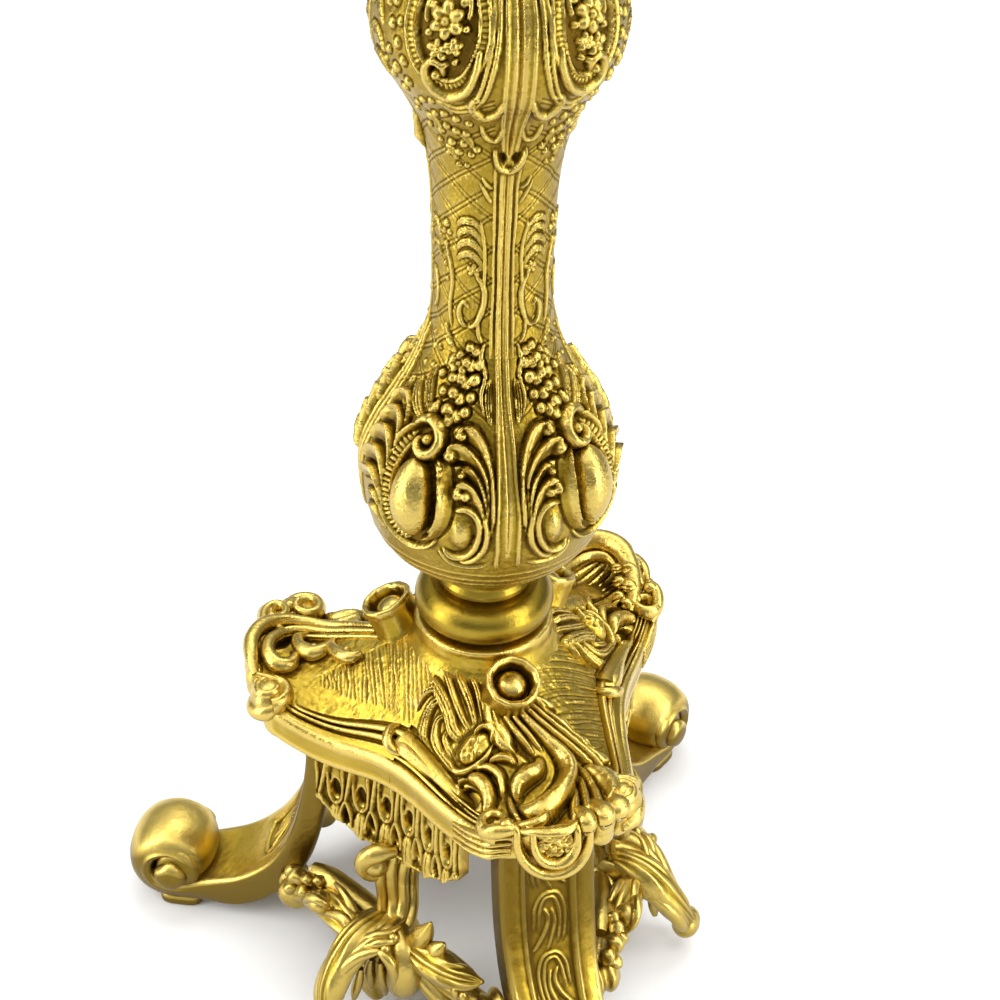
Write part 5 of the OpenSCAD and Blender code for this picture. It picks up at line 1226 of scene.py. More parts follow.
        # one broad smooth roll that springs from the cup, arches over the corner and breaks into a leaf
        sweep(P, [T(6, 47, 0.4), T(12, 60, 3.6), T(15.4, 72, 5.2), T(16, 84.5, 5.8), T(14.6, 95.5, 6.0), T(7.6, 102.6, 6.0), T(-3.4, 103.8, 6.0), T(-13.4, 99.0, 5.4), T(-21.8, 90.4, 4.6), T(-27.6, 79, 2.4)], [1.2, 3.2, 4.6, 5.2, 5.4, 5.4, 5.0, 4.2, 3.6, 1.6], [1.4, 3.4, 4.8, 5.6, 5.8, 5.8, 5.4, 4.6, 3.8, 1.8], rot=rot, m=44,
              mod=lambda t, ph: 1 + 0.04 * np.cos(2 * ph + 6 * t))
        sweep(P, [T(1.0, 48, 0.4), T(5.4, 60, 2.0), T(8.0, 72, 3.0), T(8.6, 84, 3.6), T(6.6, 93, 3.8), T(0.6, 97.6, 3.6), T(-7.0, 96.0, 3.0)], [0.8, 1.6, 2.2, 2.4, 2.4, 2.2, 1.0], [1.0, 2.0, 2.6, 3.0, 3.0, 2.6, 1.2], rot=rot, m=28)
        g = np.random.default_rng(seed + 5)
        for x_, y_, h_, r_ in ((-5.5, 106.0, 8.0, 3.2), (-9.5, 101.5, 9.6, 3.6), (-14.5, 101.0, 7.6, 3.2), (-15.5, 95.6, 9.4, 3.6), (-20.5, 94.0, 7.2, 3.4), (-20.8, 88.0, 8.6, 3.4), (-25.6, 86.4, 5.6, 3.2), (-25.0, 80.4, 6.4, 3.0), (-28.6, 76.6, 3.4, 2.6), (-9.0, 94.6, 6.2, 2.8), (-14.6, 89.0, 5.8, 3.0), (-19.2, 81.6, 5.0, 2.8)):
            blob(P, T(x_, y_, h_ - 2.6), r_ * 1.1, r_ * 0.9, r_, rot=rot, axis=(0.5 * g.uniform(-1, 1) - 0.2, 0.5 * g.uniform(-1, 1) + 0.3, 1.0), lobes=4, depth=0.2, spin=g.uniform(0, 3), grooves=0.10, pinch=0.8, n=20, m=34)
    # inner leaf scroll in the hollow
    sweep(P, [T(-24, 90, 0.0), T(-23, 96, 1.6), T(-17, 98.6, 2.4), T(-11.5, 97.0, 2.6), T(-11, 93.6, 2.8)], [1.0, 2.0, 2.3, 1.9, 1.0], [1.5, 2.8, 3.2, 2.8, 1.6], rot=rot, m=24)
    # back volute, a rising curl at the rosette side of the lip
    cx, cy = -30.5, 87.5
    b0 = skin_xy(cx, cy)
    bg = 1.36 if kind == "roll" else 1.0
    sp = [(cx + bg * (6.2 - 3.6 * f) * math.cos((0.30 + 1.05 * f) * 2 * PI), cy + bg * (6.2 - 3.6 * f) * math.sin((0.30 + 1.05 * f) * 2 * PI), b0 + 1.2 + 3.6 * f + 7 * (bg - 1) * (0.4 + 0.6 * f)) for f in np.linspace(0, 1, 20)]
    sweep(P, sp, np.linspace(2.9, 1.5, 8) * bg, np.linspace(4.4, 2.4, 8) * bg, rot=rot, m=26)
    if kind == "roll":
        blob(P, (cx, cy, b0 + 1.0), 8.4, 8.0, 5.0, rot=rot, axis=(0, 0, 1), lobes=2, depth=0.05, n=22, m=36)
    sweep(P, [T(-36.5, 84, 1.0), T(-35.5, 91, 3.6), T(-30.5, 96.0, 4.2), T(-24.5, 98.0, 3.0)], [1.6, 2.8, 2.8, 1.6], [1.8, 3.4, 3.4, 1.8], rot=rot, m=26)
    blob(P, T(-28.5, 94.5, 5.6), 3.4, 3.0, 3.0, rot=rot, lobes=3, depth=0.08, n=18, m=26)
    # rolled ball volute at the other end
    bx, by = 25.5, 92.0
    b1 = skin_xy(bx, by)
    blob(P, (bx + 0.8, by + 0.6, b1 - 3.4), 9.0, 8.8, 8.0, rot=rot, axis=(0.55, 0.85, 0.1), lobes=2, depth=0.05, grooves=0.05, pinch=0.8, n=32, m=50)
    sp = [(bx + 0.6 + (8.6 - 5.0 * f) * math.cos((0.95 - 1.2 * f) * 2 * PI), by + (8.6 - 5.0 * f) * math.sin((0.95 - 1.2 * f) * 2 * PI), b1 - 0.6 + 4.2 * f) for f in np.linspace(0, 1, 22)]
    sweep(P, sp, np.linspace(3.3, 1.5, 8), np.linspace(4.6, 2.2, 8), rot=rot, m=30)
    sweep(P, [(30.5, 87, b1 - 2.0), (33.0, 92, b1 - 5.0), (29.5, 98.5, b1 - 7.5), (22, 101.5, b1 - 8.5)], [2.0, 3.6, 3.6, 2.0], [2.4, 4.4, 4.2, 2.2], rot=rot, m=26)
    if kind != "roll":
        # two thick nested rolls that rise over the lip and hang down in a U
        zt = float(skin(106, 6)) - 0.5
        for w_, dep, k_, o_ in ((14.6, 23.5, 3.2, 2.6), (9.0, 16.5, 2.8, 3.0)):
            pts = []
            for f in np.linspace(-1, 1, 15):
                g_ = math.cos(f * PI / 2)
                x = -11.0 + w_ * math.sin(f * PI / 2)
                zz = zt + 0.2 - (dep + 0.2) * max(0.0, g_) ** 0.7
                pts.append(on_rim(x, zz, o_ * (0.25 + 0.75 * g_ ** 0.5) - 0.10 * max(0.0, dep * g_ - 6)))
            x0, y0, z0 = pts[0]; x1, y1, z1 = pts[-1]
            pts = [(x0 - 1.2, y0 - 3.6, z0 + 0.6)] + pts + [(x1 + 1.2, y1 - 3.0, z1 + 1.0)]
            sweep(P, pts, [0.9, k_ * 0.7, k_ * 0.95, k_, k_ * 0.95, k_ * 0.7, 0.9], [0.9, k_ * 0.9, k_ + 0.8, k_ + 1.0, k_ + 0.8, k_ * 0.9, 0.9], rot=rot, m=34, up=(0, 1, 0), mod=lambda t, ph: 1 + 0.05 * np.cos(2 * ph + 9 * t))
        g = np.random.default_rng(seed)
        for k_ in range(24):
            a_, q_ = k_ * 2.399, math.sqrt((k_ + 0.5) / 24)
            x_, d_ = -11.0 + 7.0 * q_ * math.cos(a_), 6.4 + 7.0 * q_ * math.sin(a_)
            r_ = g.uniform(1.2, 2.1)
            ax = (0.8 * g.uniform(-1, 1), 1.0, 0.8 * g.uniform(-1, 1))
            blob(P, on_rim(x_, zt - d_, -0.9 + 1.2 * g.uniform()), r_ * 0.8, r_ * g.uniform(1.3, 2.0), 2.6 + g.uniform(0, 1.0), rot=rot, axis=ax, lobes=4, depth=0.24, spin=g.uniform(0, 3), pinch=0.8, n=14, m=26)
        pts = [on_rim(x_, zt + z_, o_) for x_, z_, o_ in ((-24.0, -0.6, 0.4), (-19.0, 1.4, 1.6), (-12.5, 1.8, 2.0), (-6.5, 1.6, 1.4), (-2.0, 2.6, -0.6))]
        sweep(P, pts, [0.9, 1.7, 2.0, 1.8, 0.9], [1.1, 2.2, 2.6, 2.3, 1.1], rot=rot, m=30, up=(0, 1, 0))
    # strands that run from the rail under the rosette to the first roll
    for k in range(4):
        pts = []
        for f in np.linspace(0, 1, 7):
            v = -31.0 + 15.5 * f
            r_ = float(rim(v)) + 0.2 + 0.8 * math.sin(PI * f)
            pts.append((r_ * math.sin(v * D2R), r_ * math.cos(v * D2R), float(skin(r_, v)) - 1.6 - 3.2 * k + 0.5 * math.sin(3 * f + k)))
        sweep(P, pts, [0.6, 1.3, 1.4, 0.6], [0.6, 1.4, 1.5, 0.6], rot=rot, m=18, up=(0, 1, 0))
    # sleeve over the rail in the middle of the side, on the left
    am = np.linspace(-61.8, -36, 9)
    r2 = [float(rho(v)) - 8.6 for v in am]
    pts = [(r_ * math.sin(v * D2R), r_ * math.cos(v * D2R), float(skin(r_, v)) + 1.8) for r_, v in zip(r2, am)]
    sweep(P, pts, [3.4, 5.6, 5.4, 4.6, 3.4, 1.4], [2.0, 3.2, 3.0, 2.6, 2.0, 1.0], rot=rot, m=40, mod=lambda t, ph: 1 + 0.07 * np.cos(5 * ph + 1.2))
    hx, hy, hz = pts[0]
    sweep(P, [(hx - 1.5, hy + 5.4, hz - 3.0), (hx - 4.4, hy + 3.0, hz - 1.0), (hx - 4.6, hy - 1.4, hz + 1.4), (hx - 1.4, hy - 5.2, hz + 2.4), (hx + 3.0, hy - 6.0, hz + 2.2)],
          [1.0, 2.0, 2.4, 2.2, 1.0], [1.2, 2.2, 2.6, 2.4, 1.2], rot=rot, m=24)
    return P


def add_canopy():
    for i, (tag, rot) in enumerate((("front", 0.0), ("right", 120.0), ("left", 240.0))):
        kind = dict(front="hook", right="arch", left="roll")[tag]
        cv = canopy_ornament(300 + 10 * i, kind)
        G = canopy_sector(cv, rot, 320 + i)
        P = Piece()
        P.grid(G, cu=True, caps=("ngon", "ngon"))
        P.build("canopy_" + tag, M_CAN, nodes=("canopy",))
        canopy_scrolls(rot, 340 + i, kind).build("canopy_scrolls_" + tag, M_CAN, nodes=("canopy",))
    # drum, its hub below, and the three cups
    P = Piece()
    def uneven(z, ph):
        return 0.12 * np.sin(3 * ph + z) + 0.10 * np.sin(7 * ph - 0.6 * z) + 0.05 * np.sin(17 * ph), 0 * z * ph
    lathe(P, [(34.8, 180.5), (34.4, 183.6), (33.0, 186.0), (31.6, 188.4), (30.8, 191.4), (30.5, 194.6), (30.6, 196.6), (30.4, 197.8), (29.6, 198.4), (26, 198.5), (14.2, 198.5)], n=220, dense=70, mod=uneven)
    lathe(P, [(14.2, 174.2), (22.6, 174.2), (23.8, 175.2), (24.0, 180.0), (24.0, 183.0)], n=96)
    for k in range(3):
        F = cup_frame(120.0 * k)
        def lump(z, ph, k=k):
            return 0.18 * np.sin(5 * ph + k) * np.exp(-((z - 11) / 5.0) ** 2) + 0.12 * np.sin(11 * ph + 2 * k), 0.18 * np.sin(4 * ph + 2 * k) * (z > 8)
        lathe(P, [(14.5, -5.5), (13.6, -3.0), (12.4, -0.6), (11.7, 2.2), (11.4, 6.0), (11.5, 9.6), (11.9, 12.2), (11.9, 13.6), (11.2, 14.5), (10.2, 14.5), (9.2, 13.7), (8.7, 12.4), (8.5, 8.0), (8.4, 5.4), (7.2, 5.0), (0.4, 5.0)],
              n=120, dense=64, M=F, mod=lump, caps=(None, "tip"))
    P.build("canopy_drum", M_CAN, nodes=("canopy",))
    # the bolts' domed heads
    P = Piece()
    for k in range(3):
        def worn(z, ph, k=k):
            return 0.05 * np.sin(3 * ph + k), 0 * z * ph
        lathe(P, [(3.0, -9.0), (3.0, 4.6), (7.4, 4.8), (7.9, 5.6), (7.9, 6.6), (7.3, 7.3), (6.9, 7.8), (6.7, 8.8), (5.9, 10.6), (4.4, 11.9), (2.4, 12.7), (0.3, 12.9)], n=96, dense=60, M=cup_frame(120.0 * k), mod=worn, caps=("tip", "tip"))
    P.build("canopy_bolts_domes", M_TURN, nodes=("canopy_bolts",))


add_canopy()

# ---------------------------------------------------------------- legs
LEG_PATH = [(28.5, 174.6, 3.5, 13.5), (45, 166.4, 3.5, 13.5), (57, 160.4, 3.6, 14.0), (64.5, 155.2, 4.6, 17.0), (69.5, 147.5, 6.0, 21.5), (71.8, 134, 6.3, 22.8), (72.5, 114, 6.1, 23), (74.8, 93, 6.3, 23),
            (79.2, 71, 6.6, 22.8), (86.2, 49.6, 7.4, 22.0), (97.4, 32.0, 8.4, 21.0), (113.5, 18.6, 9.2, 20.0), (132, 12.4, 9.0, 19.2)]


def leg_path(n):
    P = [list(p) for p in LEG_PATH]
    # the roll: the strap winds up and in about (150, 24.6)
    for a, rad, h in ((-90, 15.6, 8.4), (-45, 16.0, 7.8), (0, 16.4, 7.4), (45, 16.4, 7.0), (90, 16.0, 6.6), (135, 15.2, 6.0), (180, 13.8, 5.4), (225, 11.8, 4.8), (270, 10.0, 4.3), (315, 8.6, 4.0), (360, 7.4, 3.7), (405, 6.2, 3.3), (440, 5.6, 2.8)):
        P.append([150 + rad * math.cos(a * D2R), 24.6 + rad * math.sin(a * D2R), h, 19.0])
    return curve(P, n), len(LEG_PATH)


def leg_ornament():
    cv = Canvas(-24, 24, 0, 260, 0.42)
    S = cv.stroke
    v0, v1 = 47.0, 172.0
    # sunk panel with a raised line each side, and a soft crown to the borders
    X, Y = np.meshgrid(cv.u, cv.v)
    inside = smooth(11.2 - np.abs(X), 0, 1.4) * smooth(Y, v0, v0 + 3) * smooth(v1 - Y, 0, 8)
    cv.H -= 1.3 * inside
    for s in (-1, 1):
        S([(s * 12.4, v0), (s * 12.4, 130), (s * 12.4, v1 - 3)], 1.1, 0.8, ends=(0.01, 0.02), mode="add")
        S([(s * 20.6, 40), (s * 20.6, 130), (s * 20.2, 176)], 0.8, 0.15, ends=(0.01, 0.02), prof="soft", mode="cut")
        S([(s * 16.6, 40), (s * 16.6, 130), (s * 16.4, 176)], 3.2, 0.35, ends=(0.01, 0.02), prof="soft", mode="add")
    S([(-12, v1 - 3), (0, v1 - 1), (12, v1 - 3)], 0.9, 1.0, ends=(0.05, 0.05), mode="add")
    # interlaced loops of thin double lines
    B = -1.3
    for s in (-1, 1):
        S([(s * 1.5, v0 + 3), (s * 4.5, v0 + 6), (s * 6.2, v0 + 11), (s * 5.6, v0 + 16.5), (s * 3.0, v0 + 19)], [0.5, 0.9, 0.9, 0.8, 0.4], 0.95, base=B, ends=(0.1, 0.1))
    v, k = v0 + 21, 0
    while v < v1 - 30:
        s = 1 if k % 2 == 0 else -1
        for off, hh in ((0.0, 1.0), (2.5, 0.85)):
            a = 6.8 - off
            S([(-s * (a - 0.6), v + 30), (-s * (a + 1.0), v + 20), (-s * (a + 0.6), v + 9 + off * 0.8), (-s * (a * 0.55), v + 1.6 + off), (s * (a * 0.35), v + 1.2 + off), (s * (a * 0.95), v + 7.5 + off * 0.9), (s * (a + 0.5), v + 15), (s * (a + 1.0), v + 21.5)],
              [0.55, 0.85, 0.9, 0.8, 0.8, 0.9, 0.8, 0.4], hh, base=B, ends=(0.08, 0.10))
        S([(s * 2.4, v + 9.0), (s * 0.2, v + 15), (s * 2.0, v + 22), (s * 5.8, v + 28), (s * 9.2, v + 32.0)], [0.5, 1.0, 1.2, 1.0, 0.5], 1.05, base=B, ends=(0.12, 0.12))
        S([(-s * 1.4, v + 10), (-s * 2.9, v + 18), (-s * 1.0, v + 26), (s * 2.0, v + 33)], [0.4, 0.9, 0.9, 0.4], 0.9, base=B, ends=(0.12, 0.12))
        S([(-s * 9.6, v + 12), (-s * 9.9, v + 19), (-s * 9.0, v + 26)], 0.45, 0.5, base=B, ends=(0.2, 0.2))
        v += 33.5; k += 1
    cv.grain(0.10, 5.0, 41); cv.grain(0.035, 0.9, 42)
    return cv


def add_leg(cv, tag, rot, seed):
    n = 520
    C, k = leg_path(n)
    T = np.gradient(C[:, :2], axis=0); T /= np.linalg.norm(T, axis=1)[:, None]
    N = np.stack([-T[:, 1], T[:, 0]], 1)
    s = np.concatenate([[0], np.cumsum(np.linalg.norm(np.diff(C[:, :2], axis=0), axis=1))])
    H, W = C[:, 2], C[:, 3]
    # how far the row is round the roll (0 on the strap, 1 once it has turned up)
    roll = smooth(s, 196, 226)
    rc = np.minimum(2.4 + 1.4 * roll, H * 0.85)
    nt, nb, ncn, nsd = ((88, 26, 4, 6))
    X, Y = [], []

    def col(x, y):
        X.append(x); Y.append(y)
    kt = np.linspace(-1, 1, nt)
    for q in kt:
        col((W - rc) * q, H + 0 * W)
    for a in np.linspace(90, 0, ncn + 2)[1:-1]:
        col(W - rc + rc * math.cos(a * D2R), H - rc + rc * math.sin(a * D2R))
    for f in np.linspace(0, 1, nsd):
        col(W + 0.9 * np.sin(PI * f) * roll, (H - rc) * (1 - f) + (-H + rc) * f)
    for a in np.linspace(0, -90, ncn + 2)[1:-1]:
        col(W - rc + rc * math.cos(a * D2R), -H + rc + rc * math.sin(a * D2R))
    for q in np.linspace(1, -1, nb):
        col((W - rc) * q, -H + 0 * W)
    for a in np.linspace(-90, -180, ncn + 2)[1:-1]:
        col(-(W - rc) + rc * math.cos(a * D2R), -H + rc + rc * math.sin(a * D2R))
    for f in np.linspace(0, 1, nsd):
        col(-W - 0.9 * np.sin(PI * f) * roll, (-H + rc) * (1 - f) + (H - rc) * f)
    for a in np.linspace(180, 90, ncn + 2)[1:-1]:
        col(-(W - rc) + rc * math.cos(a * D2R), H - rc + rc * math.sin(a * D2R))
    X = np.stack(X, 1); Y = np.stack(Y, 1)
    # the roll is crowned across: its outer face bulges, its sides fall back
    xn = X / W[:, None]
    outer = smooth(-Y / H[:, None], -0.9, 0.9)
    Y = Y + roll[:, None] * outer * 5.6 * (np.abs(xn) ** 2.4)
    X = X * (1 - roll[:, None] * 0.06 * outer)
    # relief on the strap's outer face
    rel = cv.at(X[:, :nt] * 23 / np.maximum(W[:, None], 17), np.broadcast_to(s[:, None], (n, nt)) + 0.0)
    edge = smooth(1 - np.abs(kt)[None, :], 0, 0.03)
    Y[:, :nt] += rel * edge * (1 - smooth(s, 214, 222))[:, None] * smooth(s, 38, 44)[:, None]
    Y += soft_noise(Y.shape, 26, seed, 0.16)
    r = C[:, 0][:, None] + N[:, 0][:, None] * Y
    z = np.maximum(C[:, 1][:, None] + N[:, 1][:, None] * Y, 0.6)
    G = turn(np.stack([X, r, z], -1), rot)
    P = Piece()
    P.grid(G, cu=True, flip=outward(G), caps=("ngon", "ngon"))
    # eye of the roll, a rounded block on each side
    for sg in (-1, 1):
        blob(P, (sg * 19.4, 149.4, 24.4), 8.4, 8.0, 4.6, rot=rot, axis=(sg, 0.0, 0.0), lobes=4, depth=0.05, pinch=0.6, n=24, m=40)
        blob(P, (sg * 16.2, 146.4, 27.2), 11.6, 11.0, 3.6, rot=rot, axis=(sg, 0.05, 0.02), lobes=3, depth=0.06, pinch=0.6, n=22, m=44)
    # pad under the roll
    prof = [(13.6, 0.0), (15.6, 0.0), (16.8, 0.8), (17.2, 2.2), (17.0, 4.4), (16.0, 6.6)]
    ph = np.linspace(0, 2 * PI, 72, endpoint=False)
    pr = curve(prof, 14)
    se = lambda c, e: np.sign(c) * np.abs(c) ** e
    Gp = np.stack([pr[:, 0][:, None] * se(np.cos(ph), 0.45)[None, :], 147.0 + pr[:, 0][:, None] * 0.66 * se(np.sin(ph), 0.45)[None, :], pr[:, 1][:, None] + 0 * ph[None, :]], -1)
    Gp = turn(Gp, rot)
    P.grid(Gp, cu=True, flip=outward(Gp), caps=("tip", "tip"))
    P.build("leg_" + tag + "_cast", M_LEG, nodes=("leg_" + tag,))


leg_cv = leg_ornament()
for tag, rot, sd in (("front", 0.0, 401), ("right", 120.0, 402), ("left", 240.0, 403)):
    add_leg(leg_cv, tag, rot, sd)


# ---------------------------------------------------------------- aprons
def apron_ornament():
    """u is the distance along the side from its middle, v the height"""
    cv = Canvas(-58, 58, 86, 144, 0.42)
    S = cv.stroke
    pitch = 13.0
    S([(-56, 139.0), (0, 139.0), (56, 139.0)], 1.6, 1.4, ends=(0, 0))
    for i in range(-4, 5):
        u = (i + 0.5) * pitch
        if abs(u) > 54:
            continue
        low = lower_edge(u)
        d = -0.05 * (u - 30) * 0.5
        # upper opening with a raised loop under it
        S([(u - 3.6, 134), (u - 3.8, 121), (u - 2.6, 112.6), (u, 109.8), (u + 2.6, 112.6), (u + 3.8, 121), (u + 3.6, 134)], 0.95, 1.7, ends=(0.06, 0.06), cut=0.4)
        # rounded leaf below the loop
        if low < 106:
            S([(u, 108.4), (u - 0.2 * d, 102), (u - 0.4 * d, low - 1.0)], [1.8, 3.8, 3.4], [1.4, 2.6, 2.8], prof="round", ends=(0.15, 0.02), cut=0.5)
            S([(u, 107), (u - 0.2 * d, 101), (u - 0.4 * d, low)], [0.3, 0.55, 0.4], 0.6, prof="soft", mode="cut", ends=(0.2, 0.1))
    for i in range(-4, 5):
        u = i * pitch
        low = lower_edge(u)
        d = -0.05 * (u - 30)
        # ridge between the loops, forking over the lower opening
        S([(u + 0.6 * d, 136), (u + 0.2 * d, 124), (u - 0.5 * d, 112.5)], [0.9, 1.3, 1.1], [1.6, 2.6, 2.4], ends=(0.05, 0.1), cut=0.5)
        for sg in (-1, 1):
            S([(u - 0.5 * d, 113.5), (u - 0.5 * d + sg * 1.8, 108.6), (u - 0.5 * d + sg * 2.8, 102.5), (u - 0.5 * d + sg * 2.4, max(low + 1, 96.5))], [0.8, 1.0, 1.0, 0.8], [2.2, 2.2, 2.0, 1.8], ends=(0.08, 0.04), cut=0.3)
    for i in range(-9, 9):
        u = (i + 0.5) * pitch / 2
        S([(u, 136.5), (u + 0.2, 130), (u, 126)], [0.4, 0.6, 0.4], 0.7, prof="soft", mode="add", ends=(0.2, 0.2))
    # rolled lower hem
    uu = np.linspace(-54, 54, 41)
    S([(float(x), float(lower_edge(x)) + 1.3) for x in uu], 1.3, 1.6, base=0.6, ends=(0.02, 0.02))
    # dark openings in two rows
    for i in range(6):
        u = (i - 2.5) * 13
        cv.ell(u, 118.4, 2.3, 5.9, 6.2, prof="flat", mode="cut")
    for i in range(5):
        u = (i - 2) * 13
        cv.ell(u + 0.025 * (u - 30), 103.2, 1.7, 4.8, 6.0, prof="flat", mode="cut")
    cv.grain(0.14, 1.6, 51); cv.grain(0.07, 0.8, 52)
    return cv


def lower_edge(u):
    a = np.abs(u)
    z = 141.5 - np.interp(a, [0, 12, 20, 31, 42, 47, 52, 56], [50.5, 50.0, 47.5, 41.5, 31.0, 26.0, 19, 16])
    return z - 0.5 * np.abs(np.sin(PI * np.asarray(u) / 13.0)) ** 0.8 + 0.3


def add_apron(cv, node, rot, seed):
    nu, nv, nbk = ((250, 74, 12))
    a = np.linspace(28, 92, 400)
    rr = rho(a) - 5.5
    x = rr * np.sin((a - 60) * D2R); y = rr * np.cos((a - 60) * D2R)
    L = np.concatenate([[0], np.cumsum(np.hypot(np.diff(x), np.diff(y)))]); L -= L[-1] / 2
    u = np.linspace(L[0] + 1, L[-1] - 1, nu)
    X = np.interp(u, L, x); Yy = np.interp(u, L, y)
    tx = np.gradient(X, u); ty = np.gradient(Yy, u)
    nx, ny = -ty / np.hypot(tx, ty), tx / np.hypot(tx, ty)
    if ny[nu // 2] < 0:
        nx, ny = -nx, -ny
    top = 141.6; low = lower_edge(u)
    rows = []
    f = np.linspace(0, 1, nv)
    Z = top + (low[:, None] - top) * f[None, :]
    Hh = cv.at(np.broadcast_to(u[:, None], Z.shape), np.clip(Z, 86.5, 143.5)) - 0.7
    Hh = np.maximum(Hh, -4.2)
    front = np.stack([X[:, None] + nx[:, None] * Hh, Yy[:, None] + ny[:, None] * Hh, Z], -1)
    fb = np.linspace(1, 0, nbk)
    Zb = top + (low[:, None] + 0.9 - top) * fb[None, :]
    back = np.stack([X[:, None] - nx[:, None] * 4.6 + 0 * Zb, Yy[:, None] - ny[:, None] * 4.6 + 0 * Zb, Zb], -1)
    G = turn(np.concatenate([front, back], 1), rot)
    P = Piece()
    P.grid(G, cu=True, flip=outward(G), caps=("ngon", "ngon"))
    # the two tabs for the screws
    for sg in (-12, 12):
        stalk(P, [(59 * math.sin(sg * D2R), 59 * math.cos(sg * D2R), 139.5), (50 * math.sin(sg * D2R), 50 * math.cos(sg * D2R), 139.5), (47.4 * math.sin(sg * D2R), 47.4 * math.cos(sg * D2R), 139.5)], [5, 5, 4.2], 2.0, rot=rot, flutes=0, m=28, power=0.5)
    P.build(node + "_cast", M_APR, nodes=(node,))


# painted shade on upright faces and painted light on upward ones, as in the other gilt materials
M_APR = gilt("gilt_apron", grain=1.3, rough=0.36, patina=0.85, painted_shade_keep=0.74, seed=17.0)
apron_cv = apron_ornament()
for node, rot, sd in (("apron_right", 60.0, 421), ("apron_rear", 180.0, 422), ("apron_left", 300.0, 423)):
    add_apron(apron_cv, node, rot, sd)


# ---------------------------------------------------------------- brackets
stalk_ = stalk
STRANDS = (
    ([(-6.6, 60.5, 92), (-7.6, 64.0, 84), (-7.2, 64.4, 76.5), (-6.1, 64.4, 63.0), (-5.2, 67.0, 54.8), (-8.6, 73.0, 49.6), (-12.2, 81.0, 45.0), (-13.6, 89.0, 39.6), (-13.9, 97.0, 32.0), (-13.0, 102.0, 22.5), (-10, 104, 17)], [1.6, 2.9, 3.0, 2.9, 3.0, 3.4, 3.8, 4.0, 4.0, 3.2, 1.4]),
    ([(-2.0, 59.5, 93), (-2.6, 62.0, 84), (-2.2, 62.4, 76.3), (-0.4, 63.4, 63.4), (1.0, 67.0, 57.5), (-0.2, 75.0, 55.6), (-4.0, 82.0, 51.6), (-7.4, 90.0, 45.4), (-9.6, 96.0, 37.4), (-10.2, 101.0, 28.0), (-8, 103.5, 20)], [1.6, 2.8, 2.9, 2.8, 3.0, 3.3, 3.7, 4.0, 4.0, 3.4, 1.6]),
    ([(2.6, 57.0, 93), (2.0, 58.6, 84), (1.8, 59.4, 74.4), (3.8, 61.4, 64.4), (5.1, 66.0, 58.6), (5.3, 74.5, 58.0), (2.3, 82.0, 55.0), (-1.6, 88.0, 50.0), (-5.4, 94.0, 43.0), (-7.6, 99.0, 34.5), (-7.4, 102.5, 25)], [1.6, 2.8, 2.9, 2.8, 3.0, 3.2, 3.2, 3.2, 3.2, 2.8, 1.4]),
    ([(4.6, 53.4, 93), (3.6, 53.6, 82), (3.4, 54.4, 70.1), (6.0, 57.4, 61.3), (8.3, 62.0, 56.9), (9.3, 67.0, 53.3), (10.4, 71.0, 48.6)], [1.8, 3.0, 3.1, 3.0, 3.0, 2.6, 1.2]),
)


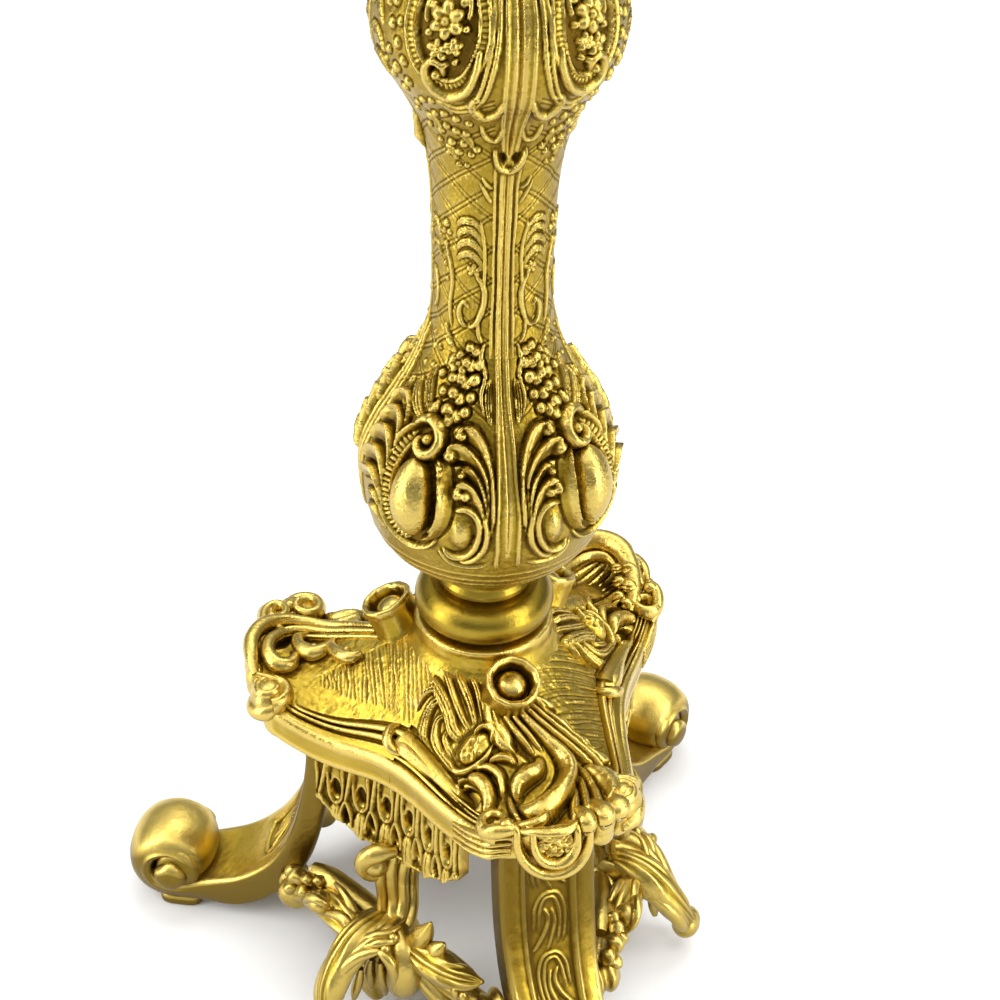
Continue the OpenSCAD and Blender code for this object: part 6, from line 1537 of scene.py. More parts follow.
def add_bracket(node, rot, seed):
    P = Piece()
    K = dict(rot=rot)

    def stalk(*a, **k):
        k.setdefault("step", 0.85)
        k["m"] = max(22, int(k.get("m", 44) * 0.88))
        stalk_(*a, **k)
    # pad on the apron, neck behind its edge, and the head scroll that the ribbon hangs from
    stalk(P, [(0, 45.6, 124.5), (0, 52, 124.5), (0, 57.0, 124.5)], [7.2, 7.2, 6.6], up=(0, 0, 1), flutes=8, depth=0.06, m=48, **K)
    stalk(P, [(0, 51.5, 128), (0, 50.8, 114), (-0.5, 51.6, 102), (-1.5, 54.0, 92), (-2.0, 57.0, 82), (-1.5, 57.5, 72), (0.5, 58.0, 62), (1.0, 61.0, 52), (0.0, 66, 44)], [5.4, 5.4, 5.4, 4.8, 4.4, 4.4, 5.6, 8.2, 7.6], [4.0, 4.4, 4.4, 4.0, 3.6, 3.6, 5.0, 7.2, 6.4],
          up=(0, 1, 0), flutes=3, depth=0.10, m=56, **K)
    blob(P, (-8.4, 65.8, 85.4), 6.0, 6.0, 5.4, axis=(0.95, -0.1, 0.25), lobes=2, depth=0.05, pinch=0.8, n=26, m=42, **K)
    stalk(P, [(-1.5, 60.0, 93.5), (-6.0, 65.5, 94.0), (-11.0, 69.0, 89.6), (-12.6, 69.0, 82.6), (-9.6, 66.4, 78.2), (-6.6, 65.0, 80.6)], [3.0, 4.6, 4.8, 4.4, 3.6, 1.6], [2.6, 3.8, 4.0, 3.8, 3.0, 1.4], up=(0.5, 0.6, 0.4), flutes=2, depth=0.05, m=36, **K)
    # four ridges of the ribbon; three of them run out over the leaf
    for pts, w in (STRANDS):
        stalk(P, pts, w, [q * 0.92 for q in w], up=(0, 0.7, 0.7), flutes=0, m=28, step=0.8, **K)
    # body of the leaf, out and over to the ball tip
    blade(P, [(-1, 62, 48), (-4, 71, 51.5), (-6.5, 80, 50.5), (-8.0, 88, 44.5), (-8.8, 94.5, 36.5), (-8.4, 99.5, 28), (-6.5, 103.0, 19)], [7.0, 9.6, 10.4, 10.0, 8.8, 7.0, 4.4], [4.6, 4.6, 4.4, 4.2, 4.0, 4.0, 4.0],
          up=(-0.25, 0.15, 1.0), camber=0.30, curl=0.22, ribs=2, rib_h=0.6, lobes=3, lobe_d=0.10, m=46, **K)
    blob(P, (-4.0, 104.4, 15.4), 7.6, 7.2, 7.8, axis=(1, 0.2, 0), lobes=2, depth=0.05, grooves=0.08, pinch=0.8, n=28, m=46, **K)
    # hub, and the rounded lobe at the other side of the hollow
    blob(P, (2.0, 64.5, 44), 12.0, 10.6, 11.0, axis=(0, 0.5, 1), lobes=3, depth=0.06, spin=0.5, n=28, m=50, **K)
    stalk(P, [(5.0, 65.5, 53), (10.0, 71.0, 53.5), (15.0, 75.0, 48.5), (16.6, 76.0, 40.0), (15.2, 75.4, 30.5), (11.0, 73.0, 21.5)], [4.2, 6.0, 7.6, 8.6, 8.2, 4.6], [4.0, 5.6, 7.2, 8.2, 8.0, 4.6], up=(0, 1, 0), flutes=0, m=48, **K)
    stalk(P, [(-4.5, 70, 36), (-5.0, 74.5, 27), (-4.0, 76, 17), (0, 76, 9)], [9.0, 10.0, 8.6, 4.0], [6.0, 6.0, 5.4, 3.0], up=(0, 1, 0), flutes=4, depth=0.14, m=56, **K)
    # rims of the hollow, ridges in it
    stalk(P, [(9.5, 82.0, 54.6), (5.6, 86.0, 53.6), (0.6, 89.6, 50.4), (-3.6, 93.2, 45.2), (-6.4, 97, 38.6), (-7.8, 100.6, 32.2), (-7.6, 103.2, 25)], [1.4, 2.4, 3.0, 3.3, 3.3, 2.9, 1.6], [1.4, 2.2, 2.6, 2.8, 2.8, 2.4, 1.4], up=(0, 0.4, 0.9), flutes=0, m=32, **K)
    stalk(P, [(6.4, 84.0, 53.6), (10.6, 84.4, 54.2), (14.4, 84.0, 50.8), (15.9, 83.4, 45.4), (15.4, 82.4, 37.2), (13.6, 80.0, 28.0), (10.0, 76.5, 21.5)], [1.4, 2.4, 2.9, 2.9, 2.7, 2.4, 1.2], [1.3, 2.2, 2.6, 2.6, 2.4, 2.0, 1.2], up=(0, 1, 0), flutes=0, m=32, **K)
    for pts in ([(2.4, 83.0, 44), (0.0, 81.6, 33.4), (-0.4, 80.4, 25.1), (-1.1, 79.4, 16.5)], [(-1.0, 86.6, 38), (-2.2, 87.0, 29.7), (-3.2, 88.0, 22.4), (-3.6, 89.0, 16.9)], [(7.6, 82.6, 45), (6.6, 81.0, 34), (6.4, 79.4, 25), (5.6, 77, 16)]):
        stalk(P, pts, [1.2, 2.3, 2.3, 1.2], [1.4, 2.6, 2.6, 1.4], up=(0, 1, 0), flutes=0, m=26, **K)
    # folds that cross from the ribbon, with two pearls
    stalk(P, [(-4.3, 84.0, 51.6), (-0.6, 82.0, 55.4), (3.4, 80.0, 58.0), (7.1, 76.6, 59.0), (9.3, 71.0, 60.0)], [1.0, 1.9, 2.2, 2.0, 1.0], up=(0, 0.3, 1), flutes=0, m=26, **K)
    stalk(P, [(-4.3, 88.0, 48.6), (1.7, 85.2, 54.0), (6.8, 82.4, 57.4), (10.6, 77.0, 56.8), (12.6, 72, 54.0)], [1.0, 1.9, 2.3, 2.2, 1.2], up=(0, 0.3, 1), flutes=0, m=26, **K)
    blob(P, (10.6, 76.4, 58.4), 2.6, 2.6, 2.7, axis=(0, 0.4, 1), lobes=3, depth=0.05, n=20, m=30, **K)
    blob(P, (10.2, 82.0, 55.4), 2.4, 2.4, 2.6, axis=(0, 0.6, 1), lobes=3, depth=0.06, n=20, m=30, **K)
    # side arms to the collars on the legs
    stalk(P, [(-2, 63, 43), (-13.0, 65.5, 38.5), (-24.0, 66.6, 41.0), (-34.0, 67.4, 43.6), (-45.0, 67.6, 42.6), (-57, 67.4, 36.0)], [10.0, 8.8, 7.6, 6.6, 6.2, 6.0], [9.0, 7.8, 6.8, 6.2, 6.0, 5.8], flutes=4, depth=0.10, twist=-0.16, m=56, **K)
    stalk(P, [(2, 63, 43), (13.0, 66.0, 43.0), (24.0, 67.2, 42.0), (34.0, 68.0, 39.6), (45.0, 67.6, 37.0), (57, 67.4, 34.6)], [10.0, 7.6, 6.8, 6.2, 5.8, 5.8], [9.0, 7.4, 6.6, 6.0, 5.6, 5.6], flutes=4, depth=0.14, twist=0.2, m=56, **K)
    for sg in (-1, 1):
        c0 = turn_dir((-sg * 23.0, 84.0, 34.0), sg * 60)
        d = turn_dir((-sg * 1.0, 0.0, 0.0), sg * 60)
        pts = [tuple(np.array(c0) + np.array(d) * q) for q in (-0.4, 1.6, 3.4, 5.2, 7.0, 9.0, 10.8, 12.6)]
        stalk(P, pts, [9.4, 9.8, 8.0, 7.8, 9.0, 8.6, 7.2, 5.0], up=(0, 0, 1), flutes=0, m=46, step=0.5, **K)
    # the arm with flowers: a ribbed leaf over it, and its smooth back
    blade(P, [(-9.0, 78, 42.5), (-16.0, 76.0, 46.6), (-25.0, 74.4, 48.2), (-35.0, 72.4, 46.4), (-45.0, 71.0, 42.6), (-53, 70, 38.6)], [5.0, 7.6, 8.4, 7.4, 6.0, 2.0], [2.6, 2.8, 2.6, 2.4, 2.2, 1.4], up=(0, 0.8, 0.6), camber=0.22, lobes=2, lobe_d=0.08, ribs=2, rib_h=0.5, m=40, **K)
    stalk(P, [(-50.0, 63.5, 52.5), (-40.0, 63.0, 52.5), (-29.0, 62.6, 50.0), (-18.0, 61.4, 46.7), (-8, 61, 45)], [3.6, 5.6, 6.2, 6.0, 4.0], [3.0, 4.6, 5.2, 5.0, 4.0], up=(0, 0, 1), flutes=0, m=36, **K)
    stalk(P, [(-33.2, 67.0, 56.6), (-27.6, 68.6, 56.8), (-22.0, 70.4, 55.4), (-15.4, 73.0, 50.6), (-11.4, 77.4, 44.8), (-13.6, 84.0, 39.6)], [0.9, 1.8, 2.1, 2.2, 2.0, 1.0], up=(0, 0.7, 0.7), flutes=0, m=26, **K)
    stalk(P, [(-34.8, 75.0, 41.3), (-30.0, 76.6, 47.0), (-24.6, 77.2, 50.4), (-17.2, 77.6, 51.4), (-13.2, 79.6, 46.4), (-13.2, 84.0, 42.0)], [0.9, 2.0, 2.5, 2.7, 2.4, 1.0], up=(0, 0.7, 0.7), flutes=0, m=28, **K)
    blob(P, (-34.8, 75.2, 49.4), 6.2, 6.0, 6.4, axis=(-0.2, 0.7, 0.7), lobes=3, depth=0.05, n=28, m=44, **K)
    stalk(P, [(-41.6, 76.4, 45.6), (-40.6, 79.0, 51.0), (-36.0, 80.0, 56.0), (-30.4, 79.4, 56.4), (-27.4, 77.4, 52.6)], [0.9, 2.0, 2.4, 2.1, 0.9], up=(0, 0.7, 0.7), flutes=0, m=26, **K)
    for (x, y, z, r, ax) in ((-53.4, 70.5, 50.4, 5.2, (-0.2, 0.7, 0.6)), (-58.5, 68.0, 47.6, 4.6, (-0.4, 0.5, 0.7)), (-41.5, 69.0, 54.0, 3.6, (0.1, 0.5, 0.8)), (-46.8, 71.0, 53.6, 3.6, (0.2, 0.7, 0.6)), (-57.0, 71.4, 41.6, 4.2, (-0.3, 0.9, 0.1)), (-47.4, 73.4, 47.4, 3.6, (0.2, 0.9, 0.2))):
        blob(P, (x, y, z), r * 0.9, r * 0.8, r * 1.1, axis=ax, lobes=3, depth=0.16, spin=0.4, n=24, m=38, **K)
    # pointed leaf with two rising tips on the other arm
    blade(P, [(11.0, 68.0, 47.0), (20.0, 71.0, 50.6), (30.0, 72.6, 51.6), (40.0, 72.6, 52.0), (49.5, 71.4, 53.6), (57.0, 70.0, 56.0)], [3.4, 7.2, 8.6, 7.6, 5.4, 0.9], [3.0, 3.0, 2.8, 2.6, 2.2, 1.2], up=(0.05, 0.75, 0.65), camber=0.36, curl=0.10, ribs=2, lobes=4, lobe_d=0.16, rib_h=0.7, m=46, **K)
    stalk(P, [(14.0, 66.0, 48.0), (25.0, 66.5, 49.6), (36.0, 66.8, 51.0), (48.0, 67.0, 52.6)], [4.4, 5.4, 4.8, 2.0], [4.0, 4.8, 4.4, 2.0], up=(0, 1, 0), flutes=3, depth=0.10, m=36, **K)
    stalk(P, [(17.0, 68.5, 50.0), (20.0, 69.4, 57.0), (23.4, 69.0, 64.5), (25.8, 68.4, 72.0)], [5.6, 5.6, 4.0, 0.7], [4.8, 4.6, 3.4, 0.7], up=(0, 1, 0), flutes=3, depth=0.10, m=40, **K)
    stalk(P, [(28.0, 69.5, 53.0), (31.0, 70.0, 59.0), (34.2, 69.4, 64.8)], [5.0, 4.4, 0.9], [4.2, 3.8, 0.9], up=(0, 1, 0), flutes=3, depth=0.10, m=36, **K)
    stalk(P, [(12.0, 67.5, 38.2), (22.0, 70.0, 36.4), (30.0, 71.0, 32.0), (37.5, 70.6, 27.0), (43, 70, 23.0)], [4.6, 5.8, 5.6, 4.6, 1.6], [4.4, 5.4, 5.2, 4.2, 1.6], flutes=3, depth=0.14, m=44, **K)
    for x in (45.0, 49.5):
        blob(P, (x, 74.4, 43.5), 2.3, 2.3, 4.6, axis=(0.05, 0.2, 1), lobes=3, depth=0.05, n=22, m=32, **K)
    # a smaller leaf under the lobe, facing down
    blob(P, (0, 66, 31.5), 8.8, 8.0, 7.4, axis=(0, 0.2, -1), lobes=3, depth=0.08, n=24, m=40, **K)
    P.build(node + "_cast", M_BRK, nodes=(node,))


def turn_dir(v, az):
    """rotates a direction given in a corner's frame by az, both with y outwards"""
    a = az * D2R
    X, Y = v[0], -v[1]
    return (math.cos(a) * X - math.sin(a) * Y, -(math.sin(a) * X + math.cos(a) * Y), v[2])


def turn_local(p, az):
    return turn_dir(p, az)


for node, rot, sd in (("bracket_right", 60.0, 431), ("bracket_rear", 180.0, 432), ("bracket_left", 300.0, 433)):
    add_bracket(node, rot, sd)


# ---------------------------------------------------------------- upper stem
UP = [(21, 566), (23, 571), (33, 584), (37, 600), (33, 620), (24, 640), (19.5, 666), (18, 716), (17.5, 789), (18.5, 848.7), (22, 888), (29, 906), (30.5, 918), (26, 930), (21.5, 938)]
_uc = curve(UP, 600)


def upper_ornament():
    cv = Canvas(-4, 94, 560, 944, 0.42, k=lambda v: np.interp(np.asarray(v, float), _uc[:, 1], _uc[:, 0]) * D2R)
    S = cv.stroke
    # seam rib and the arris between two panels
    S([(6.0, 572), (5.4, 600), (6.6, 640), (7.4, 720), (7.6, 800), (6.8, 880), (5.4, 930)], 0.75, 1.0, ends=(0.02, 0.02))
    S([(0, 576), (0, 700), (0, 926)], 0.6, 0.9, prof="soft", mode="cut", ends=(0.05, 0.05))
    S([(90, 572), (90, 700), (90, 930)], 1.1, 1.0, ends=(0.03, 0.03))
    for z, w, h in ((570.5, 0.9, 0.6), (573.6, 0.8, 0.5), (646, 1.4, 1.5), (649.8, 0.8, 0.8), (642.4, 0.8, 0.8), (864, 0.8, 0.8), (868, 1.5, 1.6), (872, 0.8, 0.8), (932.5, 0.9, 0.6)):
        S([(-4, z), (45, z), (94, z)], w, h, ends=(0, 0))

    def claw(pts, w, h, edge):
        S(pts, w, h, prof="lip", mode="over", base=0.5, ends=(0.10, 0.10), cut=0.8)
        S(edge, 0.65, [1.4, h[len(h) // 2] + 0.7, h[-2] + 0.7], ends=(0.10, 0.06), cut=0.3)
    # acanthus on the vase, two sprays that part from the middle of the panel
    for sg in (-1, 1):
        m = lambda P_: [(45 + sg * u, v) for u, v in P_]
        for (dz, k_) in ((0, 1.0), (-11, 0.95), (-21, 0.8)):
            pts = m([(4, 578), (5, 596 + dz * 0.6), (9, 610 + dz), (17, 619 + dz), (27, 619 + dz), (32, 612 + dz)])
            S(pts, [1.0, 1.9 * k_, 2.7 * k_, 3.1 * k_, 2.8 * k_, 1.6], [1.4, 2.4, 3.2, 3.6, 3.6, 2.6], prof="lip" if sg > 0 else "lipr", mode="over", base=0.5, ends=(0.08, 0.1), cut=0.8)
            S(m([(3, 582), (3.6, 600 + dz * 0.6), (8, 613.4 + dz), (17, 622.4 + dz), (28, 621.8 + dz), (34, 615 + dz)]), 0.65, [1.2, 2.6, 3.8, 4.2, 4.2, 3.0], ends=(0.06, 0.06))
            cv.ell(45 + sg * 30.5, 614 + dz, 2.6, 2.4, 4.4, cut=0.5)
    S([(45, 576), (45, 600), (45, 622), (45, 634)], [1.2, 3.2, 3.4, 1.2], [1.8, 3.0, 3.4, 2.2], prof="vein", cut=0.6)
    cv.balls([(45, 640, 1.8), (40, 634, 1.7), (50, 634, 1.7), (36, 629, 1.5), (54, 629, 1.5)], h=1.0, cut=0.5)
    # shaft: engraved lattice, with husks hung on a stem
    for z in np.arange(664, 868, 15.0):
        for off in (0, 2.2):
            S([(12, z + off), (84, z + off - 20)], 0.45, 0.5, prof="soft", mode="cut", ends=(0, 0))
            S([(12, z + off - 20), (84, z + off)], 0.45, 0.45, prof="soft", mode="cut", ends=(0, 0))
    for i, z in enumerate(np.arange(660, 752, 14.0)):
        q = 1 - 0.09 * i
        for sg in (-1, 1):
            S([(45, z), (45 + sg * 9 * q, z + 4), (45 + sg * 13 * q, z + 11)], [0.8, 1.9 * q, 0.8], 2.0, prof="tri", cut=0.4)
        S([(45, z - 1), (45, z + 5), (45, z + 11)], [0.7, 1.5 * q, 0.6], 2.3, cut=0.4)
    for sg in (-1, 1):
        m = lambda P_: [(45 + sg * u, v) for u, v in P_]
        S(m([(2, 858), (6, 844), (16, 834), (26, 836), (28, 846), (20, 850), (16, 844)]), [0.8, 1.2, 1.5, 1.5, 1.3, 1.1, 0.7], 2.0, cut=0.4)
        S(m([(4, 838), (12, 822), (22, 816), (30, 820)]), [0.7, 1.5, 1.5, 0.7], 1.7, prof="tri", cut=0.4)
        S(m([(3, 822), (8, 808), (16, 802), (22, 804)]), [0.7, 1.3, 1.3, 0.7], 1.5, prof="tri", cut=0.4)
        S(m([(3, 806), (6, 792), (11, 784)]), [0.7, 1.1, 0.6], 1.4, prof="tri", cut=0.4)
    S([(45, 776), (45, 810), (45, 858)], [0.5, 0.9, 1.1], 1.6, cut=0.3)
    cv.flower(45, 852, 4.2, 6, h=2.2)
    # gadroons on the small upper bulb
    for s0 in (11.25, 22.5, 33.75, 45, 56.25, 67.5, 78.75):
        S([(s0, 878), (s0, 892), (s0, 912), (s0, 926)], [0.9, 1.5, 2.3, 1.2], [0.8, 1.5, 1.9, 0.9], cut=0.6)
    fade = smooth(cv.v, 566.5, 571) * smooth(938 - cv.v, 0.5, 4)
    cv.H *= fade[:, None]
    cv.grain(0.07, 1.5, 61); cv.grain(0.05, 0.7, 62)
    return cv


def add_upper(cv):
    Cf = curve(UP, 2400)
    T = np.gradient(Cf, axis=0); T /= np.linalg.norm(T, axis=1)[:, None]
    for tag, az0 in (("a", STEM_TURN), ("b", STEM_TURN + 180)):
        for part, z0, z1, nc, nr in (("vase", 566, 652, 250, 190), ("shaft", 652, 862, 170, 360), ("knop", 862, 938, 210, 180)):
            m = (Cf[:, 1] >= z0 - 1e-6) & (Cf[:, 1] <= z1 + 1e-6)
            L = np.concatenate([[0], np.cumsum(np.linalg.norm(np.diff(Cf[m], axis=0), axis=1))])
            a = np.linspace(0, L[-1], nr)
            r, z, nrm, nz = (np.interp(a, L, q[m]) for q in (Cf[:, 0], Cf[:, 1], T[:, 1], -T[:, 0]))
            f = np.linspace(0, 180, nc)
            s_ = np.where(f <= 90, f, 180 - f)
            S2, Z2 = np.meshgrid(s_, z)
            wob = soft_noise(S2.shape, nc / 9, 700 + z0 + ord(tag), 0.45)
            edge = np.minimum(1, np.minimum(S2, 90 - S2) / 8)
            H = cv.at(S2 + wob * edge / (np.maximum(r, 15)[:, None] * D2R), Z2) * (1 + soft_noise(S2.shape, nc / 5, 720 + z0, 0.10))
            RR = r[:, None] + nrm[:, None] * H; ZZ = z[:, None] + nz[:, None] * H
            ph = (az0 + f)[None, :] * D2R
            G = np.stack([RR * np.sin(ph), -RR * np.cos(ph), ZZ], -1)
            P = Piece(); P.grid(G)
            fi = np.linspace(180, 0, 13); pi_ = (az0 + fi)[None, :] * D2R
            ri = np.maximum(r - 5.0, 14.1)
            GI = np.stack([ri[:, None] * np.sin(pi_), -ri[:, None] * np.cos(pi_), np.broadcast_to(z[:, None], (nr, 13))], -1)
            back = np.concatenate([G[:, -1:], GI, G[:, :1]], 1)
            P.grid(back, cav=False, wu=np.full(back.shape[1], 0.1))
            for k in (0, -1):
                ax = G[k] * [1, 1, 0]; rr = np.maximum(np.linalg.norm(ax, axis=1, keepdims=True) - 5.0, 13.0)
                inner = ax / np.linalg.norm(ax, axis=1, keepdims=True) * rr + G[k] * [0, 0, 1]
                P.grid(np.stack([G[k], inner]), cav=False, flip=(k == 0))
            P.build("upper_stem_%s_%s" % (tag, part), M_STEM, nodes=("upper_stem_half_" + tag,))


add_upper(upper_ornament())


# ---------------------------------------------------------------- turned pieces with cast ornament
def arclen(prof):
    C = curve(prof, 1600)
    return C, np.concatenate([[0], np.cumsum(np.linalg.norm(np.diff(C, axis=0), axis=1))])


def sector_canvas(prof, per, step=0.36):
    """heights over (degrees of one repeat, millimetres along the outline)"""
    C, L = arclen(prof)
    return Canvas(-per / 2 - 2, per / 2 + 2, -1, L[-1] + 1, step, k=lambda v: np.interp(np.asarray(v, float), L, C[:, 0]) * D2R)


def turned(name, node, prof, inner, cv, per, n, rows, mat, body="stand", seed=0):
    C, L = arclen(prof)
    a = np.linspace(0, L[-1], rows)
    r, z = np.interp(a, L, C[:, 0]), np.interp(a, L, C[:, 1])
    tr, tz = np.gradient(r), np.gradient(z); q = np.maximum(np.hypot(tr, tz), 1e-9)
    d = np.linspace(0, 360, n, endpoint=False)
    A, D = np.meshgrid(a, d, indexing="ij")
    H = soft_noise((rows, n), n / 14, seed, 0.09)
    if cv is not None:
        H = H + cv.at((D + per / 2) % per - per / 2, A)
    H = H * (smooth(a, 0, 2) * smooth(L[-1] - a, 0, 1.5))[:, None]
    R = np.maximum(r[:, None] + (tz / q)[:, None] * H, 0.2); Z = z[:, None] - (tr / q)[:, None] * H
    ph = d[None, :] * D2R
    G = np.stack([R * np.sin(ph), -R * np.cos(ph), Z], -1)
    if inner:
        I = np.asarray(inner, float)
        GI = np.stack([I[:, 0][:, None] * np.sin(ph), -I[:, 0][:, None] * np.cos(ph), np.broadcast_to(I[:, 1][:, None], (len(I), n))], -1)
        G = np.concatenate([G, GI])
    P = Piece()
    P.grid(G, cu=True, cv=bool(inner), caps=(None, None) if inner else ("tip", "tip"))
    P.build(name, mat, body=body, nodes=(node,))


# knop between the two stems
_kn = [(17, 522), (17, 529.6), (18.4, 530.1), (23.4, 530.2), (24.6, 531.2), (24.6, 532.6), (21.6, 534.6), (20.4, 537.2)] + [(22 + 9.5 * math.cos(v * D2R), 548 + 9 * math.sin(v * D2R)) for v in range(-70, 71, 14)] + \
      [(20.4, 558.8), (21.2, 561), (23.8, 563.4), (23.6, 565.4), (22.4, 565.9), (14.4, 566.0), (14, 567), (14, 574)]
turned("middle_knop_turned", "middle_knop", _kn, [(5.3, 574), (5.3, 522)], None, 360, 240, 150, M_TURN, seed=81)

# capital: a calyx of eight leaves
_cp = [(14.2, 938.05), (20.6, 938.1), (23.6, 941), (20, 946), (17.2, 952), (22, 960), (29.6, 968), (32.2, 976), (28, 984), (21.4, 988), (21.8, 991.8)]
cvk = sector_canvas(_cp, 45)
S = cvk.stroke
S([(0, 25), (0, 36), (0, 47), (0, 57), (0, 62)], [1.4, 3.4, 5.2, 5.0, 2.2], [1.2, 2.2, 2.8, 3.2, 2.2], prof="vein", cut=0.7)
for sg in (-1, 1):
    S([(sg * 5, 34), (sg * 11, 42), (sg * 14.5, 50), (sg * 13, 56)], [1.0, 2.0, 2.3, 1.2], [1.2, 2.2, 2.6, 1.8], prof="lip" if sg < 0 else "lipr", cut=0.5)
    S([(sg * 22.5, 24), (sg * 22.5, 38), (sg * 22.5, 54)], [0.9, 1.7, 0.9], [1.2, 2.0, 1.2], cut=0.6)
cvk.ell(0, 59.5, 3.2, 2.6, 4.2, cut=0.5)
cvk.grain(0.07, 1.5, 63); cvk.grain(0.05, 0.7, 64)
turned("capital_cast", "capital", _cp, [(5.3, 992), (5.3, 930), (14, 930)], cvk, 45, 448, 170, M_STEM, seed=82)

# drip pan: gadroons below, beads round the rim
_dp = [(22, 992.05), (34, 992.5), (54, 995), (68, 1000), (74, 1006), (76, 1008.4), (75.4, 1010.4), (73.4, 1010.4), (70, 1007), (65, 1003), (53, 999), (34, 998.1), (23, 998.0)]
cvk = sector_canvas(_dp, 15, 0.5)
S = cvk.stroke
S([(0, 15), (0, 28), (0, 42), (0, 51)], [1.6, 3.2, 4.8, 3.2], [0.7, 1.5, 2.1, 1.1], cut=0.5, ends=(0.1, 0.12))
for sg in (-1, 1):
    S([(sg * 7.5, 24), (sg * 7.5, 38), (sg * 7.5, 52)], [0.5, 0.9, 1.2], [0.5, 0.9, 1.0])
for v_ in (-7.5, -2.5, 2.5, 7.5):
    cvk.ell(v_, 59.4, 2.7, 2.2, 1.4, cut=0.3)
S([(-9, 66.5), (0, 66.5), (9, 66.5)], 0.8, 0.6, ends=(0, 0))
S([(-9, 100), (0, 100), (9, 100)], 0.9, 0.6, ends=(0, 0))
cvk.grain(0.08, 1.5, 65); cvk.grain(0.05, 0.7, 66)
turned("drip_pan_cast", "drip_pan", _dp, [(5.3, 998), (5.3, 992)], cvk, 15, 540, 170, M_CAN, seed=83)

# candle cup: six leaves under a beaded lip
_cc = [(10.5, 998.05), (21.6, 998.1), (22.8, 1001), (15.2, 1007), (14.2, 1012), (21, 1019), (25.3, 1029), (24, 1038), (23.5, 1043.6), (24.8, 1047.6), (23.5, 1047.9), (17.4, 1047.9)]
cvk = sector_canvas(_cc, 60)
S = cvk.stroke
S([(0, 30), (0, 41), (0, 50), (0, 57)], [2.0, 5.2, 6.4, 2.6], [1.2, 2.0, 2.6, 2.0], prof="vein", cut=0.7)
for sg in (-1, 1):
    S([(sg * 8, 36), (sg * 16, 44), (sg * 19, 51), (sg * 15, 57)], [1.2, 2.5, 2.7, 1.3], [1.2, 2.1, 2.4, 1.6], prof="lip" if sg < 0 else "lipr", cut=0.5)
    S([(sg * 30, 28), (sg * 30, 42), (sg * 30, 56)], [1.0, 2.2, 1.1], [1.2, 2.0, 1.2], cut=0.6)
for u_ in range(-30, 31, 10):
    cvk.ell(u_, 63.5, 1.8, 1.5, 1.3, cut=0.3)
cvk.grain(0.07, 1.5, 67); cvk.grain(0.05, 0.7, 68)
turned("candle_cup_cast", "candle_cup", _cc, [(17, 1047.6), (17, 1018), (9.8, 1018), (9.8, 1007), (5.3, 1007), (5.3, 998)], cvk, 60, 420, 170, M_STEM, seed=84)

# loose nozzle with a scalloped saucer
_nz = [(0.3, 1021), (12.6, 1021), (13.6, 1021.2), (16.5, 1025.6), (16.7, 1027), (16.7, 1047.4), (17.2, 1048.0), (26, 1048.05), (35, 1050), (39.8, 1053), (40.9, 1055), (39.8, 1056), (34, 1054), (24, 1052.5), (17, 1052.5), (14.8, 1053.4),
       (14.5, 1055), (14.5, 1057.6), (14.0, 1058), (11.8, 1058), (11.2, 1057.4), (11.2, 1044), (11.2, 1032.4), (10.8, 1032), (0.3, 1032)]
cvk = sector_canvas(_nz, 20)
_C, _L = arclen(_nz)
k1 = float(np.interp(1053.6, _C[:900, 1], _L[:900]))
S = cvk.stroke
for v_ in (-10, 0, 10):
    cvk.ell(v_, k1, 2.8, 2.0, 1.1, cut=0.3)
for v_ in (-10, 0, 10):
    S([(v_, k1 - 20), (v_, k1 - 10), (v_, k1 - 3)], [0.6, 1.8, 2.2], [0.3, 0.9, 1.1], cut=0.3)
cvk.grain(0.04, 0.9, 70)
turned("candle_nozzle_turned", "candle_nozzle", _nz, None, cvk, 20, 400, 220, M_TURN, body="nozzle", seed=85)


# ---------------------------------------------------------------- carried-over CAD pieces
for name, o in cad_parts.items():
    if o.hide_render:
        continue
    mat = M_TURN if name in ("collar_ring", "neck_spool", "middle_knop", "capital", "drip_pan", "candle_cup", "candle_nozzle", "canopy_bolts") else M_LEG if name.startswith("leg") else M_CAN if name.startswith("canopy") else M_BRK if name.startswith(("bracket", "apron")) else M_STEM
    for sl in o.material_slots:
        sl.material = mat
    for p in ([] if o.type != "MESH" else [o.data]):
        pass

# ---------------------------------------------------------------- floor, light, camera
floor = bpy.data.meshes.new("floor")
fm = bpy.data.materials.new("floor_white"); fm.use_nodes = True
b = fm.node_tree.nodes["Principled BSDF"]; b.inputs["Base Color"].default_value = (0.93, 0.93, 0.93, 1); b.inputs["Roughness"].default_value = 0.9
b.inputs["Specular IOR Level"].default_value = 0.1
R = 9.0
floor.from_pydata([(-R, -R, 0), (R, -R, 0), (R, R, 0), (-R, R, 0)], [], [(0, 1, 2, 3)])
floor.materials.append(fm)
fo = bpy.data.objects.new("floor", floor); bpy.context.scene.collection.objects.link(fo)

sc = bpy.context.scene
w = bpy.data.worlds.new("studio"); sc.world = w; w.use_nodes = True
nt = w.node_tree; bg = nt.nodes["Background"]
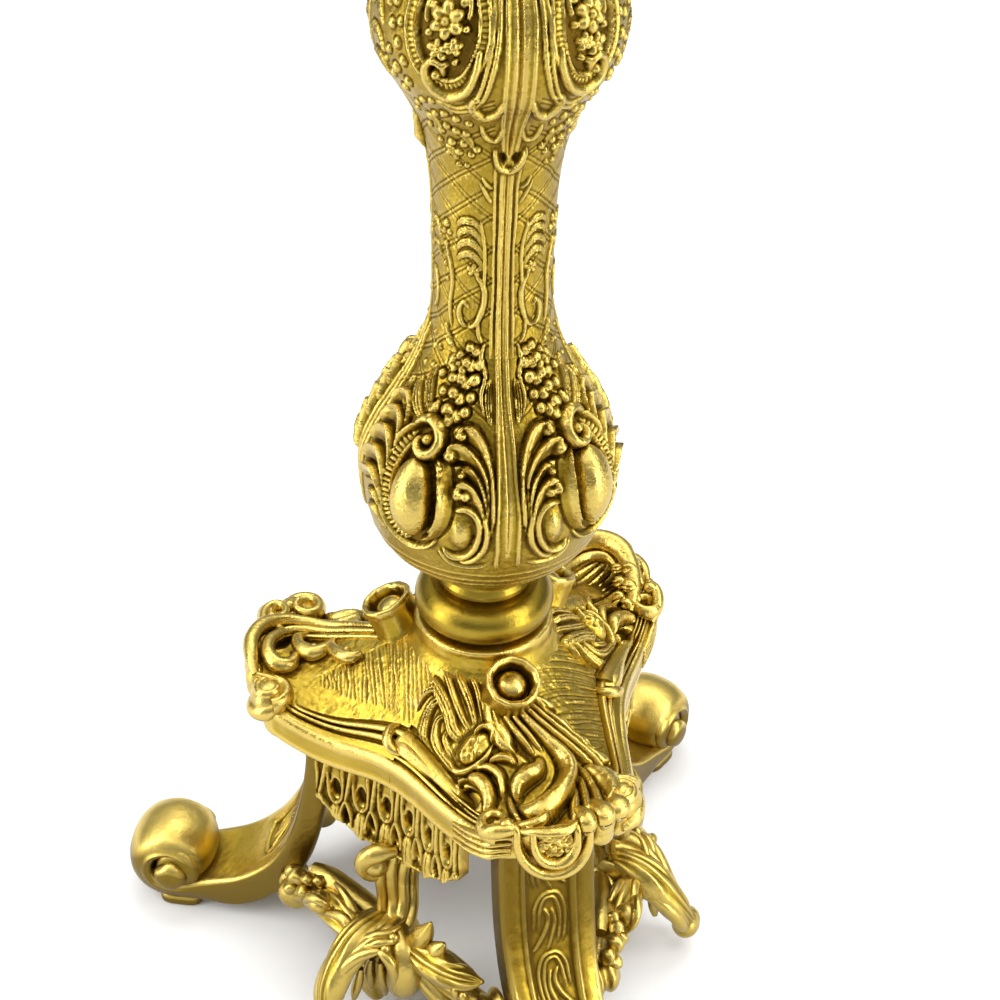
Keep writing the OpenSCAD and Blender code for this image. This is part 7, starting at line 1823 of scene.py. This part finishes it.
# a pale sky that is bright overhead and dim at the horizon, as under a studio ceiling
tcw = nt.nodes.new("ShaderNodeTexCoord"); sep = nt.nodes.new("ShaderNodeSeparateXYZ"); rw = nt.nodes.new("ShaderNodeValToRGB")
nt.links.new(tcw.outputs["Generated"], sep.inputs[0]); nt.links.new(sep.outputs["Z"], rw.inputs[0]); nt.links.new(rw.outputs[0], bg.inputs[0])
el = rw.color_ramp.elements
el[0].position = 0.0; el[0].color = (0.16, 0.16, 0.165, 1)
el[1].position = 1.0; el[1].color = (1.0, 1.0, 1.0, 1)
for p_, c_ in ((0.30, 0.22), (0.55, 0.62), (0.75, 0.95)):
    e_ = el.new(p_); e_.color = (c_, c_, c_, 1)
bg.inputs[1].default_value = 1.08
sc.view_settings.view_transform = "Standard"
sc.view_settings.look = "None"
sc.view_settings.exposure = 0.0

TH = -24 * D2R  # camera azimuth


def light(name, az, el, dist, sx, sy, power, at=(0, 0, 0.28), col=(1, 1, 1)):
    d = bpy.data.lights.new(name, "AREA"); d.shape = "RECTANGLE"; d.size = sx; d.size_y = sy; d.energy = power; d.color = col
    o = bpy.data.objects.new(name, d); sc.collection.objects.link(o)
    a, e = az * D2R, el * D2R
    p = np.array([math.sin(a) * math.cos(e), -math.cos(a) * math.cos(e), math.sin(e)]) * dist + np.array(at)
    o.location = p
    from mathutils import Vector
    v = Vector(at) - Vector(p)
    o.rotation_euler = v.to_track_quat("-Z", "Y").to_euler()
    return o


light("key_left", -24 - 78, 38, 1.7, 0.7, 1.5, 11)
light("key_right", -24 + 72, 42, 1.7, 0.6, 1.5, 12)
light("top", -24 + 170, 68, 1.9, 1.6, 1.0, 12)
light("front_low", -24 - 12, 62, 2.4, 0.8, 0.5, 3)
light("side_left", -24 - 68, 3, 1.15, 0.34, 0.8, 5.5)
light("side_right", -24 + 60, 3, 1.15, 0.30, 0.8, 5.5)

cam = bpy.data.cameras.new("camera"); co = bpy.data.objects.new("camera", cam); sc.collection.objects.link(co)
cam.sensor_width = 36; cam.lens = 72.0
cam.clip_start = 0.01


def place_camera(roll, target_px=(484.0, 592.0), target=(0, 0, 0.208)):
    from mathutils import Matrix, Vector
    right = Vector((0.9135, -0.4067, 0)); fwd = Vector((0.3257, 0.7315, -0.5990)); up = Vector((0.2436, 0.5472, 0.8007))
    for v in (right, fwd, up):
        v.normalize()
    r = roll * D2R
    R2 = right * math.cos(r) + up * math.sin(r)
    U2 = -right * math.sin(r) + up * math.cos(r)
    # the target shows at target_px, at the distance that keeps the scale
    D = 0.8781
    u = (target_px[0] - 500) / 2000.0; v = (500 - target_px[1]) / 2000.0
    loc = Vector(target) - fwd * D - R2 * (u * D) - U2 * (v * D)
    M = Matrix((R2, U2, -fwd)).transposed().to_4x4()
    M.translation = loc
    co.matrix_world = M
    return loc


loc = place_camera(1.8)
sc.camera = co

print("TRIS", sum(TRI.values()), {k: v for k, v in TRI.items() if v > 195000})
